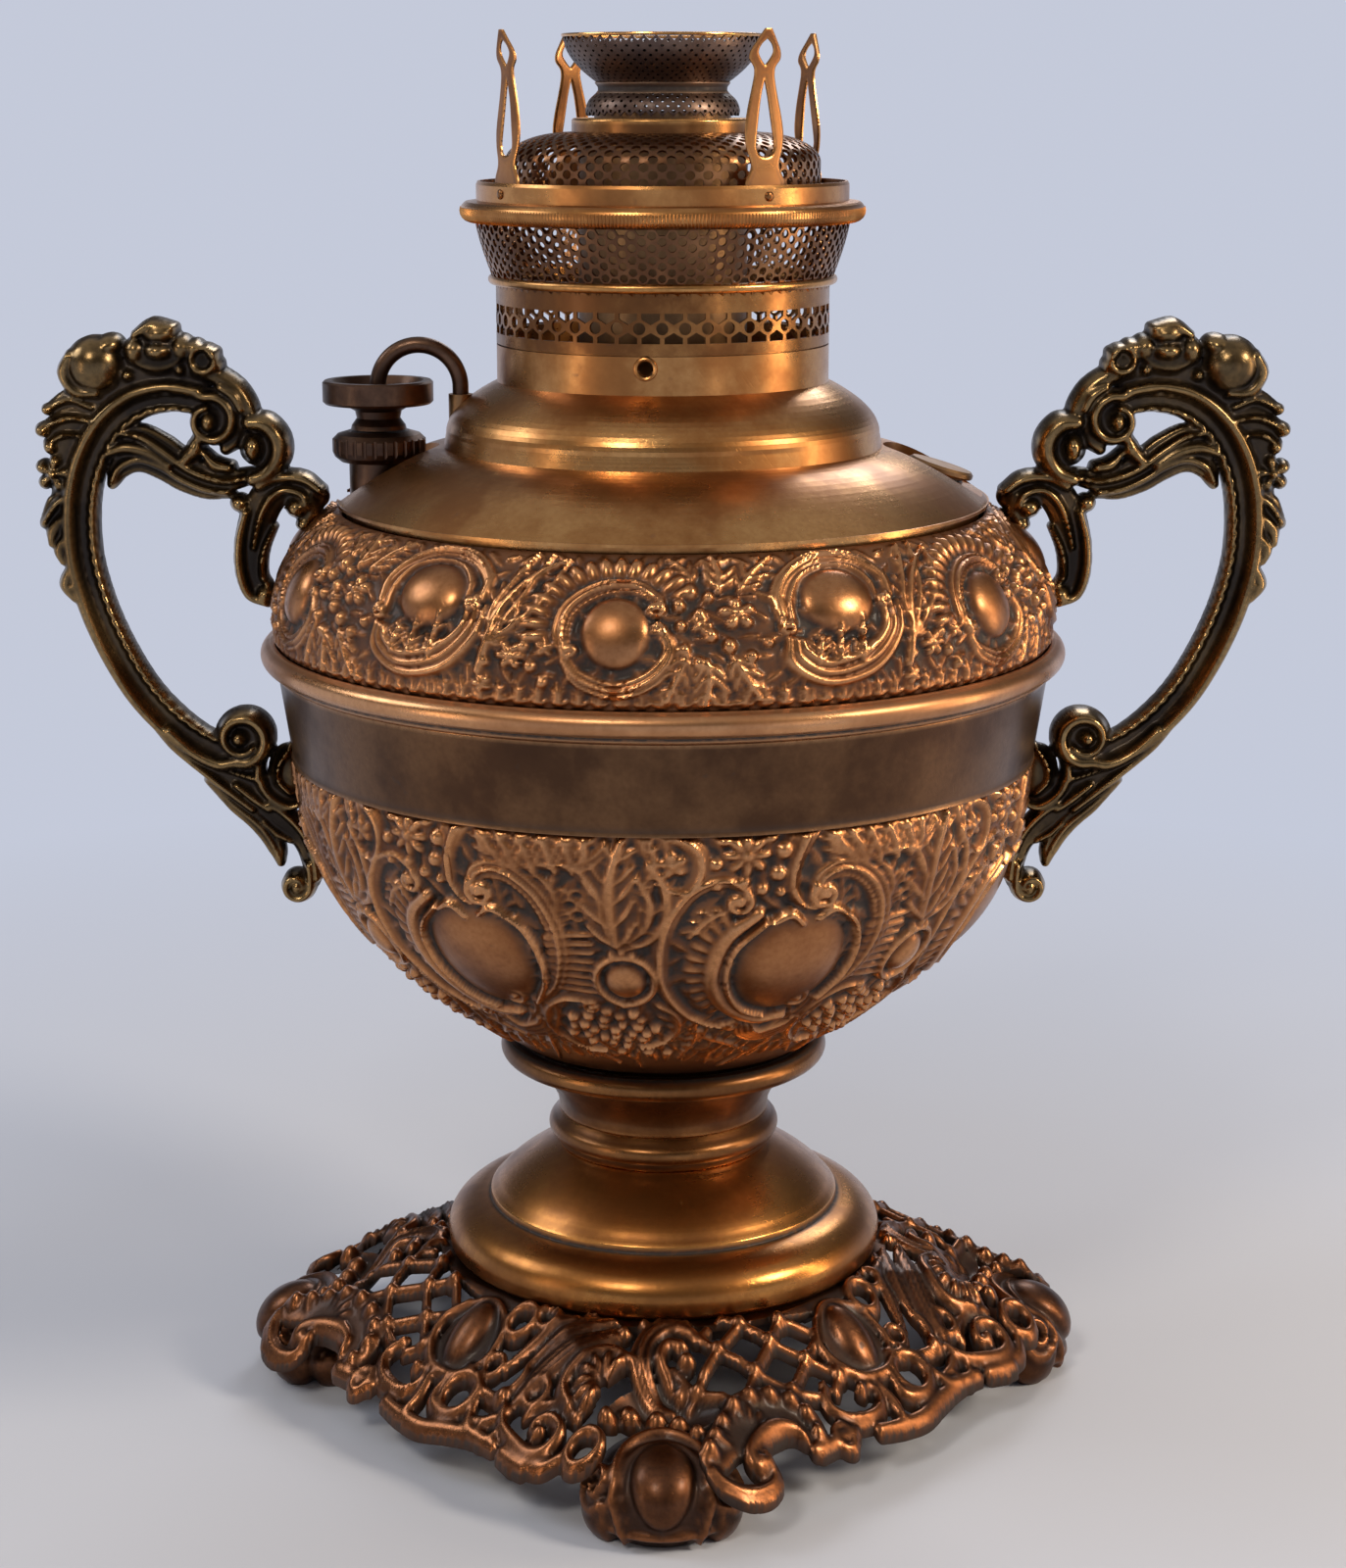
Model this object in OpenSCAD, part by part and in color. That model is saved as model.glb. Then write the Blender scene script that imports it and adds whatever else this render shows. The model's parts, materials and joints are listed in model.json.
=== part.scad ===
// Banquet lamp: a centre-draught oil lamp that stands on a pierced cast foot.
// The oil fount drops into an embossed body with two cast handles.
// The burner gallery, the flame spreader and the wick gear are separate pieces.
// Millimetres, +Z up, origin on the table under the lamp's axis, handles along X.

/* [Foot] */
// Height of the seat on which the pedestal stands
seat_h = 28.3; // [26:0.1:34]
// Distance from the axis to the tip of a corner foot
foot_reach = 87; // [84:0.5:94]
// Radius of a corner foot seen from above
foot_r = 15.7; // [14:0.1:17]
// Height of the crown of a corner foot
foot_crown_h = 18; // [16:0.5:20]
// Distance from the axis to the middle of a side
side_reach = 65.2; // [63:0.1:68]
// Height of the casting's top at the middle of a side
side_edge_h = 13; // [11:0.5:14]
// Thickness of the casting
cast_t = 3.2; // [3:0.1:4]
// Height of the cast ornament above the casting
relief_h = 2.4; // [1.8:0.1:2.8]
// Width of a bar of the pierced lattice
lattice_bar = 4; // [3.4:0.1:5]
// Width of an opening of the lattice
lattice_gap = 6.5; // [5:0.1:7]

/* [Pedestal] */
// Radius of the seat of the pedestal dome
dome_seat_r = 44.9; // [43:0.1:47]
// Height of the pedestal dome
dome_h = 22.8; // [21:0.1:26]
// Radius of the ridge on the dome
ridge_r = 36.2; // [34:0.1:38]
// Height of the ridge above the seat
ridge_h = 11.2; // [9:0.1:12.5]
// Radius of the knop above the dome
knop_r = 23.9; // [22.8:0.1:26]
// Height of the knop
knop_h = 7; // [6:0.1:9]
// Radius of the waist above the knop
waist_r = 21.6; // [20:0.1:22.4]
// Height of the collar that carries the bowl
collar_h = 16.2; // [14:0.1:20]
// Radius of the bead round the collar
collar_bead_r = 33.7; // [32.5:0.1:36]
// Thickness of the spun sheet
sheet_t = 0.8; // [0.6:0.1:1]

/* [Tie tube] */
// Outer radius of the hollow tube that ties foot and body together
tie_r = 11.4; // [10:0.1:12]
// Wall of the tie tube
tie_wall = 1.5; // [1:0.1:2]
// Height of a ring nut on the tie tube
ring_nut_h = 5; // [4:0.1:6]
// Outer radius of a ring nut
ring_nut_r = 16; // [15:0.1:18]
// Thickness of the clamp washer
washer_t = 1.5; // [1:0.1:2]

/* [Body] */
// Radius of the bowl at the collar
bowl_foot_r = 32.2; // [30:0.1:33]
// Height of the lower bowl
bowl_h = 60.9; // [58:0.1:64]
// Radius of the waist band at its lower edge
band_low_r = 74.5; // [73:0.1:76]
// Radius of the waist band at its upper edge
band_top_r = 77; // [76.2:0.1:78]
// Height of the waist band
band_h = 17; // [14:0.1:20]
// How far the bead round the middle of the body stands out from the band
bead_out = 3.3; // [2.5:0.1:5]
// Height of the bead
bead_h = 6.1; // [5:0.1:7.5]
// Step in from the bead to the foot of the shoulder shell
shoulder_in = 2.1; // [1.9:0.1:2.7]
// Height of the shoulder shell
shoulder_h = 26.5; // [24:0.1:29]
// Radius of the rim that receives the fount
rim_r = 64.8; // [64:0.1:66]

/* [Handles] */
// Reach of the handle's outer band from the axis
handle_reach = 117; // [114:0.5:121]
// Thickness of the handle casting
handle_t = 8; // [7:0.1:10]
// Width of the main band of the handle
handle_band_w = 7; // [6:0.1:8]
// Radius of a handle screw
handle_screw_r = 1.5; // [1.2:0.1:1.8]
// Length of a handle screw's shank
handle_screw_l = 7; // [6:0.1:8]

/* [Fount] */
// Radius of the fount's wall
fount_r = 62.6; // [61:0.1:62.8]
// Height of the fount's bottom above the foot of the bowl
fount_floor_h = 21; // [19:0.1:30]
// Rise of the fount's shoulder from the rim to the step
fount_rise = 11.1; // [10:0.1:13]
// Radius of the step on the fount
step_r = 43.3; // [42.8:0.1:44.5]
// Height of the step
step_h = 2.7; // [2:0.1:3.5]
// Height of the dome above the step
crown_h = 10.1; // [9:0.1:12]
// Radius of the fount's neck
neck_r = 32.6; // [32:0.1:33.4]
// Height of the neck
neck_h = 7.2; // [6.6:0.1:9]
// Gap between pieces that only rest on each other
seat_gap = 0.3; // [0.2:0.05:0.4]

/* [Wick gear] */
// Outer radius of the inner draught tube
draught_r = 13.8; // [13:0.1:14]
// Outer radius of the outer wick tube
wick_tube_r = 16.5; // [16.2:0.1:16.9]
// Wall of the draught tube and the wick tube
tube_wall = 0.5; // [0.4:0.05:0.6]
// Distance from the axis to the raiser's post
post_x = 56.2; // [55.6:0.1:56.6]
// Outer radius of the raiser's post
post_r = 6; // [5.5:0.1:6.3]
// Height of the post above its seat
post_h = 8.8; // [8:0.1:11]
// Radius of the knurled packing nut
packing_r = 9.2; // [8.5:0.1:10]
// Height of the packing nut
packing_h = 6; // [5:0.1:7]
// Radius of the raiser wheel
wheel_r = 10.9; // [10:0.1:12]
// Height of the raiser wheel
wheel_h = 9.6; // [9:0.1:11]
// Radius of the bent lift rod
rod_r = 1.6; // [1.4:0.05:1.7]
// Distance between the legs of the lift rod
rod_span = 16.3; // [15.8:0.1:16.8]
// Running clearance round a sliding or turning shaft
run_gap = 0.08; // [0.03:0.01:0.1]
// Travel of the wick
wick_travel = 12; // [8:0.5:13]
// Thickness of the woven wick
wick_t = 1.5; // [1.3:0.05:1.5]
// Length of the wick
wick_l = 72; // [66:0.5:74]

/* [Filler] */
// Distance from the axis to the filler
filler_x = 54.5; // [54:0.1:55]
// Tilt of the filler's seat
filler_tilt = 17; // [15:0.5:18]
// Outer radius of the filler neck
filler_neck_r = 5; // [4.6:0.1:5.2]
// Radius of the filler cap
filler_cap_r = 6.6; // [6:0.1:7]
// Thickness of the filler cap's head
filler_cap_h = 1.5; // [1.2:0.1:2]

/* [Burner] */
// Height of the pierced skirt that stands on the neck
skirt_h = 11.3; // [10:0.1:13]
// Radius of the small bead above the skirt
skirt_bead_r = 34.1; // [33.8:0.1:35]
// Height of the flared basket
basket_h = 11.8; // [10:0.1:14]
// Radius of the basket at its top
basket_r = 36.4; // [35.8:0.1:37]
// Radius of the knurled bead
knurl_r = 39.3; // [38.5:0.1:40.5]
// Radius of the gallery wall
gallery_r = 36.2; // [36:0.1:36.8]
// Height of the gallery ring
gallery_h = 7.8; // [7:0.1:9]
// Radius of the pierced diffuser dome
diffuser_r = 30.6; // [29.8:0.1:30.8]
// Height of the diffuser dome
diffuser_h = 9.2; // [8.5:0.1:10]
// Radius of the collar on the diffuser
collar_r = 17.6; // [17.5:0.1:18]
// Height of the collar on the diffuser
collar_top_h = 2.6; // [2:0.1:3]
// Outer diameter of the glass chimney's base
chimney_d = 66.7; // [66.2:0.1:67.2]
// Height of a chimney prong
prong_h = 28; // [24:0.5:30]
// Width of a chimney prong at its foot
prong_w = 8.8; // [8:0.1:9.4]
// Thickness of a chimney prong
prong_t = 0.9; // [0.7:0.05:1.1]
// Radius of a prong rivet
rivet_r = 0.8; // [0.6:0.05:1]

/* [Flame spreader] */
// Radius of the bell at its foot
bell_r = 14.6; // [14.4:0.1:15.2]
// Height of the bell
bell_h = 4.9; // [4.5:0.1:6]
// Radius of the waist above the bell
spreader_waist_r = 12; // [11.4:0.1:12.6]
// Radius of the rim of the spreader bowl
spreader_r = 19.5; // [18.8:0.1:20.2]
// Height of the spreader bowl
spreader_h = 10.6; // [9.5:0.1:12]
// Length of the spigot that stands in the draught tube
spigot_l = 12; // [8:0.5:14]

/* [Hidden] */
$fn = 96;
fit_gap = 0.1;
bead_r = band_top_r + bead_out;
shoulder_r = bead_r - shoulder_in;
foot_x = foot_reach - foot_r;
ridge_w = 1;
hub_r = 15.5;
spoke_w = 5;
spoke_t = 4;
seat_ring_w = 5;

z_dome = seat_h;
z_knop = z_dome + dome_h;
z_collar = z_knop + knop_h;
z_bowl = z_collar + collar_h;
z_band = z_bowl + bowl_h;
z_bead = z_band + band_h;
z_shoulder = z_bead + bead_h;
z_rim = z_shoulder + shoulder_h;
z_flange = z_rim + seat_gap;
flange_t = 0.6;
z_step = z_rim + fount_rise;
z_crown = z_step + step_h;
z_neck = z_crown + crown_h;
z_seam = z_neck + neck_h;
z_skirt = z_seam + seat_gap;
z_basket = z_skirt + skirt_h;
z_gallery = z_basket + basket_h;
z_ledge = z_gallery + gallery_h;
z_diffuser = z_ledge + diffuser_h;
z_collar_top = z_diffuser + collar_top_h;
z_bell = z_collar_top + seat_gap;
z_spreader = z_bell + bell_h;
z_spreader_top = z_spreader + spreader_h;

fount_drop = 12;
z_fount_seam = z_rim - fount_drop;
z_fount_floor = z_bowl + fount_floor_h;
draught_top_z = z_bell - seat_gap;
wick_tube_top_z = z_collar_top - 0.6;
wick_tube_low_z = z_neck - 14;
wick_inner_r = draught_r + 0.35;
wick_outer_r = wick_inner_r + wick_t;
wick_top_z = wick_tube_top_z - wick_travel - 0.2;
wick_low_z = wick_top_z - wick_l;
carrier_h = 8;
arm_t = 3;

recess_r = 11.9;
z_post = z_rim - 0.9;
z_packing = z_post + post_h;
z_wheel = z_packing + packing_h + seat_gap;
wheel_neck_r = 4.3;
wheel_disc_t = 4.6;
wheel_dish_r = wheel_r - 1.8;
wheel_dish_d = 2.9;
rod_arc_r = rod_span / 2;
rod_arc_z = z_wheel + wheel_h - wheel_dish_d + 1.6;
rod_inner_x = post_x - rod_span;
rod_outer_low_z = z_post - 3;
post_depth = 14;
gland_r = 2.4;
gland_bore_r = rod_r + run_gap;
gland_top_z = z_crown + 0.72 * crown_h;
gland_low_z = z_crown - 3;
eyelet_r = 2;
eyelet_hole_r = 1.1;

filler_floor_r = 12.4;
filler_seat_rise = 4.3;
filler_floor_z = z_rim + filler_seat_rise;
filler_wall = 0.8;
filler_bore_r = filler_neck_r - filler_wall;
filler_plug_r = filler_bore_r - 0.3;
filler_plug_l = 3;
filler_rise = 0.8;
filler_washer_t = 0.4;

skirt_r = neck_r;
seat_depth = 4;
spigot_r = skirt_r - sheet_t - seat_gap;
skirt_spigot_h = 2.2;
window_count = 24;
window_r = 2.2;
basket_holes = 20;
basket_hole_r = 1.6;
diffuser_holes = 18;
diffuser_hole_r = 1.5;
bell_holes = 12;
bell_hole_r = 0.9;
bowl_holes = 14;
bowl_hole_r = 1.1;
prong_r = gallery_r - sheet_t - fit_gap;
grip_r = chimney_d / 2;
prong_angles = [33, 123, 213, 303];
z_seat = z_ledge - seat_depth;
seat_rib_w = 2;
seat_rib_h = 0.5;
skirt_bead_h = 1.8;
bell_bulge = 0.8;
rolled_h = 0.6;

handle_pad_z = z_rim - 4.6;
handle_low_z = z_band - 6.6;

// Curve helpers
function lerp(a, b, t) = a + (b - a) * t;
function unit(v) = v / norm(v);

// Bulges early: leaves the first point flat and meets the second one steep
function early_curve(r0, z0, r1, z1, bend, n) =
  [for (i = [0 : n]) let(u = i / n) [lerp(r0, r1, 1 - pow(1 - u, bend)), lerp(z0, z1, u)]];

// Bulges late: leaves the first point steep and turns in towards the second one
function late_curve(r0, z0, r1, z1, bend, n) =
  [for (i = [0 : n]) let(u = i / n) [lerp(r0, r1, pow(u, bend)), lerp(z0, z1, u)]];

// Points of an arc about a centre, from angle a0 to angle a1
function arc(cx, cz, r, a0, a1, n) =
  [for (i = [0 : n]) let(a = lerp(a0, a1, i / n)) [cx + r * cos(a), cz + r * sin(a)]];

function tangent(p, i) =
  unit(p[min(i + 1, len(p) - 1)] - p[max(i - 1, 0)]);

// The same path shifted sideways, to the left of its direction
function shifted(p, t) =
  [for (i = [0 : len(p) - 1]) let(d = tangent(p, i)) p[i] + t * [-d[1], d[0]]];

function reversed(p) = [for (i = [len(p) - 1 : -1 : 0]) p[i]];

// A smooth curve through a few points, with n steps between neighbours
function spline(p, n) = concat(
  [for (i = [0 : len(p) - 2], j = [0 : n - 1])
    let(
      t = j / n,
      a = p[max(i - 1, 0)],
      b = p[i],
      c = p[i + 1],
      d = p[min(i + 2, len(p) - 1)]
    )
    0.5 * (2 * b + (c - a) * t + (2 * a - 5 * b + 4 * c - d) * t * t
      + (3 * b - a - 3 * c + d) * t * t * t)],
  [p[len(p) - 1]]);

// A sheet of even thickness spun about the axis; the path runs upwards
module spun_sheet(path, t) {
  rotate_extrude($fn = 96) polygon(concat(path, reversed(shifted(path, t))));
}

module spun(points) {
  rotate_extrude($fn = 96) polygon(points);
}

module tube(r_out, r_in, z0, z1) {
  translate([0, 0, z0]) difference() {
    cylinder(r = r_out, h = z1 - z0);
    translate([0, 0, -1]) cylinder(r = r_in, h = z1 - z0 + 2);
  }
}

// A row of round holes bored towards the axis
module hole_row(count, r, z, phase, hole_r, depth) {
  for (i = [0 : count - 1])
    rotate([0, 0, (i + phase) * 360 / count])
      translate([r, 0, z]) rotate([0, 90, 0])
        cylinder(r = hole_r, h = depth, center = true, $fn = 24);
}

// Foot

// Solid under the casting's top: a cone that four sloping sides cut down
module foot_mound(drop) {
  slope_a = atan2(seat_h - side_edge_h, side_reach - dome_seat_r);
  size = 3 * foot_reach;
  intersection() {
    translate([0, 0, -drop]) spun([
      [0, -1], [foot_reach + 6, -1], [foot_reach + 6, foot_crown_h - 6],
      [dome_seat_r + 2, seat_h], [0, seat_h]
    ]);
    intersection_for(i = [0 : 3])
      rotate([0, 0, 45 + 90 * i])
        translate([side_reach, 0, side_edge_h - drop])
          rotate([0, slope_a, 0])
            translate([-size, -size, -size]) cube([2 * size, 2 * size, size]);
  }
}

// Outline of the casting seen from above, with lobes along the sides
module foot_outline() {
  lobe_out = 2;
  half = side_reach - lobe_out;
  lobe_r = 6;
  intersection() {
    union() {
      rotate([0, 0, 45]) square(2 * half, center = true);
      for (i = [0 : 3], k = [-3 : 2 : 3])
        rotate([0, 0, 45 + 90 * i])
          translate([half - lobe_r + lobe_out, k * 2 * lobe_r]) circle(r = lobe_r, $fn = 24);
      for (i = [0 : 3])
        rotate([0, 0, 90 * i]) translate([foot_scrolls[0][0], foot_scrolls[0][1]]) circle(r = flange_r, $fn = 32);
    }
    circle(r = foot_reach - 4, $fn = 96);
  }
}

// Openings of the four sides: a small diagonal lattice
module lattice_openings() {
  pitch = (lattice_gap + lattice_bar) / sqrt(2);
  first_r = dome_seat_r + 6.2;
  through_h = 60;
  for (i = [0 : 3], row = [0 : 1], k = [-3 + row : 2 : 3 - row])
    rotate([0, 0, 45 + 90 * i])
      translate([first_r + row * pitch, k * pitch, through_h / 3])
        rotate([0, 0, 45]) cube([lattice_gap, lattice_gap, through_h], center = true);
}

module foot_lobe() {
  base_z = 6;
  rotate_extrude($fn = 48) polygon(concat(
    [[0, 0], [foot_r - 4, 0], [foot_r - 1.2, 2.5], [foot_r, base_z]],
    [for (i = [1 : 9]) let(u = i * 10) [foot_r * cos(u), base_z + (foot_crown_h - base_z) * sin(u)]]
  ));
}

// Boss on the crown of a corner foot, in a ring of small lobes
module foot_lobe_boss() {
  boss_r = 6.6;
  boss_out = 4.2;
  boss_low = foot_crown_h - 2;
  boss_top = foot_crown_h + 4;
  lobe_r = 3;
  lobe_out = 12.2;
  lobe_z = foot_crown_h - 4.8;
  translate([boss_out, 0, 0]) rotate_extrude($fn = 48) polygon(concat(
    [[0, boss_low - 4], [boss_r, boss_low - 4]],
    [for (i = [0 : 6]) let(u = i * 15) [boss_r * cos(u), boss_low + (boss_top - boss_low) * sin(u)]]
  ));
  for (a = [-140 : 40 : 140])
    rotate([0, 0, a]) translate([lobe_out, 0, lobe_z]) sphere(r = lobe_r, $fn = 24);
}

// Ornament of one quarter seen from above, beside the corner foot at -Y
// Ring scrolls: [x, y, middle radius, half width]
foot_scrolls = [
  [18.6, -70.2, 8.2, 1.9], [37.2, -56.4, 4, 1.3], [52, -42.4, 3.8, 1.3], [66.6, -24.8, 3.8, 1.3],
  [42.2, -27.4, 4, 1.2], [50.2, -34.6, 3.8, 1.2]
];
// Leaves: [x, y, half length, half width, direction]
foot_leaves = [
  [52.6, -19.4, 11, 4, 72], [60.6, -23.2, 8.6, 3.4, 88], [45, -53.6, 9, 2.4, 52],
  [37.4, -39.8, 9.8, 7.6, -46], [60.4, -11, 7.6, 7.6, 0]
];
foot_egg = [37.2, -38.8];
flange_r = 9.6;

module oval(l) {
  translate([l[0], l[1]]) rotate(l[4])
    polygon([for (i = [0 : 13]) let(a = i * 360 / 14) [l[2] * cos(a), l[3] * sin(a)]]);
}

module scroll_ring(s) {
  translate([s[0], s[1]]) difference() {
    circle(r = s[2] + s[3], $fn = 32);
    circle(r = s[2] - s[3], $fn = 32);
  }
}

module foot_ornament() {
  curl_ring = [54.4, 1.4, 8, 1.9];
  curl_end = [40, 3];
  curl_cut_w = 30;
  difference() {
    union() {
      for (s = foot_scrolls) scroll_ring(s);
      for (l = foot_leaves) oval(l);
      // Half a ring that curls over the next corner foot
      difference() {
        scroll_ring(curl_ring);
        translate(curl_end) square(curl_cut_w);
      }
    }
    circle(r = dome_seat_r + 2.8);
  }
}

module foot_relief() {
  difference() {
    intersection() {
      foot_mound(-relief_h);
      for (i = [0 : 3])
        rotate([0, 0, 90 * i]) linear_extrude(seat_h + relief_h) foot_ornament();
    }
    foot_mound(cast_t);
    lattice_openings();
  }
}

// Egg-shaped bosses that lie along the cone, cut off at the casting's underside
module foot_eggs() {
  long = 6.9;
  wide = 4.6;
  fall = 19.5;
  egg_r = norm(foot_egg);
  egg_z = seat_h - 2.4;
  difference() {
    for (i = [0 : 3])
      rotate([0, 0, 90 * i + atan2(foot_egg[1], foot_egg[0])]) translate([egg_r, 0, egg_z])
        rotate([0, 90 + fall, 0])
          rotate_extrude($fn = 32) polygon([for (a = [-90 : 18 : 90]) [wide * cos(a), long * sin(a)]]);
    foot_mound(cast_t);
  }
}

module foot_casting() {
  color("#5a3a26") union() {
    difference() {
      intersection() {
        foot_mound(0);
        translate([0, 0, -2]) linear_extrude(seat_h + 4) foot_outline();
      }
      foot_mound(cast_t);
      translate([0, 0, -1]) cylinder(r = dome_seat_r - seat_ring_w + 1, h = seat_h + 2);
      lattice_openings();
    }
    tube(dome_seat_r + 2, dome_seat_r - seat_ring_w, seat_h - 4, seat_h);
    tube(hub_r, tie_r + fit_gap, seat_h - spoke_t, seat_h);
    for (a = [0 : 90 : 270])
      rotate([0, 0, a]) translate([hub_r - 1, -spoke_w / 2, seat_h - spoke_t])
        cube([dome_seat_r - seat_ring_w - hub_r + 2, spoke_w, spoke_t]);
    for (a = [0 : 90 : 270])
      rotate([0, 0, a]) translate([foot_x, 0, 0]) {
        foot_lobe();
        foot_lobe_boss();
      }
    foot_relief();
    foot_eggs();
  }
}

// Pedestal
module pedestal_dome() {
  ridge_z = z_dome + ridge_h;
  belly = dome_seat_r + 0.3;
  path = concat(
    [[dome_seat_r - 1.2, z_dome], [dome_seat_r, z_dome + 1.2]],
    [for (p = arc(0, 0, 1, 0, 80, 8))
      [lerp(ridge_r + 0.4, belly, p[0]), z_dome + 4 + (ridge_h - 4.6) * p[1]]],
    [[ridge_r + 0.1, ridge_z - 0.3], [ridge_r, ridge_z + ridge_w]],
    [for (i = [1 : 8]) let(u = i / 8)
      [lerp(ridge_r - 0.6, knop_r - 2.4, pow(u, 0.9)), lerp(ridge_z + ridge_w, z_knop, pow(u, 0.62))]]
  );
  color("#8a5a2e") union() {
    spun_sheet(path, sheet_t);
    tube(knop_r - 2.6, tie_r + fit_gap, z_knop - 1.2, z_knop);
  }
}

module stem_knop() {
  low = z_knop;
  top = z_collar;
  mid = (low + top) / 2;
  wall = 1.2;
  round_r = knop_h / 3;
  hollow_r = waist_r - 1.5;
  bore_r = tie_r + fit_gap;
  color("#9a6a34") spun(concat(
    [[bore_r, low], [knop_r - 1.8, low], [knop_r - 1.2, low + 1.4]],
    arc(knop_r - round_r, mid, round_r, -60, 60, 8),
    [[knop_r - 1.6, top - 1], [waist_r + 0.6, top], [bore_r, top],
     [bore_r, top - wall], [hollow_r, top - wall],
     [hollow_r, low + wall], [bore_r, low + wall]]
  ));
}

module bowl_collar() {
  lip_z = z_collar + 0.62 * collar_h;
  bead_round = 2.4;
  bead_z = z_bowl - bead_round;
  foot_r = waist_r + 0.2;
  lip_r = collar_bead_r - 6.2;
  floor_t = 1.2;
  wall = 1.4;
  cone = [for (i = [0 : 6]) let(u = i / 6) [lerp(foot_r, lip_r, pow(u, 1.7)), lerp(z_collar + 1.6, lip_z, u)]];
  color("#9a6a34") spun(concat(
    [[waist_r, z_collar]],
    cone,
    [[lip_r + 1, lip_z + 0.2], [lip_r + 1.2, lip_z + 1.2], [lip_r + 2, lip_z + 1.5]],
    arc(collar_bead_r - bead_round, bead_z, bead_round, -70, 70, 8),
    [[bowl_foot_r + 0.4, z_bowl], [bowl_foot_r - 2, z_bowl], [lip_r + 0.2, lip_z + 3]],
    [for (q = reversed(cone)) q - [wall, 0]],
    [[waist_r - wall, z_collar + floor_t], [tie_r + fit_gap, z_collar + floor_t], [tie_r + fit_gap, z_collar]]
  ));
}

module tie_tube() {
  color("#8c6b3a")
    tube(tie_r, tie_r - tie_wall, seat_h - spoke_t - ring_nut_h - 2,
      z_bowl + sheet_t + washer_t + ring_nut_h + 3);
}

module ring_nut(z) {
  color("#8c6b3a") translate([0, 0, z]) difference() {
    cylinder(r = ring_nut_r, h = ring_nut_h);
    translate([0, 0, -1]) cylinder(r = tie_r + fit_gap, h = ring_nut_h + 2);
    for (a = [0 : 60 : 300])
      rotate([0, 0, a]) translate([ring_nut_r, 0, -1]) cylinder(r = 1.6, h = ring_nut_h + 2, $fn = 24);
  }
}

module lower_ring_nut() {
  ring_nut(seat_h - spoke_t - ring_nut_h);
}

module upper_ring_nut() {
  ring_nut(z_bowl + sheet_t + washer_t);
}

module clamp_washer() {
  color("#8c6b3a")
    tube(ring_nut_r + 5, tie_r + fit_gap, z_bowl + sheet_t, z_bowl + sheet_t + washer_t);
}

// Body
band_lap_r = band_low_r - sheet_t - fit_gap;
band_lap_h = 4;
bowl_lap_h = 6;

function bowl_path() = early_curve(bowl_foot_r, z_bowl, band_low_r, z_band, 2.15, 24);

module lower_bowl() {
  color("#7a4a2a") difference() {
    union() {
      spun_sheet(bowl_path(), sheet_t);
      tube(bowl_foot_r, tie_r + fit_gap, z_bowl, z_bowl + sheet_t);
      band_lap();
    }
    both_sides() handle_screw_holes();
  }
}

// Ring inside the joint of bowl and band; it leans as the band does
module band_lap() {
  lean = (band_top_r - band_low_r) * band_lap_h / band_h;
  spun([
    [band_lap_r - sheet_t, z_band - bowl_lap_h], [band_lap_r, z_band - bowl_lap_h], [band_lap_r, z_band],
    [band_lap_r + lean, z_band + band_lap_h], [band_lap_r + lean - sheet_t, z_band + band_lap_h],
    [band_lap_r - sheet_t, z_band]
  ]);
}

module waist_band() {
  color("#7d5a34") spun([
    [band_low_r, z_band], [band_top_r, z_bead],
    [band_top_r - sheet_t, z_bead], [band_low_r - sheet_t, z_band]
  ]);
}

module bead_ring() {
  round_r = 2.3;
  bead_z = z_shoulder - 2.5;
  color("#a0703c") spun(concat(
    [[band_top_r - sheet_t, z_bead], [band_top_r, z_bead], [band_top_r + 0.9, z_bead + 0.5],
     [band_top_r + 1, z_bead + 1.4]],
    arc(bead_r - round_r, bead_z, round_r, -75, 75, 10),
    [[shoulder_r, z_shoulder], [shoulder_r - sheet_t, z_shoulder], [shoulder_r - sheet_t, z_shoulder - 1],
     [band_top_r - sheet_t, z_bead + 1]]
  ));
}

function shoulder_path() = late_curve(shoulder_r, z_shoulder, rim_r, z_rim, 2.6, 18);

module shoulder_shell() {
  lip_r = fount_r + 0.4;
  color("#9a5c34") difference() {
    union() {
      spun_sheet(shoulder_path(), sheet_t);
      tube(rim_r - 0.1, lip_r, z_rim - sheet_t, z_rim);
    }
    both_sides() handle_screw_holes();
  }
}

module body_solid(extra) {
  spun(concat(
    [[0, z_bowl], [bowl_foot_r + extra, z_bowl]],
    [for (p = bowl_path()) p + [extra, 0]],
    [[band_low_r + extra, z_band], [band_top_r + extra, z_bead], [band_top_r + 1 + extra, z_bead + 1.4],
     [bead_r + extra, z_shoulder - 3.6], [bead_r + extra, z_shoulder - 1.4]],
    [for (p = shoulder_path()) p + [extra, 0]],
    [[0, z_rim]]
  ));
}

// Handles: drawn in the plane of the axis, x outwards, then mirrored for the other side

// A strap of varying width along a smooth centre line
module strap(points, widths, thick) {
  steps = 4;
  mid = spline(points, steps);
  w = [for (q = spline([for (v = widths) [v, 0]], steps)) q[0]];
  left = [for (i = [0 : len(mid) - 1]) let(d = tangent(mid, i)) mid[i] + w[i] / 2 * [-d[1], d[0]]];
  right = [for (i = [0 : len(mid) - 1]) let(d = tangent(mid, i)) mid[i] - w[i] / 2 * [-d[1], d[0]]];
  rotate([90, 0, 0]) linear_extrude(thick, center = true) polygon(concat(left, reversed(right)));
}

module disc(x, z, r, thick) {
  translate([x, 0, z]) rotate([90, 0, 0]) cylinder(r = r, h = thick, center = true, $fn = 32);
}

module ball(x, z, r) {
  translate([x, 0, z]) sphere(r = r, $fn = 32);
}

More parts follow.
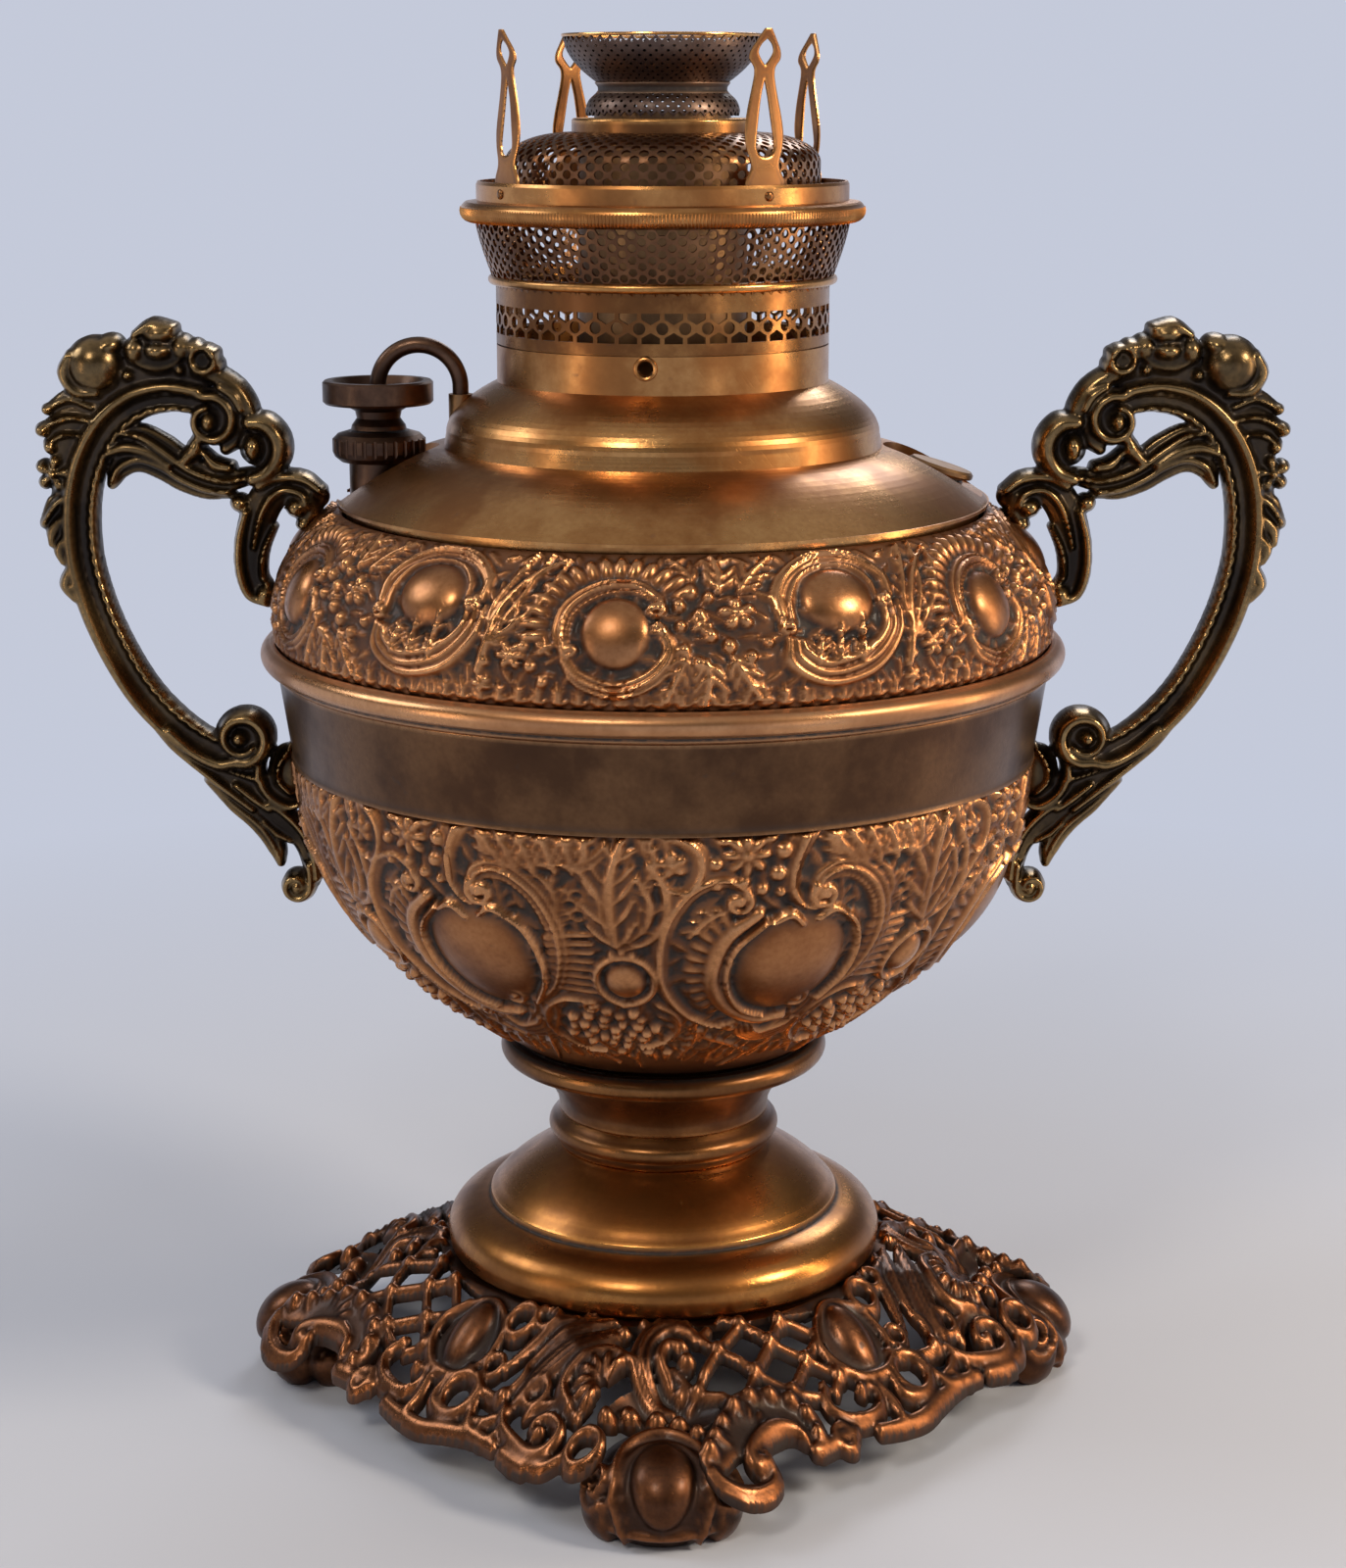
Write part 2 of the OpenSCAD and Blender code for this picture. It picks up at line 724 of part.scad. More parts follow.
handle_band = [
  [91.4, 204.8], [97, 205.6], [105.8, 203.6], [112.2, 198], [116.3, 189.8], [117, 182.8],
  [116.6, 174.5], [114.5, 166.2], [112, 157], [107.8, 148.9], [102.3, 141.7], [96.6, 136.1], [90.9, 132.7]
];
handle_branch = [[110, 194], [105, 195], [99, 192.4], [93, 188.6], [87, 187.4], [82.6, 189.6]];
handle_bracket = [[84.2, 186.6], [81.4, 188], [77, 187.6], [73, 184.4], [70, 180.6]];
handle_hook = [[80.6, 187.2], [83, 181], [84.4, 174.5], [84.6, 169.4], [82.6, 165.6]];
handle_arm = [[107, 142], [97.6, 132.4], [89.4, 126.6], [81.2, 121.6], [75.4, 116.8], [72, 111.6], [72, 107.6]];
handle_flowers = [
  [110.4, 209.8, 5.6], [104.6, 212.6, 5], [98.4, 213.4, 5.4], [92.6, 212.4, 4.6], [88.4, 209.6, 4],
  [85.8, 205.6, 3.6], [117.2, 203, 5], [119.6, 196.6, 5], [121.8, 190, 5], [120.6, 182.9, 4.2],
  [119.4, 175.4, 3.8], [117.4, 168, 3.4]
];

module handle() {
  stretch = handle_reach - 117;
  lift = z_rim - 184.8;
  color("#4a4030") difference() {
    translate([stretch, 0, lift]) union() {
      strap(handle_band, [6, 6.4, 7, 7, 7, 7, 7, 7, 7, 6.6, 6, 5.4, 5] * handle_band_w / 7, handle_t);
      disc(90.9, 200.6, 4.6, handle_t);
      disc(87.2, 135.6, 5.9, handle_t + 2);
      strap(handle_branch, [3, 5, 5, 5.6, 5.6, 5], handle_t - 1);
      disc(80.6, 195, 5.3, handle_t + 1);
      disc(81.4, 189, 4, handle_t - 1);
      strap(handle_bracket, [3, 4.4, 4.6, 4.6, 6], handle_t - 1);
      strap(handle_hook, [4, 4, 3.6, 3.4, 3], handle_t - 2);
      disc(82.2, 165.6, 2.4, handle_t - 1);
      strap(handle_arm, [3, 4.6, 5, 5, 4.6, 4, 3.4], handle_t - 1);
      disc(74.8, 106, 3.9, handle_t);
      disc(80.4, 128.6, 6.6, handle_t - 1);
      for (f = handle_flowers) ball(f[0], f[1], f[2]);
    }
    body_solid(fit_gap);
    handle_screw_holes();
  }
}

// Where the screws sit: [radius, height, tilt of the shank above level]
handle_screw_places = [
  [shoulder_at(handle_pad_z) - sheet_t, handle_pad_z, 38],
  [bowl_at(handle_low_z) - sheet_t, handle_low_z, -12]
];

function bowl_at(z) =
  lerp(bowl_foot_r, band_low_r, 1 - pow(1 - (z - z_bowl) / bowl_h, 2.15));
function shoulder_at(z) =
  lerp(shoulder_r, rim_r, pow((z - z_shoulder) / shoulder_h, 2.6));

module handle_screw_holes() {
  for (s = handle_screw_places)
    translate([s[0], 0, s[1]]) rotate([0, 90 - s[2], 0])
      translate([0, 0, -2]) cylinder(r = handle_screw_r, h = handle_screw_l + 2, $fn = 24);
}

module both_sides() {
  children();
  mirror([1, 0, 0]) children();
}

module left_handle() {
  mirror([1, 0, 0]) handle();
}

module right_handle() {
  handle();
}

module handle_screws() {
  color("#8c6b3a")
    both_sides() for (s = handle_screw_places)
      translate([s[0], 0, s[1]]) rotate([0, 90 - s[2], 0]) {
        translate([0, 0, -1.6]) cylinder(r = handle_screw_r, h = handle_screw_l + 1.4, $fn = 24);
        translate([0, 0, -3.2]) cylinder(r = handle_screw_r + 1.3, h = 1.8, $fn = 24);
      }
}

// Fount
function dome_z(w) = z_step - (z_step - z_flange - flange_t) * pow(w, 1.7);
dome_edge_r = rim_r - 0.6;

function fount_path() = concat(
  [for (i = [14 : -1 : 0]) [lerp(step_r, dome_edge_r, i / 14), dome_z(i / 14)]],
  [for (i = [0 : 12]) let(u = i / 12)
    [lerp(step_r - 0.5, neck_r, pow(u, 2)), lerp(z_crown, z_neck, u)]],
  [[neck_r, z_seam]]
);

// The whole space under the fount's top, for cutting the recesses
module fount_solid() {
  spun(concat([[0, z_fount_seam], [fount_r, z_fount_seam], [fount_r, z_flange + flange_t]],
    fount_path(), [[0, z_seam]]));
}

// Moves to the seat of the filler, on the right-hand recess
module at_filler() {
  translate([filler_x, 0, filler_floor_z]) rotate([0, filler_tilt, 0]) children();
}

module fount_top() {
  post_hole_r = 3.2;
  clear_h = 40;
  color("#b8813f") difference() {
    union() {
      difference() {
        union() {
          spun_sheet(fount_path(), sheet_t);
          tube(rim_r - 0.3, fount_r - sheet_t, z_flange, z_flange + flange_t);
          tube(fount_r, fount_r - sheet_t, z_fount_seam, z_flange + flange_t);
          tube(spigot_r, spigot_r - sheet_t, z_seam - sheet_t, z_seam + skirt_spigot_h);
          tube(neck_r - sheet_t / 2, spigot_r - sheet_t, z_seam - sheet_t, z_seam);
          tube(neck_r - sheet_t / 2, wick_tube_r + fit_gap, z_neck, z_neck + sheet_t);
        }
        translate([-post_x, 0, z_post]) cylinder(r = recess_r, h = clear_h);
        at_filler() cylinder(r = filler_floor_r, h = clear_h);
      }
      intersection() {
        fount_solid();
        union() {
          translate([-post_x, 0, 0]) tube(recess_r + sheet_t, recess_r, z_post - sheet_t, z_neck);
          translate([-post_x, 0, z_post - sheet_t]) cylinder(r = recess_r + sheet_t, h = sheet_t);
          at_filler() tube(filler_floor_r + sheet_t, filler_floor_r, -sheet_t, 14);
          at_filler() translate([0, 0, -sheet_t]) cylinder(r = filler_floor_r + sheet_t, h = sheet_t);
        }
      }
    }
    translate([-post_x, 0, z_post - 5]) cylinder(r = post_hole_r, h = 10);
    translate([-rod_inner_x, 0, z_step]) cylinder(r = gland_r + fit_gap, h = 20);
    at_filler() translate([0, 0, -5]) cylinder(r = filler_neck_r + fit_gap, h = 10);
    at_eyelet() translate([0, 0, -1.2]) cylinder(r = eyelet_hole_r + 0.5, h = 3, $fn = 24);
  }
}

module fount_bottom() {
  floor_r = 22;
  color("#8f6a3a") union() {
    spun_sheet(early_curve(floor_r, z_fount_floor, fount_r, z_fount_seam, 2.4, 16), sheet_t);
    tube(floor_r, draught_r + fit_gap, z_fount_floor, z_fount_floor + sheet_t);
  }
}

module draught_tube() {
  color("#a08040") tube(draught_r, draught_r - tube_wall, z_fount_floor - 3, draught_top_z);
}

module wick_tube() {
  color("#a08040") tube(wick_tube_r, wick_tube_r - tube_wall, wick_tube_low_z, wick_tube_top_z);
}

module at_eyelet() {
  rotate([0, 0, -95.5]) translate([neck_r, 0, z_neck + 0.7 * neck_h]) rotate([0, 90, 0]) children();
}

module neck_eyelet() {
  color("#c89a50") at_eyelet() difference() {
    union() {
      translate([0, 0, 0.1]) cylinder(r = eyelet_r, h = 0.5, $fn = 32);
      translate([0, 0, -1]) cylinder(r = eyelet_hole_r + 0.45, h = 1.5, $fn = 32);
    }
    translate([0, 0, -3]) cylinder(r = eyelet_hole_r, h = 6, $fn = 32);
  }
}

// Wick gear
module raiser_post() {
  neck_low_r = 3.1;
  thread_r = post_r - 1.2;
  thread_h = 3.4;
  color("#4a2c1c") translate([-post_x, 0, z_post]) difference() {
    union() {
      cylinder(r = post_r, h = post_h);
      cylinder(r = thread_r, h = post_h + thread_h);
      translate([0, 0, -post_depth]) cylinder(r = neck_low_r, h = post_depth + 1);
    }
    translate([0, 0, 1 - post_depth]) cylinder(r = gland_bore_r, h = post_depth + post_h + thread_h);
  }
}

module packing_nut() {
  knurls = 28;
  thread_r = post_r - 1.2 + fit_gap;
  thread_h = 3.5;
  color("#5a3420") translate([-post_x, 0, z_packing]) difference() {
    rotate_extrude($fn = 64) polygon([
      [0, 0], [packing_r - 1.6, 0], [packing_r - 0.4, 1], [packing_r, 2], [packing_r, packing_h - 1.6],
      [packing_r - 1, packing_h - 0.6], [packing_r - 3, packing_h], [0, packing_h]
    ]);
    translate([0, 0, -1]) cylinder(r = thread_r, h = thread_h + 1);
    cylinder(r = gland_bore_r, h = packing_h + 1);
    for (i = [0 : knurls - 1])
      rotate([0, 0, i * 360 / knurls]) translate([packing_r + 0.2, 0, -1])
        cylinder(r = 0.5, h = packing_h + 2, $fn = 16);
  }
}

module raiser_wheel() {
  color("#6a4028") translate([-post_x, 0, z_wheel]) difference() {
    rotate_extrude($fn = 64) polygon([
      [0, 0], [wheel_neck_r + 1.2, 0], [wheel_neck_r + 1, 0.8], [wheel_neck_r, 2.2], [wheel_neck_r + 0.3, 3.6],
      [wheel_neck_r + 2.4, wheel_h - wheel_disc_t - 0.2], [wheel_r - 0.5, wheel_h - wheel_disc_t],
      [wheel_r, wheel_h - wheel_disc_t + 0.5], [wheel_r, wheel_h - 0.4], [wheel_r - 0.4, wheel_h],
      [wheel_dish_r, wheel_h], [wheel_dish_r - 2, wheel_h - wheel_dish_d], [0, wheel_h - wheel_dish_d]
    ]);
    translate([0, 0, -1]) cylinder(r = gland_bore_r, h = wheel_h + 2);
  }
}

module lift_rod() {
  color("#5a3420") union() {
    translate([-post_x, 0, rod_outer_low_z]) cylinder(r = rod_r, h = rod_arc_z - rod_outer_low_z);
    translate([-rod_inner_x, 0, carrier_low_z]) cylinder(r = rod_r, h = rod_arc_z - carrier_low_z);
    translate([-post_x + rod_arc_r, 0, rod_arc_z]) rotate([90, 0, 0])
      rotate_extrude(angle = 180) translate([rod_arc_r, 0]) circle(r = rod_r, $fn = 32);
  }
}

module rod_gland() {
  color("#8c6b3a") translate([-rod_inner_x, 0, 0]) tube(gland_r, gland_bore_r, gland_low_z, gland_top_z);
}

carrier_low_z = wick_low_z - carrier_h;

module carrier_arm() {
  arm_w = 5;
  color("#8c6b3a") difference() {
    union() {
      translate([-rod_inner_x, -arm_w / 2, carrier_low_z]) cube([rod_inner_x, arm_w, arm_t]);
      translate([-rod_inner_x, 0, carrier_low_z]) cylinder(r = rod_r + 1.8, h = arm_t);
    }
    translate([-rod_inner_x, 0, carrier_low_z - 1]) cylinder(r = rod_r + fit_gap / 2, h = arm_t + 2);
    translate([0, 0, carrier_low_z - 1]) cylinder(r = wick_outer_r + fit_gap / 2, h = arm_t + 2);
  }
}

module wick_carrier() {
  color("#a08040") tube(wick_outer_r, draught_r + run_gap, carrier_low_z, wick_low_z);
}

module wick() {
  color("#d8cdb4") tube(wick_outer_r, wick_inner_r, wick_low_z, wick_top_z);
}

// Filler
module filler_neck() {
  color("#8c6b3a") at_filler() tube(filler_neck_r, filler_bore_r, -4, filler_rise);
}

module filler_washer() {
  low = filler_rise + seat_gap;
  color("#3a2a20") at_filler() tube(filler_neck_r, filler_plug_r + fit_gap, low, low + filler_washer_t);
}

module filler_cap() {
  low = filler_rise + seat_gap + filler_washer_t + fit_gap;
  color("#a8763c") at_filler() union() {
    translate([0, 0, low - filler_plug_l]) cylinder(r = filler_plug_r, h = filler_plug_l + 0.2);
    translate([0, 0, low]) rotate_extrude($fn = 64) polygon([
      [0, 0], [filler_cap_r - 0.3, 0], [filler_cap_r, 0.3], [filler_cap_r, filler_cap_h - 0.5],
      [filler_cap_r - 0.5, filler_cap_h], [0, filler_cap_h]
    ]);
  }
}

// Burner
module gallery_skirt() {
  color("#b08040") difference() {
    tube(skirt_r, skirt_r - sheet_t, z_skirt, z_basket);
    hole_row(window_count, skirt_r, z_skirt + 5, 0, window_r, 4);
  }
}

module skirt_bead() {
  round_r = skirt_bead_h / 2;
  color("#b08040") spun(concat(
    [[skirt_r - sheet_t, z_basket]],
    arc(skirt_bead_r - round_r, z_basket + round_r, round_r, -90, 90, 10),
    [[skirt_r - sheet_t, z_basket + skirt_bead_h]]
  ));
}

module flared_basket() {
  low_z = z_basket + skirt_bead_h;
  low_r = skirt_bead_r - 0.7;
  path = early_curve(low_r, low_z, basket_r, z_gallery, 1.3, 6);
  color("#a87838") difference() {
    spun_sheet(path, sheet_t);
    translate([0, 0, z_gallery]) cylinder(r = basket_r + sheet_t, h = sheet_t);
    for (row = [0 : 1])
      hole_row(basket_holes, basket_r - 1.2, low_z + 3 + 4 * row, row / 2, basket_hole_r, 6);
  }
}

module gallery_ring() {
  bead_round = 2;
  top = z_ledge;
  seat_r = grip_r - fit_gap;
  inner_r = diffuser_r - sheet_t - 0.6;
  color("#c08a48") difference() {
    spun(concat(
      [[gallery_r - 1.6, z_gallery], [basket_r, z_gallery], [knurl_r - 1.6, z_gallery + 0.3]],
      arc(knurl_r - bead_round, z_gallery + 2.2, bead_round, -60, 60, 8),
      [[gallery_r, z_gallery + 4.2], [gallery_r, top - 0.6], [gallery_r - 0.3, top], [gallery_r - sheet_t, top],
       [gallery_r - sheet_t, z_seat], [seat_r, z_seat], [seat_r, z_seat + seat_rib_h],
       [seat_r - seat_rib_w, z_seat + seat_rib_h], [seat_r - seat_rib_w, z_seat], [inner_r, z_seat],
       [inner_r, z_seat - sheet_t], [gallery_r - 1.6, z_seat - sheet_t]]
    ));
    for (a = prong_angles) rivet_hole(a);
  }
}

module diffuser_dome() {
  side_h = 3.6 + z_ledge - z_seat;
  path = concat([[diffuser_r, z_seat]],
    [for (i = [0 : 10]) let(a = i * 9)
      [lerp(collar_r, diffuser_r, cos(a)), z_seat + side_h + (z_diffuser - z_seat - side_h) * sin(a)]]);
  color("#8a6030") difference() {
    spun_sheet(path, sheet_t);
    translate([0, 0, z_ledge]) cylinder(r = collar_r, h = diffuser_h + sheet_t);
    hole_row(diffuser_holes, diffuser_r - 1, z_ledge + 2.2, 0, diffuser_hole_r, 6);
    for (i = [0 : diffuser_holes - 1])
      rotate([0, 0, (i + 0.5) * 360 / diffuser_holes]) translate([diffuser_r - 6, 0, z_diffuser - 5])
        cylinder(r = diffuser_hole_r, h = 10, $fn = 24);
  }
}

module diffuser_collar() {
  color("#c8904c") tube(collar_r, wick_tube_r + 0.35, z_diffuser - sheet_t + 0.1, z_collar_top);
}

// Sheet on which all four prongs lie: it bows in to grip the chimney
module prong_sheet() {
  foot_top = z_ledge + 1;
  grip_face = grip_r + 0.4 + prong_t;
  // A shade holder's ring slips over the tips and on to the gallery's wall
  tip_r = gallery_r - fit_gap;
  path = spline([[prong_r, z_seat + 0.4], [prong_r, foot_top], [grip_face + 0.3, z_ledge + 0.31 * prong_h],
    [grip_face, z_ledge + 0.57 * prong_h], [grip_face + 0.3, z_ledge + 0.79 * prong_h],
    [tip_r, z_ledge + prong_h]], 4);
  spun_sheet(path, prong_t);
}

// Half the outline of a prong: [share of the half width, share of the height]
prong_side = [
  [1, -0.128], [0.98, 0.02], [0.74, 0.1], [0.72, 0.15], [0.9, 0.23], [0.98, 0.32], [0.92, 0.41], [0.8, 0.5],
  [0.61, 0.62], [0.5, 0.71], [0.56, 0.76], [0.78, 0.805], [0.74, 0.86], [0.46, 0.93], [0.16, 1]
];
prong_slot = [
  [0, 0.178], [0.28, 0.19], [0.43, 0.225], [0.46, 0.27], [0.37, 0.37], [0.18, 0.56], [0, 0.676]
];
prong_eye = [[0, 0.765], [0.2, 0.8], [0.38, 0.85], [0.26, 0.9], [0, 0.935]];

module mirrored_outline(side) {
  polygon(concat(
    [for (p = side) [p[0] * prong_w / 2, p[1] * prong_h]],
    [for (p = reversed(side)) [-p[0] * prong_w / 2, p[1] * prong_h]]
  ));
}

module prong_outline() {
  difference() {
    mirrored_outline(prong_side);
    mirrored_outline(prong_slot);
    mirrored_outline(prong_eye);
  }
}

module prong(angle) {
  color("#c08444") difference() {
    intersection() {
      prong_sheet();
      rotate([0, 0, angle]) translate([gallery_r - 6, 0, z_ledge])
        rotate([90, 0, 90]) linear_extrude(12) prong_outline();
    }
    rivet_hole(angle);
  }
}

module rivet_hole(angle) {
  rotate([0, 0, angle]) translate([gallery_r - 4, 0, z_ledge - 2]) rotate([0, 90, 0])
    cylinder(r = rivet_r, h = 8, $fn = 24);
}

module front_left_prong() { prong(prong_angles[2]); }
module front_right_prong() { prong(prong_angles[3]); }
module back_left_prong() { prong(prong_angles[1]); }
module back_right_prong() { prong(prong_angles[0]); }

module prong_rivets() {
  color("#6a4a2a") for (a = prong_angles)
    rotate([0, 0, a]) translate([prong_r - prong_t - 0.3, 0, z_ledge - 2]) rotate([0, 90, 0])
      cylinder(r = rivet_r, h = gallery_r - prong_r + prong_t + 0.3, $fn = 24);
}

// Flame spreader
module spreader_spigot() {
  color("#6a5030")
    tube(draught_r - tube_wall - run_gap, draught_r - 2 * tube_wall - run_gap, z_bell - spigot_l, z_bell + 1);
}

module spreader_bell() {
  path = spline([[bell_r, z_bell], [bell_r + bell_bulge, z_bell + 0.35 * bell_h],
    [bell_r, z_bell + 0.7 * bell_h], [spreader_waist_r, z_spreader]], 4);
  color("#4a3828") difference() {
    union() {
      spun_sheet(path, tube_wall);
      tube(bell_r - 0.2, draught_r - tube_wall - run_gap, z_bell, z_bell + tube_wall);
    }
    hole_row(bell_holes, bell_r, z_bell + 0.4 * bell_h, 0, bell_hole_r, 4);
  }
}

// Radius of the spreader bowl at a share u of its height
function spreader_bowl_at(u) = lerp(spreader_waist_r + 0.6, spreader_r - 0.4, 1 - pow(1 - u, 1.6));

function bowl_wall_path() = concat(
  [[spreader_waist_r, z_spreader], [spreader_waist_r + 0.6, z_spreader + 1.4]],
  [for (i = [1 : 8]) [spreader_bowl_at(i / 8), lerp(z_spreader + 1.4, z_spreader_top - rolled_h, i / 8)]]
);

module spreader_bowl() {
  color("#4a3828") difference() {
    spun_sheet(bowl_wall_path(), tube_wall);
    translate([0, 0, z_spreader_top - rolled_h]) cylinder(r = spreader_r, h = rolled_h);
    for (row = [0 : 1])
      hole_row(bowl_holes, spreader_r - 3, z_spreader + 4 + 3 * row, row / 2, bowl_hole_r, 8);
  }
}

module spreader_rim() {
  color("#8a6238")
    tube(spreader_r, spreader_r - 1.2, z_spreader_top - rolled_h, z_spreader_top);
}

module spreader_plate() {
  share = 0.8;
  plate_z = lerp(z_spreader + 1.4, z_spreader_top - rolled_h, share);
  plate_r = spreader_bowl_at(share) - tube_wall - fit_gap;
  color("#4a3828") tube(plate_r, 1.2, plate_z, plate_z + tube_wall);
}

foot_casting();
pedestal_dome();
stem_knop();
bowl_collar();
tie_tube();
lower_ring_nut();
upper_ring_nut();
clamp_washer();
lower_bowl();
waist_band();
bead_ring();
shoulder_shell();
left_handle();
right_handle();
handle_screws();
fount_top();
fount_bottom();
draught_tube();
wick_tube();
neck_eyelet();
raiser_post();
packing_nut();
rod_gland();
filler_neck();
raiser_wheel();
lift_rod();
carrier_arm();
wick_carrier();
wick();
filler_cap();
filler_washer();
gallery_skirt();
skirt_bead();
flared_basket();
gallery_ring();
diffuser_dome();
diffuser_collar();
front_left_prong();
front_right_prong();
back_left_prong();
back_right_prong();
prong_rivets();
spreader_spigot();
spreader_bell();
spreader_bowl();
spreader_rim();
spreader_plate();
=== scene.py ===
import json
import math

import bpy
import numpy as np
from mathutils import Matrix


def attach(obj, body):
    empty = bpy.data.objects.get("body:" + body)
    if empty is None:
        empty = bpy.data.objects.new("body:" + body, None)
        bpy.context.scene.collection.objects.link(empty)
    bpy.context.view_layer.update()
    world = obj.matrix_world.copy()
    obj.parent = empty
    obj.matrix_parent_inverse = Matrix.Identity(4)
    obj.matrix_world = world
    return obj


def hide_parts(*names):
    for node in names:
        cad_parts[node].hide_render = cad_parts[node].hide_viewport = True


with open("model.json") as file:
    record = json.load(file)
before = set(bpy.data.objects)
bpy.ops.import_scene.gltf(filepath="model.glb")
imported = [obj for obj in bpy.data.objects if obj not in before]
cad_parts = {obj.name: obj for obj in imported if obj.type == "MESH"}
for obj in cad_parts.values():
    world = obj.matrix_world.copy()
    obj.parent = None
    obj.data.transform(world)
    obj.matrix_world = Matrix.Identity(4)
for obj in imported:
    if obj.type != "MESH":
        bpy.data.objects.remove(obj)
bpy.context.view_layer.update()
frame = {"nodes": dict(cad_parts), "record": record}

mm = 0.001
hiddenTools = []  # tiles and profiles that only the node trees read


# camera, floor and light

studio = {
    "cameraAt": (0.002, -0.570, 0.2639), "tiltDown": 13.54, "lens": 66.04,
    "floorSize": 6.0, "floorColour": (0.585, 0.61, 0.685), "farColour": (0.555, 0.59, 0.70), "fadeFrom": 0.16, "fadeTo": 0.50,
    # height in the room and its colour there
    "room": [(0.10, (0.555, 0.59, 0.70)), (0.26, (0.10, 0.10, 0.11)), (0.55, (0.08, 0.08, 0.085)), (0.80, (0.42, 0.42, 0.44))],
    "lamps": [
        # name, place, size, power, colour
        ("keyLamp", (-0.42, -0.90, 1.05), (0.30, 0.30), 4.7, (1.0, 0.91, 0.78)),
        ("sideLamp", (1.05, -0.45, 0.82), (0.34, 0.34), 9.4, (1.0, 0.87, 0.70)),
        ("fillLamp", (-1.0, 0.05, 0.85), (0.5, 0.5), 3.2, (0.92, 0.95, 1.0)),
        ("backLamp", (0.25, 1.0, 0.9), (0.5, 0.5), 3.6, (0.94, 0.96, 1.0)),
        # tall narrow lamps that draw upright streaks on the round walls
        ("rightStrip", (0.56, -0.06, 0.19), (0.07, 0.34), 0.72, (1.0, 0.72, 0.42)),
        ("frontStrip", (0.34, -0.46, 0.17), (0.03, 0.28), 0.06, (1.0, 0.74, 0.46)),
        ("leftStrip", (-0.48, -0.30, 0.17), (0.05, 0.30), 0.22, (1.0, 0.76, 0.50)),
    ],
}


def setUpCamera():
    data = bpy.data.cameras.new("lampCamera")
    data.lens = studio["lens"]
    data.sensor_width = 36
    data.clip_start = 0.01
    camera = bpy.data.objects.new("lampCamera", data)
    camera.location = studio["cameraAt"]
    camera.rotation_euler = (math.radians(90 - studio["tiltDown"]), 0, 0)
    bpy.context.scene.collection.objects.link(camera)
    bpy.context.scene.camera = camera
    bpy.context.scene.view_settings.view_transform = "Standard"


def aimedAt(place, target):
    return (np.array(target) - np.array(place)).tolist()


def setUpLamps():
    from mathutils import Vector
    for name, place, size, power, colour in studio["lamps"]:
        data = bpy.data.lights.new(name, "AREA")
        data.shape = "DISK" if size[0] == size[1] else "RECTANGLE"
        data.size, data.size_y = size
        data.energy = power
        data.color = colour
        lamp = bpy.data.objects.new(name, data)
        lamp.location = place
        lamp.rotation_euler = Vector(aimedAt(place, (0, 0, 0.14))).to_track_quat("-Z", "Y").to_euler()
        bpy.context.scene.collection.objects.link(lamp)


def addNode(tree, kind, **settings):
    node = tree.nodes.new(kind)
    for key, value in settings.items():
        setattr(node, key, value)
    return node


def wire(tree, start, end):
    tree.links.new(start, end)


def mathNode(tree, operation, a, b=None, clamp=False):
    node = addNode(tree, "ShaderNodeMath", operation=operation, use_clamp=clamp)
    for socket, value in zip(node.inputs, (a, b)):
        if isinstance(value, (int, float)):
            socket.default_value = value
        elif value is not None:
            wire(tree, value, socket)
    return node.outputs[0]


def rangeNode(tree, value, low, high, toLow=0.0, toHigh=1.0):
    node = addNode(tree, "ShaderNodeMapRange")
    wire(tree, value, node.inputs["Value"])
    for label, number in (("From Min", low), ("From Max", high), ("To Min", toLow), ("To Max", toHigh)):
        node.inputs[label].default_value = number
    return node.outputs["Result"]


def mixNode(tree, share, a, b):
    node = addNode(tree, "ShaderNodeMix", data_type="RGBA")
    for socket, value in ((node.inputs["Factor"], share), (node.inputs[6], a), (node.inputs[7], b)):
        if isinstance(value, (int, float)):
            socket.default_value = value
        elif isinstance(value, tuple):
            socket.default_value = (*value, 1)
        else:
            wire(tree, value, socket)
    return node.outputs[2]


def noiseNode(tree, place, scale, detail=3.0, rough=0.5):
    node = addNode(tree, "ShaderNodeTexNoise")
    wire(tree, place, node.inputs["Vector"])
    node.inputs["Scale"].default_value = scale
    node.inputs["Detail"].default_value = detail
    node.inputs["Roughness"].default_value = rough
    return node.outputs["Fac"]


def setUpWorld():
    world = bpy.data.worlds.new("studioWorld")
    world.use_nodes = True
    tree = world.node_tree
    back = tree.nodes["Background"]
    place = addNode(tree, "ShaderNodeTexCoord")
    split = addNode(tree, "ShaderNodeSeparateXYZ")
    wire(tree, place.outputs["Generated"], split.inputs[0])
    ramp = addNode(tree, "ShaderNodeValToRGB")
    stops = ramp.color_ramp.elements
    while len(stops) < len(studio["room"]):
        stops.new(0.5)
    for stop, (height, colour) in zip(stops, studio["room"]):
        stop.position = height
        stop.color = (*colour, 1)
    wire(tree, split.outputs["Z"], ramp.inputs["Fac"])
    wire(tree, ramp.outputs["Color"], back.inputs["Color"])
    bpy.context.scene.world = world


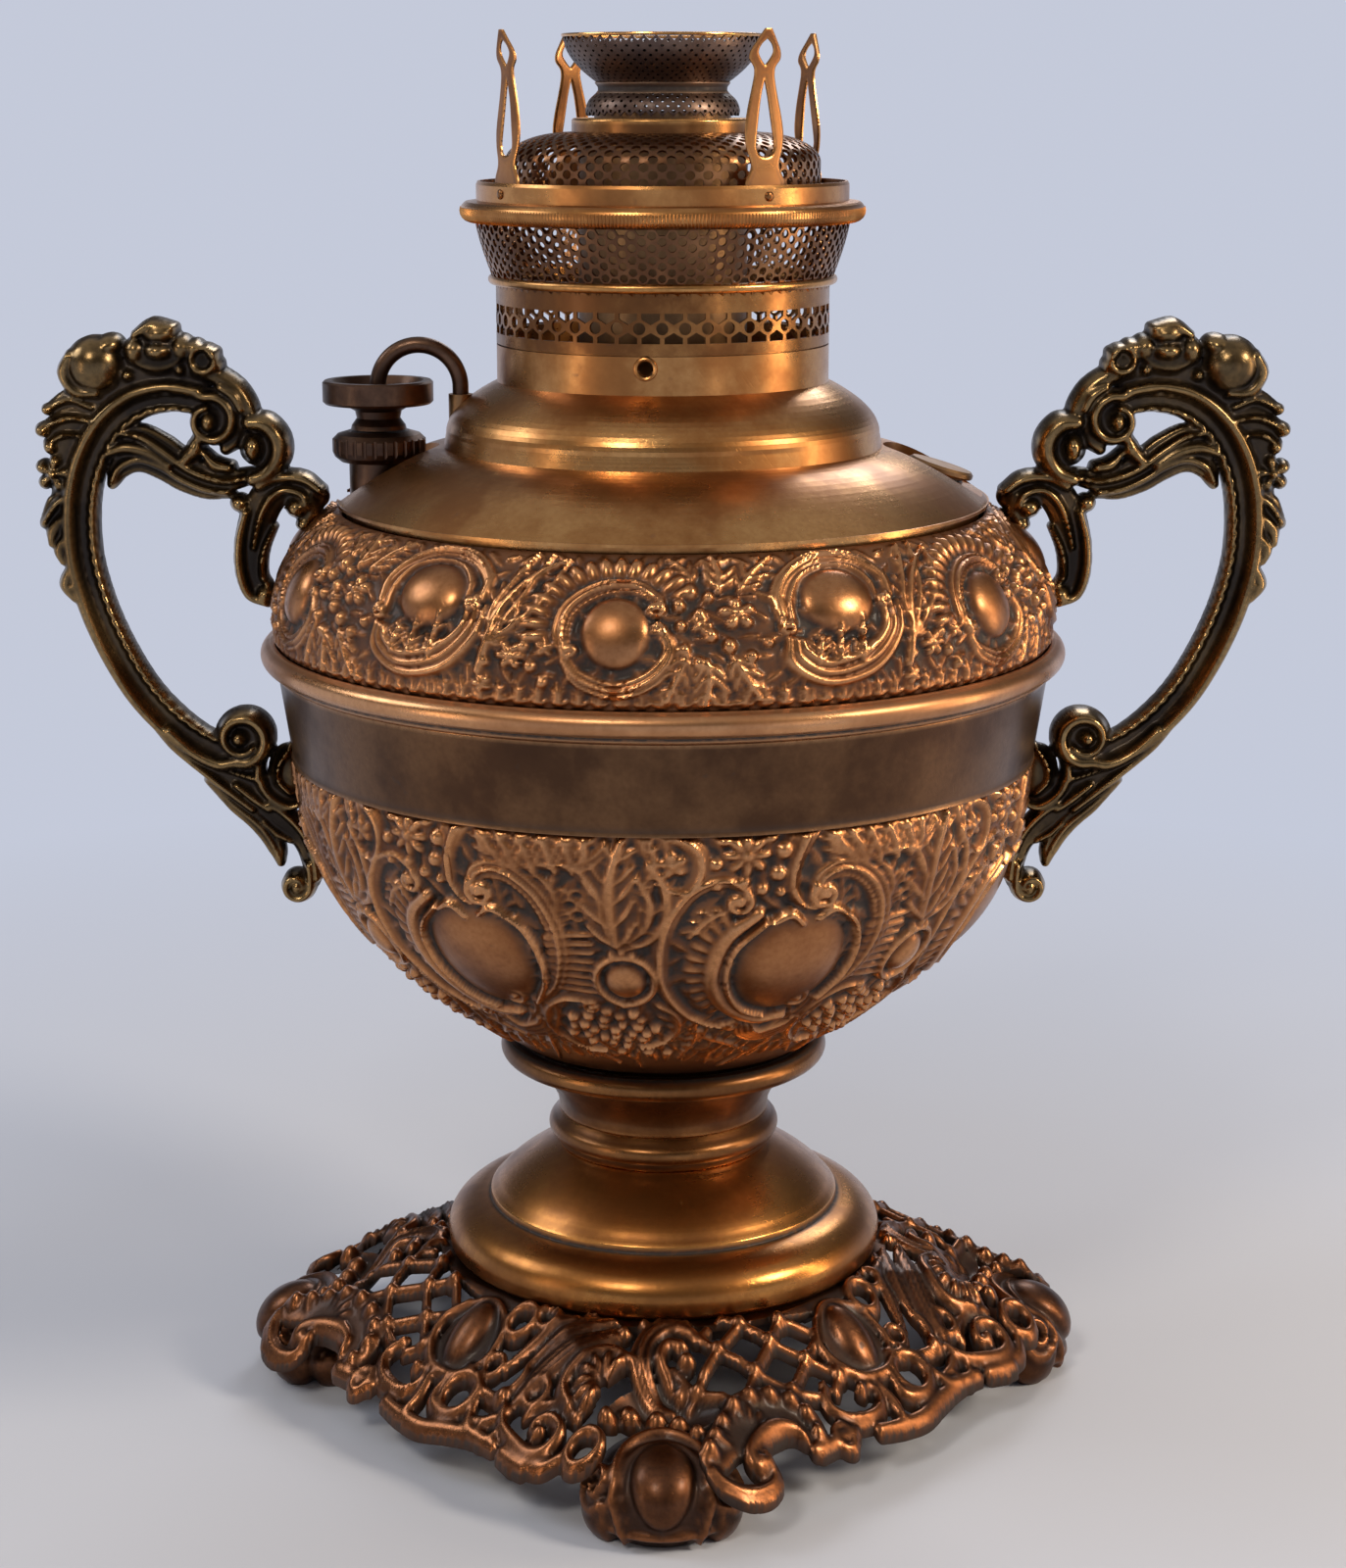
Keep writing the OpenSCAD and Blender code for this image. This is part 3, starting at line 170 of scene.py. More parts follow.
def setUpFloor():
    size = studio["floorSize"] / 2
    mesh = bpy.data.meshes.new("paperFloor")
    mesh.from_pydata([(-size, -size, 0), (size, -size, 0), (size, size, 0), (-size, size, 0)], [], [(0, 1, 2, 3)])
    finish = bpy.data.materials.new("pale_paper")
    finish.use_nodes = True
    tree = finish.node_tree
    shader = tree.nodes["Principled BSDF"]
    shader.inputs["Roughness"].default_value = 0.8
    place = addNode(tree, "ShaderNodeTexCoord").outputs["Object"]
    cloud = noiseNode(tree, place, 9.0, 3)
    tint = mixNode(tree, cloud, tuple(0.96 * c for c in studio["floorColour"]), studio["floorColour"])
    wire(tree, tint, shader.inputs["Base Color"])
    # far from the lamp the paper is seen at a steady pale level
    glow = addNode(tree, "ShaderNodeEmission")
    glow.inputs["Color"].default_value = (*studio["farColour"], 1)
    away = addNode(tree, "ShaderNodeVectorMath", operation="LENGTH")
    wire(tree, place, away.inputs[0])
    far = rangeNode(tree, away.outputs["Value"], studio["fadeFrom"], studio["fadeTo"])
    path = addNode(tree, "ShaderNodeLightPath")
    seen = mathNode(tree, "ADD", path.outputs["Is Camera Ray"], path.outputs["Is Glossy Ray"], clamp=True)
    seen = mathNode(tree, "ADD", seen, path.outputs["Is Transmission Ray"], clamp=True)
    mix = addNode(tree, "ShaderNodeMixShader")
    wire(tree, mathNode(tree, "MULTIPLY", far, seen), mix.inputs[0])
    wire(tree, shader.outputs[0], mix.inputs[1])
    wire(tree, glow.outputs[0], mix.inputs[2])
    wire(tree, mix.outputs[0], tree.nodes["Material Output"].inputs["Surface"])
    mesh.materials.append(finish)
    floor = bpy.data.objects.new("paperFloor", mesh)
    bpy.context.scene.collection.objects.link(floor)


setUpCamera()
setUpLamps()
setUpWorld()
setUpFloor()
print("studio is set up")


# finishes: one group for aged metal, placed in each metal with its own values

def newGroup(name, inputs, outputs):
    group = bpy.data.node_groups.new(name, "ShaderNodeTree")
    for label, kind, value in inputs:
        socket = group.interface.new_socket(label, in_out="INPUT", socket_type=kind)
        if value is not None:
            socket.default_value = value
    for label, kind in outputs:
        group.interface.new_socket(label, in_out="OUTPUT", socket_type=kind)
    return group, addNode(group, "NodeGroupInput").outputs, addNode(group, "NodeGroupOutput").inputs


def makeAgedMetal():
    group, given, result = newGroup(
        "agedMetal",
        [("Place", "NodeSocketVector", None), ("Main", "NodeSocketColor", (0.5, 0.3, 0.15, 1)),
         ("Dark", "NodeSocketColor", (0.1, 0.05, 0.03, 1)), ("Bright", "NodeSocketColor", (0.9, 0.5, 0.3, 1)),
         ("Wear", "NodeSocketFloat", 0.0), ("GrimeAndShade", "NodeSocketFloat", 0.0), ("Blotch", "NodeSocketFloat", 0.5),
         ("Spin", "NodeSocketFloat", 1.0), ("Dullness", "NodeSocketFloat", 0.3)],
        [("Color", "NodeSocketColor"), ("Roughness", "NodeSocketFloat"), ("Metal", "NodeSocketFloat"), ("Height", "NodeSocketFloat")])
    place = given["Place"]
    split = addNode(group, "ShaderNodeSeparateXYZ")
    wire(group, place, split.inputs[0])
    flat = addNode(group, "ShaderNodeCombineXYZ")
    wire(group, split.outputs["X"], flat.inputs["X"])
    wire(group, split.outputs["Y"], flat.inputs["Y"])
    radius = addNode(group, "ShaderNodeVectorMath", operation="LENGTH")
    wire(group, flat.outputs[0], radius.inputs[0])
    # fine turning lines that run round the axis
    ring = addNode(group, "ShaderNodeCombineXYZ")
    wire(group, mathNode(group, "MULTIPLY", radius.outputs["Value"], 2600.0), ring.inputs["X"])
    wire(group, mathNode(group, "MULTIPLY", split.outputs["Z"], 2600.0), ring.inputs["Y"])
    wire(group, mathNode(group, "MULTIPLY", split.outputs["X"], 25.0), ring.inputs["Z"])
    lines = noiseNode(group, ring.outputs[0], 1.0, 2)
    cloud = noiseNode(group, place, 42.0, 6, 0.62)
    grain = noiseNode(group, place, 950.0, 3)
    spots = noiseNode(group, place, 300.0, 2)
    turned = addNode(group, "ShaderNodeMapping", vector_type="TEXTURE")
    turned.inputs["Rotation"].default_value = (0.5, 0.9, 0.4)
    turned.inputs["Scale"].default_value = (1.0, 0.04, 0.04)
    wire(group, place, turned.inputs["Vector"])
    hairs = rangeNode(group, noiseNode(group, turned.outputs[0], 90.0, 2), 0.60, 0.70)
    patch = rangeNode(group, cloud, 0.42, 0.66)
    dim = mathNode(group, "MULTIPLY", patch, given["Blotch"], clamp=True)
    colour = mixNode(group, dim, given["Main"], given["Dark"])
    polish = mathNode(group, "MULTIPLY", rangeNode(group, cloud, 0.56, 0.36), 0.35)
    polish = mathNode(group, "ADD", given["Wear"], polish, clamp=True)
    polish = mathNode(group, "MULTIPLY", polish, rangeNode(group, grain, 0.25, 0.6, 0.55, 1.0), clamp=True)
    colour = mixNode(group, polish, colour, given["Bright"])
    speck = mathNode(group, "MULTIPLY", rangeNode(group, spots, 0.70, 0.78), given["Blotch"], clamp=True)
    # the Grime input carries grime and painted shade in hollows and creases; with the specks it darkens towards a dark
    # brown
    dirtAndShade = mathNode(group, "MULTIPLY", given["GrimeAndShade"], rangeNode(group, grain, 0.2, 0.6, 0.7, 1.15), clamp=True)
    dirtAndShade = mathNode(group, "MAXIMUM", dirtAndShade, mathNode(group, "MULTIPLY", speck, 0.7))
    colour = mixNode(group, dirtAndShade, colour, (0.030, 0.018, 0.012))
    wire(group, colour, result["Color"])
    rough = mathNode(group, "ADD", given["Dullness"], mathNode(group, "MULTIPLY", patch, 0.12))
    rough = mathNode(group, "ADD", rough, mathNode(group, "MULTIPLY", dirtAndShade, 0.30))
    rough = mathNode(group, "SUBTRACT", rough, mathNode(group, "MULTIPLY", polish, 0.10))
    rough = mathNode(group, "ADD", rough, mathNode(group, "MULTIPLY", lines, 0.06), clamp=True)
    wire(group, rough, result["Roughness"])
    wire(group, mathNode(group, "SUBTRACT", 1.0, mathNode(group, "MULTIPLY", dirtAndShade, 0.7)), result["Metal"])
    height = mathNode(group, "MULTIPLY", mathNode(group, "MULTIPLY", lines, given["Spin"]), 0.5)
    height = mathNode(group, "ADD", height, mathNode(group, "MULTIPLY", grain, 0.35))
    height = mathNode(group, "SUBTRACT", height, mathNode(group, "MULTIPLY", hairs, 0.3))
    wire(group, mathNode(group, "ADD", height, mathNode(group, "MULTIPLY", cloud, 1.2)), result["Height"])
    return group


agedMetal = makeAgedMetal()

metals = {
    # main, dark and bright colour, blotches, turning lines, dullness, depth of the bump in mm
    "galleryBrass": ((0.45, 0.190, 0.054), (0.130, 0.050, 0.016), (0.94, 0.52, 0.19), 0.60, 0.6, 0.24, 0.04),
    "collarBrass": ((0.150, 0.056, 0.016), (0.050, 0.019, 0.007), (0.42, 0.19, 0.06), 0.60, 0.8, 0.26, 0.05),
    "embossedCopper": ((0.225, 0.078, 0.024), (0.066, 0.021, 0.009), (0.60, 0.28, 0.115), 0.55, 0.0, 0.30, 0.05),
    "bandBrass": ((0.095, 0.044, 0.019), (0.046, 0.020, 0.010), (0.30, 0.15, 0.065), 0.60, 0.6, 0.30, 0.05),
    "beadBrass": ((0.44, 0.195, 0.078), (0.180, 0.070, 0.030), (0.85, 0.46, 0.22), 0.45, 0.5, 0.28, 0.04),
    "pedestalBrass": ((0.34, 0.130, 0.030), (0.100, 0.036, 0.011), (0.72, 0.34, 0.09), 0.60, 0.8, 0.24, 0.05),
    "fountBrass": ((0.40, 0.166, 0.046), (0.160, 0.062, 0.019), (0.95, 0.58, 0.23), 0.55, 0.8, 0.25, 0.05),
    "castBronze": ((0.046, 0.019, 0.010), (0.012, 0.006, 0.005), (0.25, 0.094, 0.036), 0.65, 0.0, 0.31, 0.10),
    "handleBronze": ((0.026, 0.018, 0.011), (0.008, 0.006, 0.005), (0.31, 0.195, 0.080), 0.60, 0.0, 0.25, 0.07),
    "raiserBronze": ((0.085, 0.045, 0.028), (0.024, 0.015, 0.012), (0.34, 0.18, 0.10), 0.60, 0.0, 0.36, 0.07),
    "burnerBrass": ((0.22, 0.086, 0.024), (0.075, 0.030, 0.010), (0.86, 0.44, 0.14), 0.60, 0.6, 0.24, 0.04),
    "piercedBrass": ((0.20, 0.088, 0.038), (0.055, 0.026, 0.015), (0.62, 0.32, 0.13), 0.65, 0.0, 0.28, 0.04),
    "sootedBrass": ((0.115, 0.072, 0.058), (0.018, 0.016, 0.020), (0.36, 0.23, 0.15), 0.80, 0.0, 0.40, 0.05),
    "prongCopper": ((0.36, 0.140, 0.040), (0.120, 0.045, 0.015), (0.80, 0.38, 0.12), 0.50, 0.0, 0.25, 0.04),
    "innerBrass": ((0.26, 0.140, 0.060), (0.090, 0.048, 0.024), (0.60, 0.36, 0.17), 0.60, 0.5, 0.36, 0.05),
}


def makeMetal(name):
    main, dark, bright, blotch, spin, dull, depth = metals[name]
    finish = bpy.data.materials.new(name)
    finish.use_nodes = True
    tree = finish.node_tree
    shader = tree.nodes["Principled BSDF"]
    shader.inputs["Coat Weight"].default_value = 0.15  # old lacquer
    shader.inputs["Coat Roughness"].default_value = 0.22
    group = addNode(tree, "ShaderNodeGroup", node_tree=agedMetal)
    wire(tree, addNode(tree, "ShaderNodeTexCoord").outputs["Object"], group.inputs["Place"])
    for label, colour in (("Main", main), ("Dark", dark), ("Bright", bright)):
        group.inputs[label].default_value = (*colour, 1)
    for label, value in (("Blotch", blotch), ("Spin", spin), ("Dullness", dull)):
        group.inputs[label].default_value = value
    # the grime attribute holds grime and painted shade in hollows; wear is real rubbed edges
    for label, attribute in (("Wear", "wear"), ("GrimeAndShade", "grimeAndShade")):
        wire(tree, addNode(tree, "ShaderNodeAttribute", attribute_name=attribute).outputs["Fac"], group.inputs[label])
    wire(tree, group.outputs["Color"], shader.inputs["Base Color"])
    wire(tree, group.outputs["Roughness"], shader.inputs["Roughness"])
    wire(tree, group.outputs["Metal"], shader.inputs["Metallic"])
    bump = addNode(tree, "ShaderNodeBump")
    bump.inputs["Strength"].default_value = 0.6
    bump.inputs["Distance"].default_value = depth * mm
    wire(tree, group.outputs["Height"], bump.inputs["Height"])
    wire(tree, bump.outputs[0], shader.inputs["Normal"])
    return finish


def makeSoft(name, light, dark, scale, dull, depth):
    finish = bpy.data.materials.new(name)
    finish.use_nodes = True
    tree = finish.node_tree
    shader = tree.nodes["Principled BSDF"]
    shader.inputs["Roughness"].default_value = dull
    place = addNode(tree, "ShaderNodeTexCoord").outputs["Object"]
    weave = addNode(tree, "ShaderNodeTexWave", wave_type="BANDS", bands_direction="Z")
    weave.inputs["Scale"].default_value = scale
    weave.inputs["Distortion"].default_value = 3.0
    wire(tree, place, weave.inputs["Vector"])
    threads = mathNode(tree, "MULTIPLY", weave.outputs["Fac"], noiseNode(tree, place, scale * 2, 3))
    wire(tree, mixNode(tree, threads, dark, light), shader.inputs["Base Color"])
    bump = addNode(tree, "ShaderNodeBump")
    bump.inputs["Distance"].default_value = depth * mm
    wire(tree, threads, bump.inputs["Height"])
    wire(tree, bump.outputs[0], shader.inputs["Normal"])
    return finish


finishes = {name: makeMetal(name) for name in metals}
finishes["wovenWick"] = makeSoft("wovenWick", (0.72, 0.66, 0.52), (0.34, 0.28, 0.20), 700.0, 0.9, 0.2)
finishes["leather"] = makeSoft("leather", (0.16, 0.09, 0.05), (0.05, 0.03, 0.02), 900.0, 0.7, 0.05)
print("finishes are made")


# shared ways of making a piece

def settle(piece, body, stands):
    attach(piece, body)
    if stands:
        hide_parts(*stands)
    return piece


def makePiece(name, points, faces, finish, body, stands=(), marks=None, crease=35):
    mesh = bpy.data.meshes.new(name)
    mesh.from_pydata((np.asarray(points, float) * mm).tolist(), [], faces)
    for label, values in (marks or {}).items():
        mesh.attributes.new(label, "FLOAT", "POINT").data.foreach_set("value", np.asarray(values, np.float32))
    mesh.materials.append(finishes[finish])
    mesh.shade_smooth()
    mesh.set_sharp_from_angle(angle=math.radians(crease))
    piece = bpy.data.objects.new(name, mesh)
    bpy.context.scene.collection.objects.link(piece)
    return settle(piece, body, stands)


def bodyOf(node):
    return next(b for b, members in frame["record"]["behaviour"]["bodies"].items() if node in members)


def lerp(a, b, t):
    return a + (b - a) * t


def arcPoints(cx, cz, r, a0, a1, n=10):
    a = np.radians(np.linspace(a0, a1, n + 1))
    return [(cx + r * math.cos(q), cz + r * math.sin(q)) for q in a]


def earlyCurve(r0, z0, r1, z1, bend, n=24):
    return [(lerp(r0, r1, 1 - (1 - u) ** bend), lerp(z0, z1, u)) for u in np.linspace(0, 1, n + 1)]


def lateCurve(r0, z0, r1, z1, bend, n=24):
    return [(lerp(r0, r1, u ** bend), lerp(z0, z1, u)) for u in np.linspace(0, 1, n + 1)]


def smoothPath(points, steps=6):
    p = np.array(points, float)
    a = np.vstack([2 * p[0] - p[1], p, 2 * p[-1] - p[-2]])
    t = np.linspace(0, 1, steps, endpoint=False)[:, None]
    rows = []
    for i in range(len(p) - 1):
        q0, q1, q2, q3 = a[i:i + 4]
        rows.append(0.5 * (2 * q1 + (q2 - q0) * t + (2 * q0 - 5 * q1 + 4 * q2 - q3) * t ** 2
                           + (3 * q1 - q0 - 3 * q2 + q3) * t ** 3))
    return np.vstack(rows + [p[-1:]])


def tangents(path):
    p = np.array(path, float)
    d = np.gradient(p, axis=0)
    return d / np.maximum(np.hypot(d[:, 0], d[:, 1]), 1e-9)[:, None]


def shifted(path, distance):
    d = tangents(path)
    return np.array(path, float) + distance * np.c_[-d[:, 1], d[:, 0]]


def sheetOutline(path, wall):
    # a sheet of even thickness: the path runs upwards on its outer side
    return np.vstack([path, shifted(path, wall)[::-1]])


def easedLoop(loop, radius):
    # rounds the sharp corners of a closed outline
    p = np.array(loop, float)
    p = p[np.hypot(*(p - np.roll(p, 1, 0)).T) > 1e-6]
    rounded = []
    for i in range(len(p)):
        a, b, c = p[i - 1], p[i], p[(i + 1) % len(p)]
        u, v = a - b, c - b
        lu, lv = np.hypot(*u), np.hypot(*v)
        turn = math.degrees(math.acos(np.clip(-(u @ v) / (lu * lv), -1, 1)))
        if turn < 24:
            rounded.append(b)
            continue
        reach = min(radius, 0.4 * lu, 0.4 * lv)
        start, end = b + u / lu * reach, b + v / lv * reach
        for t in (0, 0.25, 0.5, 0.75, 1):
            rounded.append((1 - t) ** 2 * start + 2 * t * (1 - t) * b + t * t * end)
    return np.array(rounded)


def resampledLoop(loop, step):
    rows = []
    for a, b in zip(loop, np.roll(loop, -1, 0)):
        n = max(1, int(math.ceil(np.hypot(*(b - a)) / step)))
        rows += [a + (b - a) * k / n for k in range(n)]
    return np.array(rows)


def bendMarks(loop):
    # wear on the edges that stand out; grime and painted shade in the ones that lie in
    before, after = loop - np.roll(loop, 1, 0), np.roll(loop, -1, 0) - loop
    turn = np.arctan2(before[:, 0] * after[:, 1] - before[:, 1] * after[:, 0], (before * after).sum(1))
    x, y = loop.T
    sense = 1 if (x * np.roll(y, -1) - np.roll(x, -1) * y).sum() > 0 else -1
    turn = turn * sense
    run = np.hypot(*after.T)
    s = np.concatenate([[0], np.cumsum(run)])
    total, s = s[-1], s[:-1]
    wear, grimeAndShade = np.zeros(len(loop)), np.zeros(len(loop))
    for k in np.nonzero(np.abs(turn) > 0.05)[0]:
        gap = np.abs(s - s[k])
        gap = np.minimum(gap, total - gap)
        if turn[k] > 0:
            wear += turn[k] * np.exp(-(gap / 0.35) ** 2)
        else:
            grimeAndShade += -turn[k] * np.exp(-(gap / 0.7) ** 2)
    return np.clip(wear * 0.7, 0, 0.9), np.clip(grimeAndShade * 0.9, 0, 1)


def turnedPiece(name, outline, finish, stands, body, columns=144, soft=0.25, step=0.8, centre=(0, 0), crease=40):
    # a closed outline (radius, height) turned round an upright axis
    loop = resampledLoop(easedLoop(outline, soft), step)
    x, y = loop.T
    if (x * np.roll(y, -1) - np.roll(x, -1) * y).sum() < 0:
        loop = loop[::-1]
    wear, grimeAndShade = bendMarks(loop)
    n = len(loop)
    a = np.linspace(0, 2 * math.pi, columns, endpoint=False)
    points = np.stack([centre[0] + np.outer(np.cos(a), loop[:, 0]), centre[1] + np.outer(np.sin(a), loop[:, 0]),
                       np.tile(loop[:, 1], (columns, 1))], 2).reshape(-1, 3)
    faces = []
    for j in range(columns):
        k = (j + 1) % columns
        for i in range(n):
            m = (i + 1) % n
            faces.append((j * n + i, k * n + i, k * n + m, j * n + m))
    marks = {"wear": np.tile(wear, columns), "grimeAndShade": np.tile(grimeAndShade, columns)}
    return makePiece(name, points, faces, finish, body, stands, marks, crease)


def smoothCopy(name, node, finish, slotName, bevel=0.0, crease=30):
    # the node's own shape with smooth shading and softened edges
    import bmesh
    source = frame["nodes"][node]
    shape = bmesh.new()
    shape.from_mesh(source.data)
    bmesh.ops.remove_doubles(shape, verts=shape.verts, dist=2e-6)
    bmesh.ops.dissolve_limit(shape, angle_limit=math.radians(0.6), verts=shape.verts, edges=shape.edges)
    mesh = bpy.data.meshes.new(name)
    shape.to_mesh(mesh)
    shape.free()
    mesh.materials.clear()
    mesh.materials.append(finishes[finish])
    piece = bpy.data.objects.new(name, mesh)
    bpy.context.scene.collection.objects.link(piece)
    if bevel:
        edge = piece.modifiers.new("softEdge", "BEVEL")
        edge.width = bevel * mm
        edge.segments = 2
        edge.limit_method = "ANGLE"
        edge.angle_limit = math.radians(35)
        shape = bpy.data.meshes.new_from_object(piece.evaluated_get(bpy.context.evaluated_depsgraph_get()))
        piece.modifiers.clear()
        piece.data = shape
        mesh = shape
    mesh.shade_smooth()
    mesh.set_sharp_from_angle(angle=math.radians(crease))
    return settle(piece, bodyOf(node), (node,))


# relief: a field of heights that rounded strokes, bosses and leaves raise

def newCanvas(x0, x1, y0, y1, step):
    nx, ny = int(round((x1 - x0) / step)) + 1, int(round((y1 - y0) / step)) + 1
    return {"x": np.linspace(x0, x1, nx), "y": np.linspace(y0, y1, ny), "h": np.zeros((ny, nx)), "inside": np.full((ny, nx), -1.0)}


def patchUnder(canvas, x0, x1, y0, y1):
    i = np.searchsorted(canvas["x"], [x0, x1])
    j = np.searchsorted(canvas["y"], [y0, y1])
    X, Y = np.meshgrid(canvas["x"][i[0]:i[1]], canvas["y"][j[0]:j[1]])
    return (slice(*j), slice(*i)), X, Y


def lift(canvas, where, h, inside):
    canvas["h"][where] = np.maximum(canvas["h"][where], np.where(inside > 0, h, 0))
    canvas["inside"][where] = np.maximum(canvas["inside"][where], inside)


def rim(canvas, points, widths, height, reeds=0, beads=0, twist=0, power=0.5):
    # a rounded stroke along a path; reeds run along it, beads notch its inner side, twist makes a rope of it
    p = smoothPath(points)
    w = np.interp(np.linspace(0, 1, len(p)), np.linspace(0, 1, len(widths)), widths)
    far = w.max() * 1.3 + 0.4
    lo, hi = p.min(0) - far, p.max(0) + far
    where, X, Y = patchUnder(canvas, lo[0], hi[0], lo[1], hi[1])
    if not X.size:
        return
    q, side, along, run = np.full(X.shape, 9.0), np.zeros(X.shape), np.zeros(X.shape), 0.0
    for a, b, wa, wb in zip(p[:-1], p[1:], w[:-1], w[1:]):
        d = b - a
        size = math.hypot(*d) + 1e-9
        i = np.searchsorted(X[0], [min(a[0], b[0]) - far, max(a[0], b[0]) + far])
        j = np.searchsorted(Y[:, 0], [min(a[1], b[1]) - far, max(a[1], b[1]) + far])
        s = (slice(*j), slice(*i))
        dx, dy = X[s] - a[0], Y[s] - a[1]
        t = np.clip((dx * d[0] + dy * d[1]) / size ** 2, 0, 1)
        share = np.hypot(dx - t * d[0], dy - t * d[1]) / np.maximum(wa + (wb - wa) * t, 0.05)
        near = share < q[s]
        q[s] = np.where(near, share, q[s])
        side[s] = np.where(near, np.sign(d[0] * dy - d[1] * dx) * share, side[s])
        along[s] = np.where(near, run + t * size, along[s])
        run += size
    h = np.clip(1 - q * q, 0, 1) ** power
    if reeds:
        h = h * (0.72 + 0.28 * np.cos(math.pi * reeds * side))
    if beads:
        h = h * (1 - 0.4 * (0.5 + 0.5 * np.cos(2 * math.pi * along / beads)) * np.clip(-2 * side, 0, 1))
    if twist:
        h = h * (0.70 + 0.30 * np.abs(np.cos(math.pi * (along / twist + 0.55 * side))) ** 0.7)
    lift(canvas, where, height * h, np.clip((1 - q) * w.mean(), -1, 9))


def boss(canvas, x, y, rx, ry, height, power=0.5, turn=0.0):
    far = max(rx, ry) + 0.8
    where, X, Y = patchUnder(canvas, x - far, x + far, y - far, y + far)
    c, s = math.cos(math.radians(turn)), math.sin(math.radians(turn))
    u, v = ((X - x) * c + (Y - y) * s) / rx, ((Y - y) * c - (X - x) * s) / ry
    k = u * u + v * v
    lift(canvas, where, height * np.clip(1 - k, 0, 1) ** power, np.clip((1 - np.sqrt(k)) * min(rx, ry), -1, 9))


def curl(canvas, x, y, r, turn, height, start):
    # a volute that winds into a ball
    t = np.linspace(0, 1, 9)
    a = start + turn * t * 7.5
    q = r * (1 - 0.7 * t)
    rim(canvas, np.c_[x + q * np.cos(a), y + q * np.sin(a)], [0.34 * r, 0.26 * r], height)
    boss(canvas, x, y, 0.4 * r, 0.4 * r, 1.2 * height)


def acanthus(canvas, points, width, height, lobes=4):
    # a leaf: broad curved lobes in pairs off a midrib
    p = smoothPath(points, 8)
    for i in range(lobes):
        t = (i + 0.2) / lobes
        k = int(t * (len(p) - 2))
        d = p[k + 1] - p[k]
        d = d / (math.hypot(*d) + 1e-9)
        reach = width * (0.45 + 0.55 * math.sin(math.pi * min(1, 0.3 + 0.75 * t)))
        for s in (-1, 1):
            n = np.array([-d[1], d[0]]) * s
            a, b, c = p[k], p[k] + reach * (0.5 * n + 0.5 * d), p[k] + reach * (0.95 * n + 1.15 * d)
            rim(canvas, [a, b, c], [0.16 * reach, 0.4 * reach, 0.16 * reach], height * (1 - 0.3 * t), reeds=2)
    rim(canvas, p[::4], [0.2 * width, 0.3 * width, 0.14 * width], 0.9 * height)


def tongues(canvas, place, spots, size, height, seed):
    # small leaf tips that fill the ground; each spot is a place and the angle the tips point at
    draw = np.random.default_rng(seed)
    for x, y, angle in spots:
        a = math.radians(angle + draw.normal(0, 26))
        q = size * draw.uniform(0.75, 1.25)
        p = np.array(place(x, y))
        d, n = np.array([math.cos(a), math.sin(a)]), np.array([-math.sin(a), math.cos(a)])
        bend = draw.uniform(-0.4, 0.4) * q
        rim(canvas, [p - 0.6 * q * d, p + bend * 0.5 * n, p + 0.9 * q * d + bend * n], [0.3 * q, 0.42 * q, 0.12 * q],
            height * draw.uniform(0.7, 1.1), reeds=2)


def flutes(canvas, x, y, r0, r1, a0, a1, count, height, sx=1.0, sy=1.0):
    # rounded flutes that spread from a centre, in degrees from a0 to a1
    where, X, Y = patchUnder(canvas, x - r1 * sx, x + r1 * sx, y - r1 * sy, y + r1 * sy)
    u, v = (X - x) / sx, (Y - y) / sy
    share = (np.degrees(np.arctan2(v, u)) - a0) % 360 / (a1 - a0)
    ridge = np.abs(np.sin(math.pi * share * count)) ** 0.6
    reach = r1 * (0.88 + 0.12 * ridge) - r0
    k = (np.hypot(u, v) - r0) / reach
    inside = (share < 1) & (k > 0) & (k < 1)
    body = np.sin(math.pi * np.clip(k, 0, 1) ** 1.3) ** 0.45
    lift(canvas, where, height * (0.2 + 0.8 * ridge) * body, np.where(inside, np.minimum(k, 1 - k) * reach + 0.01, -1.0))


def flower(canvas, x, y, r, petals, height, turn=0.0):
    where, X, Y = patchUnder(canvas, x - r - 0.6, x + r + 0.6, y - r - 0.6, y + r + 0.6)
    q = np.hypot(X - x, Y - y) / r
    c = np.abs(np.cos(petals * (np.arctan2(Y - y, X - x) - turn) / 2))
    reach = 0.42 + 0.58 * c ** 0.5
    k = np.clip(q / reach, 0, 1)
    petal = np.sqrt(np.clip(1 - (2 * k - 1) ** 2, 0, 1)) * (0.5 + 0.5 * c)
    heart = np.sqrt(np.clip(1 - (q / 0.3) ** 2, 0, 1))
    lift(canvas, where, height * np.maximum(0.85 * petal, heart), np.clip((reach - q) * r, -1, 9))


def blurred(h, sigma, wrap):
    # rounds the edges, as pressed sheet has them
    n = max(1, int(3 * sigma + 0.5))
    k = np.exp(-0.5 * (np.arange(-n, n + 1) / sigma) ** 2)
    k /= k.sum()
    for axis in (0, 1):
        pad = [(n, n) if a == axis else (0, 0) for a in (0, 1)]
        p = np.pad(h, pad, mode="wrap" if wrap and axis else "edge")
        h = sum(w * np.take(p, range(i, i + h.shape[axis]), axis) for i, w in enumerate(k))
    return h


# embossed lower bowl

bowlLook = {"repeats": 7, "step": 0.42, "length": 77.4, "mid": -6.0, "drawnPeriod": 53.5, "wide": 1.22, "soft": 0.5,
            "recess": 1.35, "wall": 0.9, "groups": (3, 2, 2)}


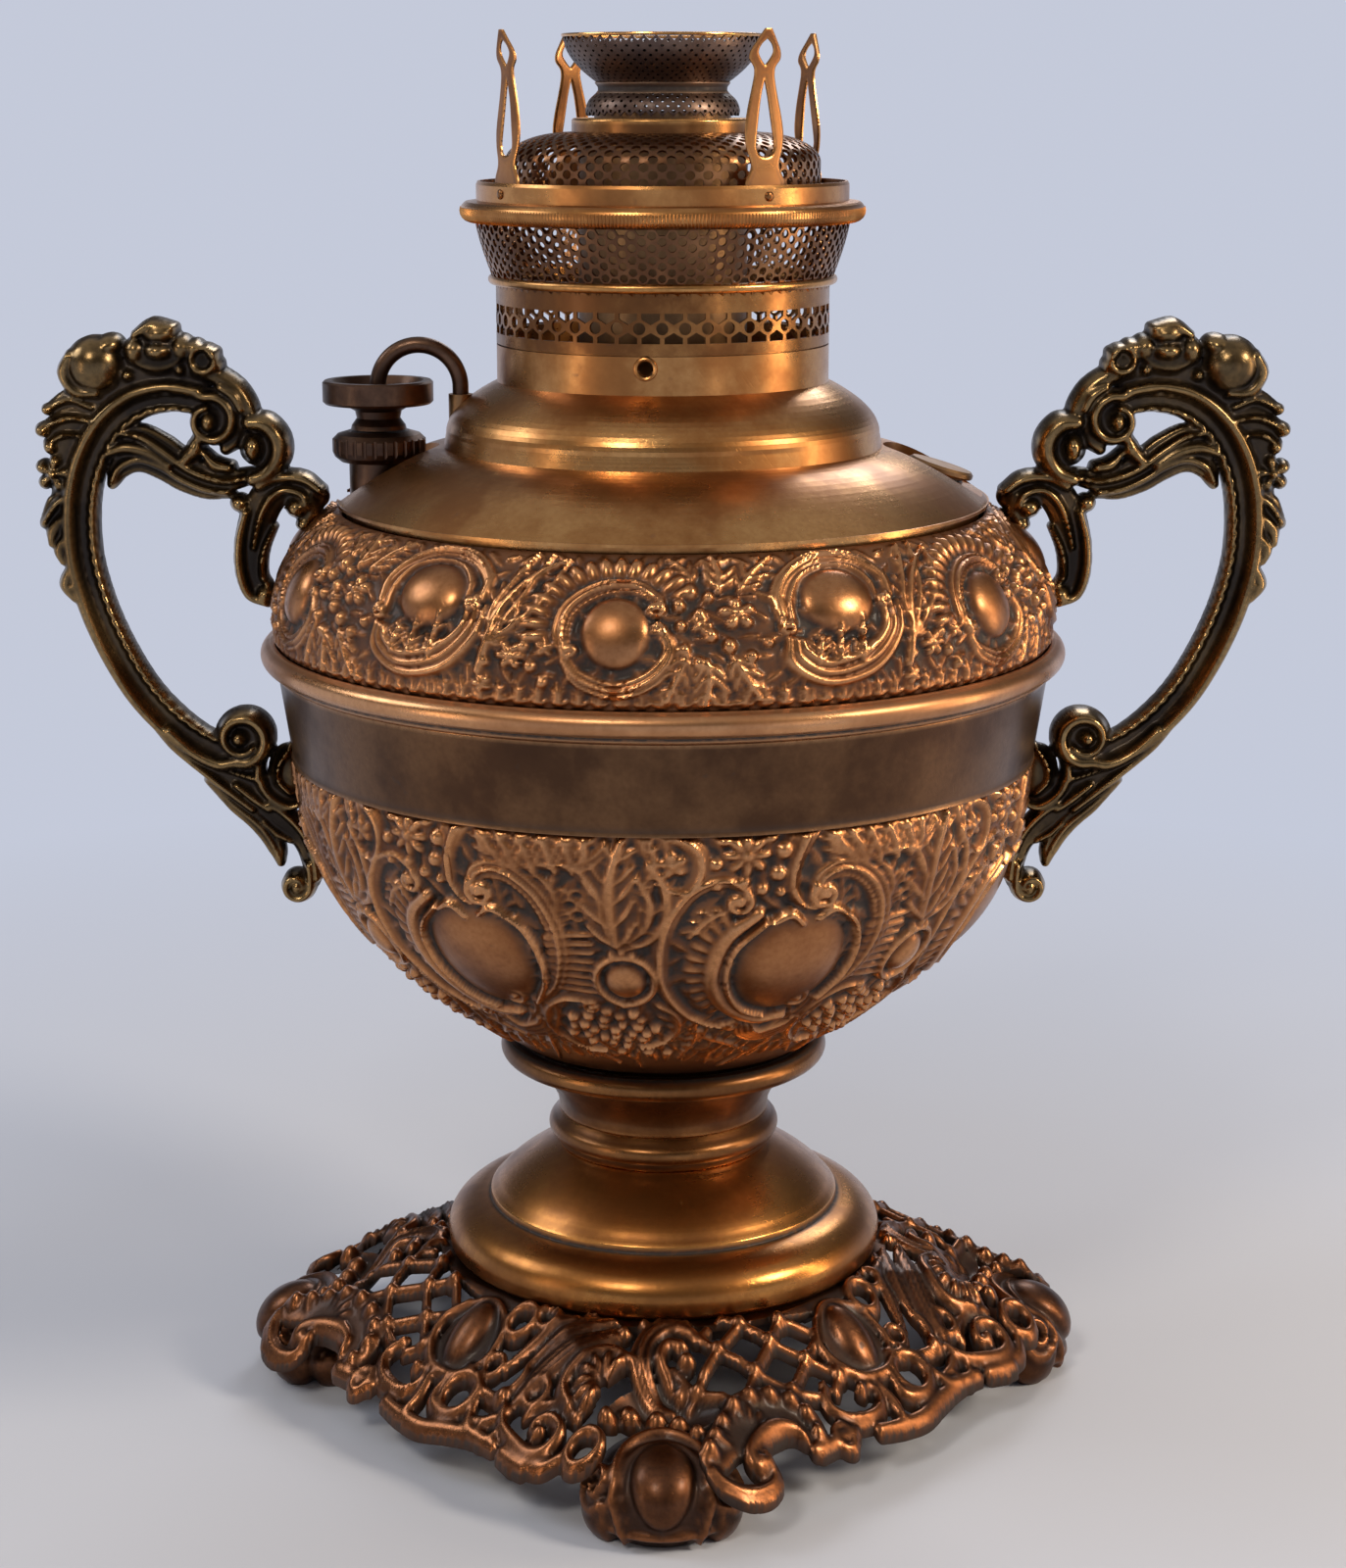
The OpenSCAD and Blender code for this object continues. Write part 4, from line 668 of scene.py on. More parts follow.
def bowlMotif(canvas, place):
    # the pressed pattern of the lower bowl: a framed shield, scrolls, shells, leaves and grapes
    # degrees across, millimetres up
    def band(points, widths, height, **more):
        rim(canvas, [place(x, y) for x, y in points], widths, height, **more)

    def leaf(points, width, height, lobes=5):
        acanthus(canvas, [place(x, y) for x, y in points], width, height, lobes)

    def knob(x, y, rx, ry, height, power=0.5):
        boss(canvas, *place(x, y), rx, ry, height, power)

    def volute(x, y, r, turn, height, start):
        curl(canvas, *place(x, y), r, turn, height, start)

    # leafy ground that fans away from the shields and bosses
    spots = []
    for i in range(15):
        for j in range(15):
            x, y = -31.5 + 3.62 * i + (j % 2) * 1.8, 13 + 4.5 * j
            away = math.degrees(math.atan2(y - 46, (x - 22) if abs(x - 22) < abs(x + 6) else (x + 6)))
            spots.append((x, y, away))
    tongues(canvas, place, spots, 3.0, 0.95, 3)
    # long sweeps that hang towards the foot
    band([(31, 30), (33, 23), (36, 15), (41, 8)], [0.6, 1.6, 1.5, 0.3], 1.1, reeds=2)
    band([(35, 31), (37, 25), (41, 18), (47, 11)], [0.6, 1.4, 1.2, 0.3], 1.0)
    band([(28, 27), (25, 18), (22, 11), (18, 5)], [0.5, 1.3, 1.0, 0.3], 0.9)
    band([(6, 26), (11, 22), (16, 19), (21, 15)], [0.6, 1.1, 0.9, 0.3], 0.8)
    band([(-6, 16), (-7, 11), (-6, 5)], [0.6, 1.3, 0.3], 0.9)
    leaf([(34.6, 22), (35.4, 16), (34, 10)], 2.4, 0.9, 4)
    leaf([(13, 17), (12, 12), (13.4, 7)], 2.6, 0.7, 4)
    # plain shield and its frames
    knob(21.9, 47.4, 12.0, 14.2, 2.6, 0.55)
    band([(15, 61.2), (10.4, 56), (8.6, 49), (9.2, 42), (12.8, 35.6), (18.6, 31.4), (24.4, 31.8)],
         [1.4, 2.1, 2.2, 2.1, 1.5], 2.2)
    band([(16.4, 59.4), (12.2, 54), (11, 48), (11.8, 41.6), (15, 36), (20, 33)], [0.7, 0.85, 0.7], 2.6)
    band([(28.4, 60.6), (32, 56.6), (33.6, 50), (33, 43), (30, 36.6)], [0.7, 0.9, 0.7], 2.4)
    band([(24, 62.4), (25, 67.6), (29.4, 68.8), (34, 65), (36.6, 58.6), (37, 51), (35, 43), (30.6, 36.6)],
         [1.4, 2.3, 2.5, 2.4, 2.2, 1.4], 2.0, reeds=3, beads=1.4)
    volute(25.4, 64.2, 2.8, 1, 2.2, 2.4)
    band([(22.2, 58.4), (20, 60.8), (17.2, 59.2)], [0.7, 1.2, 0.6], 2.7)
    band([(24.6, 59.2), (27, 61.2), (29.6, 59.6)], [0.6, 1.1, 0.5], 2.7)
    # stem that hooks into the shield
    band([(22.4, 77.4), (20.4, 71.4), (20.2, 65.6), (22.6, 61.8), (26.4, 61.8)], [2.2, 1.5, 1.2, 1.4, 0.9], 2.1, reeds=2)
    band([(25.6, 77.4), (26.6, 73.4), (30, 71.6), (34.6, 72.4)], [0.9, 1.3, 1.2, 0.6], 1.3)
    # scroll with a shell at the left of the shield
    band([(13, 66), (9.4, 68.4), (4.6, 66), (1.2, 59.6), (-0.2, 51), (0.6, 42), (4, 34.6), (8.8, 30), (14.4, 28.6)],
         [1.3, 1.7, 1.8, 1.8, 1.7, 1.6, 1.4, 0.9], 1.9, reeds=2)
    volute(11.8, 63.6, 2.5, -1, 1.9, 1.0)
    flutes(canvas, *place(15, 48), 5.6, 13.6, 118, 244, 11, 1.4, 0.98, 1.32)
    leaf([(9.8, 61.8), (7, 60), (4.4, 55.6)], 2.2, 1.7, 4)
    # swirl under the shield
    for j in range(4):
        w = 1.5 * j
        band([(15.4 + w * 0.8, 28.8), (17 + w * 0.7, 24 + w * 0.5), (22.2, 21 + w), (27.8 - w * 0.3, 23.2 + w), (31.4 - w * 0.8, 30)],
             [0.5, 1.0, 1.1, 1.0, 0.4], 1.2 + 0.2 * j)
    volute(14.4, 29.6, 2.2, 1, 1.8, 3.0)
    volute(20.4, 30.6, 1.7, -1, 1.7, 0.6)
    volute(25.8, 38.0, 2.5, 1, 2.0, 4.0)
    for j in range(4):
        band([(29 + j * 1.3, 37 - j * 0.5), (28.2 + j * 1.5, 32.6), (25 + j * 1.9, 28.4 - j * 0.5), (22 + j * 2.1, 25.6 - j)],
             [0.85, 0.95, 0.8, 0.3], 1.3)
    # shell beside the round boss
    for j in range(8):
        y = 40.6 + 2.25 * j
        lean = (y - 48) * 0.16
        band([(-18.4, y - lean), (-15, y - lean * 0.4 + 0.2), (-11.4 + abs(y - 48) * 0.08, y)], [1.0, 1.15, 0.7], 1.3)
    leaf([(-17.8, 57), (-15.8, 62), (-17, 67), (-21, 70.4)], 3.0, 1.4, 5)
    # ringed boss
    x, y = place(-6, 44.6)
    boss(canvas, x, y, 4.5, 5.2, 2.6)
    a = np.linspace(0, 2 * math.pi, 17)
    rim(canvas, np.c_[x + 5.9 * np.cos(a), y + 6.8 * np.sin(a)], [1.0, 1.0], 1.9)
    knob(-6.6, 37.8, 1.5, 1.2, 2.2)
    for dx in (-1.6, 0, 1.6):
        knob(-6.2 + dx, 52.8 - abs(dx) * 0.5, 1.0, 1.2, 1.9)
    # leaves over the boss
    leaf([(-6.8, 54), (-7.6, 61), (-7.4, 69), (-5.4, 77)], 5.0, 1.9, 5)
    leaf([(-5.8, 54.4), (-2.4, 58.4), (-1.6, 64), (-3.6, 69)], 3.6, 1.6, 4)
    leaf([(-3, 67), (-0.8, 71), (-1.6, 76.4)], 2.2, 1.4, 4)
    band([(-7.6, 54), (-8.8, 60), (-9.6, 66), (-13, 70.8), (-18.4, 70.8)], [0.9, 1.6, 1.7, 1.6, 0.7], 1.7, reeds=2)
    band([(-6, 53.2), (-1.8, 55.4), (0.9, 60.6), (0.6, 67), (-1.8, 71.8)], [0.7, 1.1, 1.1, 0.6], 1.5)
    a = np.linspace(0, 2 * math.pi, 7)
    for i in range(9):
        cx, cy = place(-14.8 + i % 3 * 2.3 + (i // 3 % 2) * 1.1, 60.6 + i // 3 * 2.1)
        rim(canvas, np.c_[cx + 1.25 * np.cos(a), cy + 1.2 * np.sin(a)], [0.42, 0.42], 1.1)
    # small scroll with a bud, and the daisy with its berries
    band([(-2.8, 77.2), (1.6, 77.2), (5.4, 74), (6, 69.6), (4, 66), (1.4, 66.4)], [0.8, 1.5, 1.7, 1.5, 1.0], 1.8, reeds=2)
    flower(canvas, *place(1.8, 71.4), 3.0, 5, 1.5, 0.5)
    flower(canvas, *place(12.8, 73), 4.6, 8, 1.9)
    for x, y, r in ((8.2, 71.4, 1.4), (17.6, 69, 1.7), (15.2, 66, 1.4), (18.4, 73.4, 1.8), (9.4, 76, 1.3),
                    (18.2, 65.2, 1.1), (12.4, 67.8, 1.3), (16.4, 76.4, 1.3), (8.4, 67, 1.0)):
        knob(x, y, r, r, 1.7)
    # leaves along the upper edge
    for x, lean in ((-27.5, 4), (-24.4, 3), (-21, 2), (-17.6, 2), (-14, 1), (-10.6, -1), (29.4, 2)):
        leaf([(x + lean, 69.4), (x + lean * 0.5, 73), (x - 0.6, 77)], 3.4, 1.6, 3)
    leaf([(-27.4, 57), (-25, 62), (-26, 68)], 2.4, 1.2, 5)
    leaf([(-22.8, 47), (-21.4, 53), (-22.6, 60)], 2.2, 1.1, 5)
    # grapes in a frame of scrolls under the boss
    band([(-12.4, 37.6), (-17.4, 38.2), (-22, 34.6), (-24.2, 28), (-23, 21.6), (-18.8, 17.6), (-13.4, 17.2)],
         [1.6, 1.8, 1.8, 1.6, 1.4, 1.1, 0.6], 1.8, reeds=2)
    band([(-0.4, 36.6), (2.4, 33.8), (3.8, 29), (2.4, 24), (-1, 20.2), (-5, 18.8)], [1.1, 1.5, 1.5, 1.2, 0.6], 1.7, reeds=2)
    volute(-13, 36, 2.0, 1, 1.8, 1.5)
    rows = np.random.default_rng(7)
    for i in range(26):
        a, q = i * 2.4, 0.5 + 1.62 * math.sqrt(i)
        r = 1.35 + 0.5 * rows.random()
        knob(-10.2 + 1.15 * q * math.cos(a), 27.2 + 0.9 * q * math.sin(a), r, r, 1.0 + 0.7 * rows.random() + 0.5)
    for x in (-15.4, -10.4, -3.4, 1.4):
        knob(x, 15.8, 2.0, 1.3, 1.4)
    leaf([(-28, 35), (-26.4, 29), (-27, 22), (-30, 14)], 2.6, 1.4, 6)
    leaf([(5.6, 33), (7.4, 27), (7, 20), (4, 12)], 2.6, 1.4, 6)


def repeatPattern(look, motif):
    # one repeat as rows and columns of heights; the motif is drawn three times so that its ends meet
    period = 360 / look["repeats"]
    x0 = look["mid"] - period / 2
    canvas = newCanvas(0, 3 * period * look["wide"], 0, look["length"], look["step"])
    k = period / look["drawnPeriod"]
    for n in (0, 1, 2):
        def place(x, y):
            return (((x - look["mid"]) * k + look["mid"] - x0 + n * period) * look["wide"], y)
        motif(canvas, place)
    n = int(round(period * look["wide"] / look["step"]))
    xs = period * look["wide"] * (1 + np.arange(n) / n)
    h = np.array([np.interp(xs, canvas["x"], row) for row in canvas["h"]])
    return blurred(h, look["soft"], True)


def embossedShell(names, look, heights, path, finish, body, node):
    # closed sectors of a thin shell with the relief on their outer side
    path = np.array(path)
    run = np.concatenate([[0], np.cumsum(np.hypot(*np.diff(path, axis=0).T))])
    s = np.linspace(0, run[-1], heights.shape[0])
    line = np.c_[np.interp(s, run, path[:, 0]), np.interp(s, run, path[:, 1])]
    d = tangents(line)
    out = np.c_[d[:, 1], -d[:, 0]]
    low = s[:, None] / look["step"]
    edge = np.clip(np.minimum(low, heights.shape[0] - 1 - low) / 3, 0, 1)
    h = heights * edge
    near, wide = blurred(h, 3.0, True), blurred(h, 9.0, True)
    # grime and painted shade: darker in the hollows of the relief and on its lower ground
    grimeAndShade = np.clip((0.6 * near + 0.4 * wide - h) * 1.5 + 0.12 * (1.0 - h / h.max()), 0, 1)
    wear = np.clip((h - near) * 1.6 + (h - wide) * 0.45, 0, 1)
    rows, columns = h.shape
    inner = np.linspace(0, rows - 1, 10).astype(int)[::-1]
    period = 2 * math.pi / look["repeats"]
    start = math.radians(look["mid"]) - period / 2
    first = 0
    for name, count in zip(names, look["groups"]):
        total = count * columns + 1
        index = np.arange(total) % columns
        a = start + period * (first + np.arange(total) / columns)
        first += count
        rise = h[:, index] - look["recess"]
        r = line[:, 0][:, None] + out[:, 0][:, None] * rise
        z = line[:, 1][:, None] + out[:, 1][:, None] * rise
        outer = np.stack([r * np.sin(a), -r * np.cos(a), z], 2)
        back = line[inner] - out[inner] * (look["recess"] + look["wall"])
        innerGrid = np.stack([np.outer(back[:, 0], np.sin(a)), -np.outer(back[:, 0], np.cos(a)),
                              np.repeat(back[:, 1][:, None], total, 1)], 2)
        grid = np.vstack([outer, innerGrid])
        n = len(grid)
        points = grid.reshape(-1, 3)
        ids = np.arange(n * total).reshape(n, total)
        around = np.vstack([ids, ids[:1]])
        quads = np.stack([around[:-1, :-1], around[:-1, 1:], around[1:, 1:], around[1:, :-1]], 2).reshape(-1, 4)
        faces = quads.tolist() + [ids[:, 0].tolist(), ids[::-1, -1].tolist()]
        pad = np.zeros((len(inner), total))
        # the inner wall gets a steady share of painted shade
        marks = {"wear": np.vstack([wear[:, index], pad]).ravel(), "grimeAndShade": np.vstack([grimeAndShade[:, index], pad + 0.5]).ravel()}
        makePiece(name, points, faces, finish, body, (node,), marks, 70)


bowlHeights = repeatPattern(bowlLook, bowlMotif)
embossedShell(("lowerBowlFront", "lowerBowlRight", "lowerBowlLeft"), bowlLook, bowlHeights,
              earlyCurve(32.2, 74.3, 74.5, 135.2, 2.15, 120), "embossedCopper", "stand", "lower_bowl")
print("lower bowl is embossed", bowlHeights.shape)


# embossed shoulder

shoulderLook = {"repeats": 6, "step": 0.36, "length": 31.1, "mid": 10.0, "drawnPeriod": 60, "wide": 1.22, "soft": 0.45,
                "recess": 1.15, "wall": 0.9, "groups": (3, 3)}


def shoulderMotif(canvas, place):
    # the pressed pattern of the shoulder: two kinds of oval boss in scrolls, flowers and leaves between
    def band(points, widths, height, **more):
        rim(canvas, [place(x, y) for x, y in points], widths, height, **more)

    def leaf(points, width, height, lobes=4):
        acanthus(canvas, [place(x, y) for x, y in points], width, height, lobes)

    def knob(x, y, rx, ry, height, power=0.5):
        boss(canvas, *place(x, y), rx, ry, height, power)

    def volute(x, y, r, turn, height, start):
        curl(canvas, *place(x, y), r, turn, height, start)

    # leafy ground
    spots = []
    for i in range(20):
        for j in range(8):
            x, y = -20 + 3.05 * i + (j % 2) * 1.5, 1.6 + 3.9 * j
            nearest = -6 if abs(x + 6) < abs(x - 25) else 25
            spots.append((x, y, math.degrees(math.atan2(y - 14, x - nearest))))
    tongues(canvas, place, spots, 2.3, 0.85, 5)
    # fringe of small leaves at the lower edge
    for i in range(22):
        x = -19.4 + i * 60 / 22
        leaf([(x, 0.2), (x + 0.4, 2), (x, 4.6)], 1.5, 1.0, 2)
    # upright oval boss with flutes round its head
    x, y = place(-6.2, 14.2)
    boss(canvas, x, y, 5.9, 6.9, 2.3)
    flutes(canvas, x, y + 1, 9.6, 14.8, 28, 196, 15, 1.5, 1.12, 1.0)
    band([(-12.4, 9.2), (-13.6, 14), (-12.4, 19), (-8.4, 22.6), (-3.6, 23), (-0.4, 20.4)], [1.2, 1.8, 2.0, 2.0, 1.7, 1.2], 1.9, reeds=3, beads=1.2)
    volute(-0.9, 18.6, 1.7, -1, 1.8, 1.0)
    band([(-12.8, 8.6), (-10.6, 5.4), (-6, 3.6), (-1.4, 5.8), (1.2, 10.4), (0, 15)], [1.0, 1.7, 1.9, 1.8, 1.5, 1.0], 1.8, reeds=3)
    volute(-12.2, 10.8, 1.4, 1, 1.7, 2.0)
    volute(-0.6, 15.2, 1.2, 1, 1.6, 4.0)
    # flowers, a rose and berries
    for x, y, r in ((2.4, 19.4, 1.4), (5.2, 17.6, 1.3), (4, 22.2, 1.7), (6.6, 13.6, 1.4), (3, 11, 1.3), (9, 11.6, 1.5), (5, 8.6, 1.3),
                    (12, 9.6, 1.2), (6.6, 21, 1.2), (2.6, 15.4, 1.2), (14.4, 12, 1.0)):
        knob(x, y, 0.85 * r, 1.1 * r, 1.7)
    flower(canvas, *place(10.4, 17.6), 3.4, 5, 1.9, 0.4)
    flower(canvas, *place(5.4, 15.6), 2.0, 5, 1.6, 1.2)
    leaf([(3.4, 10), (2, 6), (0.6, 1.6)], 2.6, 1.5, 3)
    leaf([(6, 9), (6.2, 5), (5.6, 0.8)], 2.8, 1.6, 3)
    leaf([(9.4, 9.6), (11, 6), (13, 1.8)], 2.6, 1.5, 3)
    leaf([(8, 22), (8.4, 26), (7.4, 30.4)], 3.2, 1.6, 3)
    leaf([(11, 22), (13.4, 26), (17, 29.6)], 2.8, 1.4, 3)
    leaf([(4.4, 24), (3.2, 27), (0.8, 29.6)], 2.2, 1.3, 3)
    # round boss in turning scrolls
    x, y = place(25.4, 19.4)
    boss(canvas, x, y, 7.0, 6.6, 2.4)
    band([(16.6, 16.6), (16.6, 21.4), (19.4, 26), (24.6, 28.8), (30.4, 27.8), (34, 23.6), (34, 19.4)], [1.1, 1.5, 1.6, 1.6, 1.6, 1.4, 1.0], 1.8, reeds=3)
    band([(18, 15.4), (18.2, 20), (20.4, 24.4), (24.8, 26.4), (29.2, 25.6), (31.4, 22.4), (31.6, 19.4)], [0.8, 1.2, 1.3, 1.3, 1.1, 0.8], 1.6, reeds=2)
    volute(32.4, 18.4, 1.5, -1, 1.8, 1.0)
    volute(17.4, 14.6, 1.5, 1, 1.8, 2.0)
    for j in range(3):
        w = 1.7 * j
        band([(17.2 + 0.5 * w, 12.6 - 0.2 * w), (17.6 + 0.6 * w, 7.6 + 0.6 * w), (22.6, 4.2 + w), (29.4 - 0.3 * w, 6 + w),
              (34 - 0.6 * w, 12 + 0.4 * w), (35 - 0.8 * w, 18)], [0.9, 1.4, 1.5, 1.4, 1.2, 0.6], 1.5 + 0.15 * j, reeds=1)
    for x, y in ((22, 12.6), (25, 15.6), (28.4, 16)):
        leaf([(x - 1, 7.6), (x - 0.6, 10.6), (x, y)], 1.9, 2.3, 3)
    # palmette between the round boss and the next flutes
    for x, y, top in ((40.4, 21, 31), (43, 19, 29), (37.6, 22, 30)):
        leaf([(36.4, 11), (x - 1.6, 17), (x, y), (x + 3, top)], 2.4, 1.6, 5)
    band([(35, 6), (36.2, 12), (37.4, 18), (40.6, 24), (45.4, 28.6)], [0.8, 1.1, 1.0, 0.8, 0.4], 1.5)
    flower(canvas, *place(39.6, 9.2), 2.8, 6, 1.7)
    flower(canvas, *place(35.6, 3.8), 1.9, 5, 1.5, 0.7)
    flower(canvas, *place(-15.6, 11), 2.0, 5, 1.5, 0.3)
    for x, y, r in ((37.6, 12.6, 1.2), (-17.6, 7.4, 1.2), (-15.8, 4.6, 1.1), (36, 7.8, 1.0), (-18.6, 11, 1.1)):
        knob(x, y, 0.9 * r, 1.1 * r, 1.5)


shoulderHeights = repeatPattern(shoulderLook, shoulderMotif)
embossedShell(("shoulderFront", "shoulderBack"), shoulderLook, shoulderHeights,
              lateCurve(78.2, 158.3, 64.8, 184.8, 2.6, 90), "embossedCopper", "stand", "shoulder_shell")
print("shoulder is embossed", shoulderHeights.shape)


# turned parts of the stand

def pedestalOutline():
    path = [(43.7, 28.3), (44.9, 29.5)]
    path += [(lerp(36.6, 45.2, q[0]), 32.3 + 6.6 * q[1]) for q in arcPoints(0, 0, 1, 0, 80, 20)]
    path += [(36.3, 39.2), (36.2, 40.5)]
    path += [(lerp(35.6, 21.5, u ** 0.9), lerp(40.5, 51.1, u ** 0.62)) for u in np.linspace(0.03, 1, 24)]
    return sheetOutline(path, 0.8)


turnedPiece("pedestalDome", pedestalOutline(), "pedestalBrass", ("pedestal_dome",), "stand", 180)
turnedPiece("stemKnop", [(20, 51.1), (22.1, 51.1), (22.7, 52.5)] + arcPoints(21.57, 54.6, 2.33, -60, 60, 8)
            + [(22.3, 57.1), (21.4, 58.1), (20, 58.1)], "collarBrass", ("stem_knop",), "stand", 128)
collarCone = [(lerp(21.8, 27.5, u ** 1.7), lerp(59.7, 68.1, u)) for u in np.linspace(0, 1, 14)]
turnedPiece("bowlCollar", [(21.6, 58.1)] + collarCone + [(28.5, 68.3), (28.7, 69.3), (29.5, 69.6)]
            + arcPoints(31.3, 71.9, 2.4, -70, 70, 12) + [(32.6, 74.3), (30.2, 74.3), (27.7, 71.1)]
            + [(r - 1.4, z) for r, z in collarCone[::-1]] + [(20.2, 59.3), (20.2, 58.1)],
            "collarBrass", ("bowl_collar",), "stand", 144)
turnedPiece("waistBand", [(74.3, 134.6), (74.9, 134.7), (74.6, 135.6), (77, 152.2), (76.2, 152.2), (73.7, 135.2)],
            "bandBrass", ("waist_band",), "stand", 240, 0.2)
turnedPiece("beadRing", [(76.2, 152.2), (77, 152.2), (77.9, 152.7), (78.0, 153.6)] + arcPoints(78, 155.8, 2.3, -75, 75, 14)
            + [(78.2, 158.3), (77.4, 158.3), (77.4, 157.3), (76.2, 153.2)], "beadBrass", ("bead_ring",), "stand", 240, 0.3)
print("stand is turned")


# cast pieces: a clipped field of heights on both sides of a mid plane

def clippedField(canvas):
    # the grid where the drawing has metal, with its edge cut along the outline
    inside, x, y = canvas["inside"], canvas["x"], canvas["y"]
    full = inside > 0
    ids = np.full(inside.shape, -1)
    ids[full] = np.arange(full.sum())
    jj, ii = np.nonzero(full)
    points = [np.c_[x[ii], y[jj]]]
    spots = [np.c_[jj, ii].astype(float)]
    count = int(full.sum())
    crossing = []
    for dj, di in ((0, 1), (1, 0)):
        a = full[:full.shape[0] - dj, :full.shape[1] - di]
        b = full[dj:, di:]
        j, i = np.nonzero(a != b)
        fa, fb = inside[j, i], inside[j + dj, i + di]
        t = np.clip(fa / (fa - fb), 0.12, 0.88)
        cut = np.full(a.shape, -1)
        cut[j, i] = count + np.arange(len(j))
        count += len(j)
        points.append(np.c_[x[i] + t * di * (x[1] - x[0]), y[j] + t * dj * (y[1] - y[0])])
        spots.append(np.c_[j + t * dj, i + t * di])
        crossing.append(cut)
    across, upward = crossing
    corners = full[:-1, :-1].astype(int) + full[:-1, 1:] + full[1:, 1:] + full[1:, :-1]
    j, i = np.nonzero(corners == 4)
    faces = np.c_[ids[j, i], ids[j, i + 1], ids[j + 1, i + 1], ids[j + 1, i]].tolist()
    edges = []
    for j, i in zip(*np.nonzero((corners > 0) & (corners < 4))):
        walk = ((ids[j, i], across[j, i]), (ids[j, i + 1], upward[j, i + 1]), (ids[j + 1, i + 1], across[j + 1, i]), (ids[j + 1, i], upward[j, i]))
        ring = []
        for corner, cut in walk:
            if corner >= 0:
                ring.append((corner, False))
            if cut >= 0:
                ring.append((cut, True))
        faces.append([int(v) for v, _ in ring])
        for (a, cutA), (b, cutB) in zip(ring, ring[1:] + ring[:1]):
            if cutA and cutB:
                edges.append((int(a), int(b)))
    return np.vstack(points), np.vstack(spots), faces, edges


def sampled(field, spots):
    j, i = np.floor(spots).astype(int).T
    t, u = (spots - np.floor(spots)).T
    j2, i2 = np.minimum(j + 1, field.shape[0] - 1), np.minimum(i + 1, field.shape[1] - 1)
    return ((1 - t) * ((1 - u) * field[j, i] + u * field[j, i2]) + t * ((1 - u) * field[j2, i] + u * field[j2, i2]))


def reliefMarks(h, small, large, strength):
    near, wide = blurred(h, small, False), blurred(h, large, False)
    # grime and painted shade where the relief lies lower than its surroundings
    grimeAndShade = np.clip((0.6 * near + 0.4 * wide - h) * strength, 0, 1)
    wear = np.clip((h - near) * strength * 1.1 + (h - wide) * strength * 0.3, 0, 1)
    return wear, grimeAndShade


def doubled(points, front, back, faces, edges):
    n = len(points)
    rows = np.vstack([front, back])
    everything = faces + [[v + n for v in f[::-1]] for f in faces] + [(b, a, a + n, b + n) for a, b in edges]
    return rows, everything


# handles: drawn in the plane of the axis, x outwards from it, millimetres

handleLook = {"step": 0.36, "box": (64, 128, 98, 224), "round": 0.8, "edge": 0.8}


def offsetPath(points, distance):
    return shifted(smoothPath(points, 3), distance)[::3]


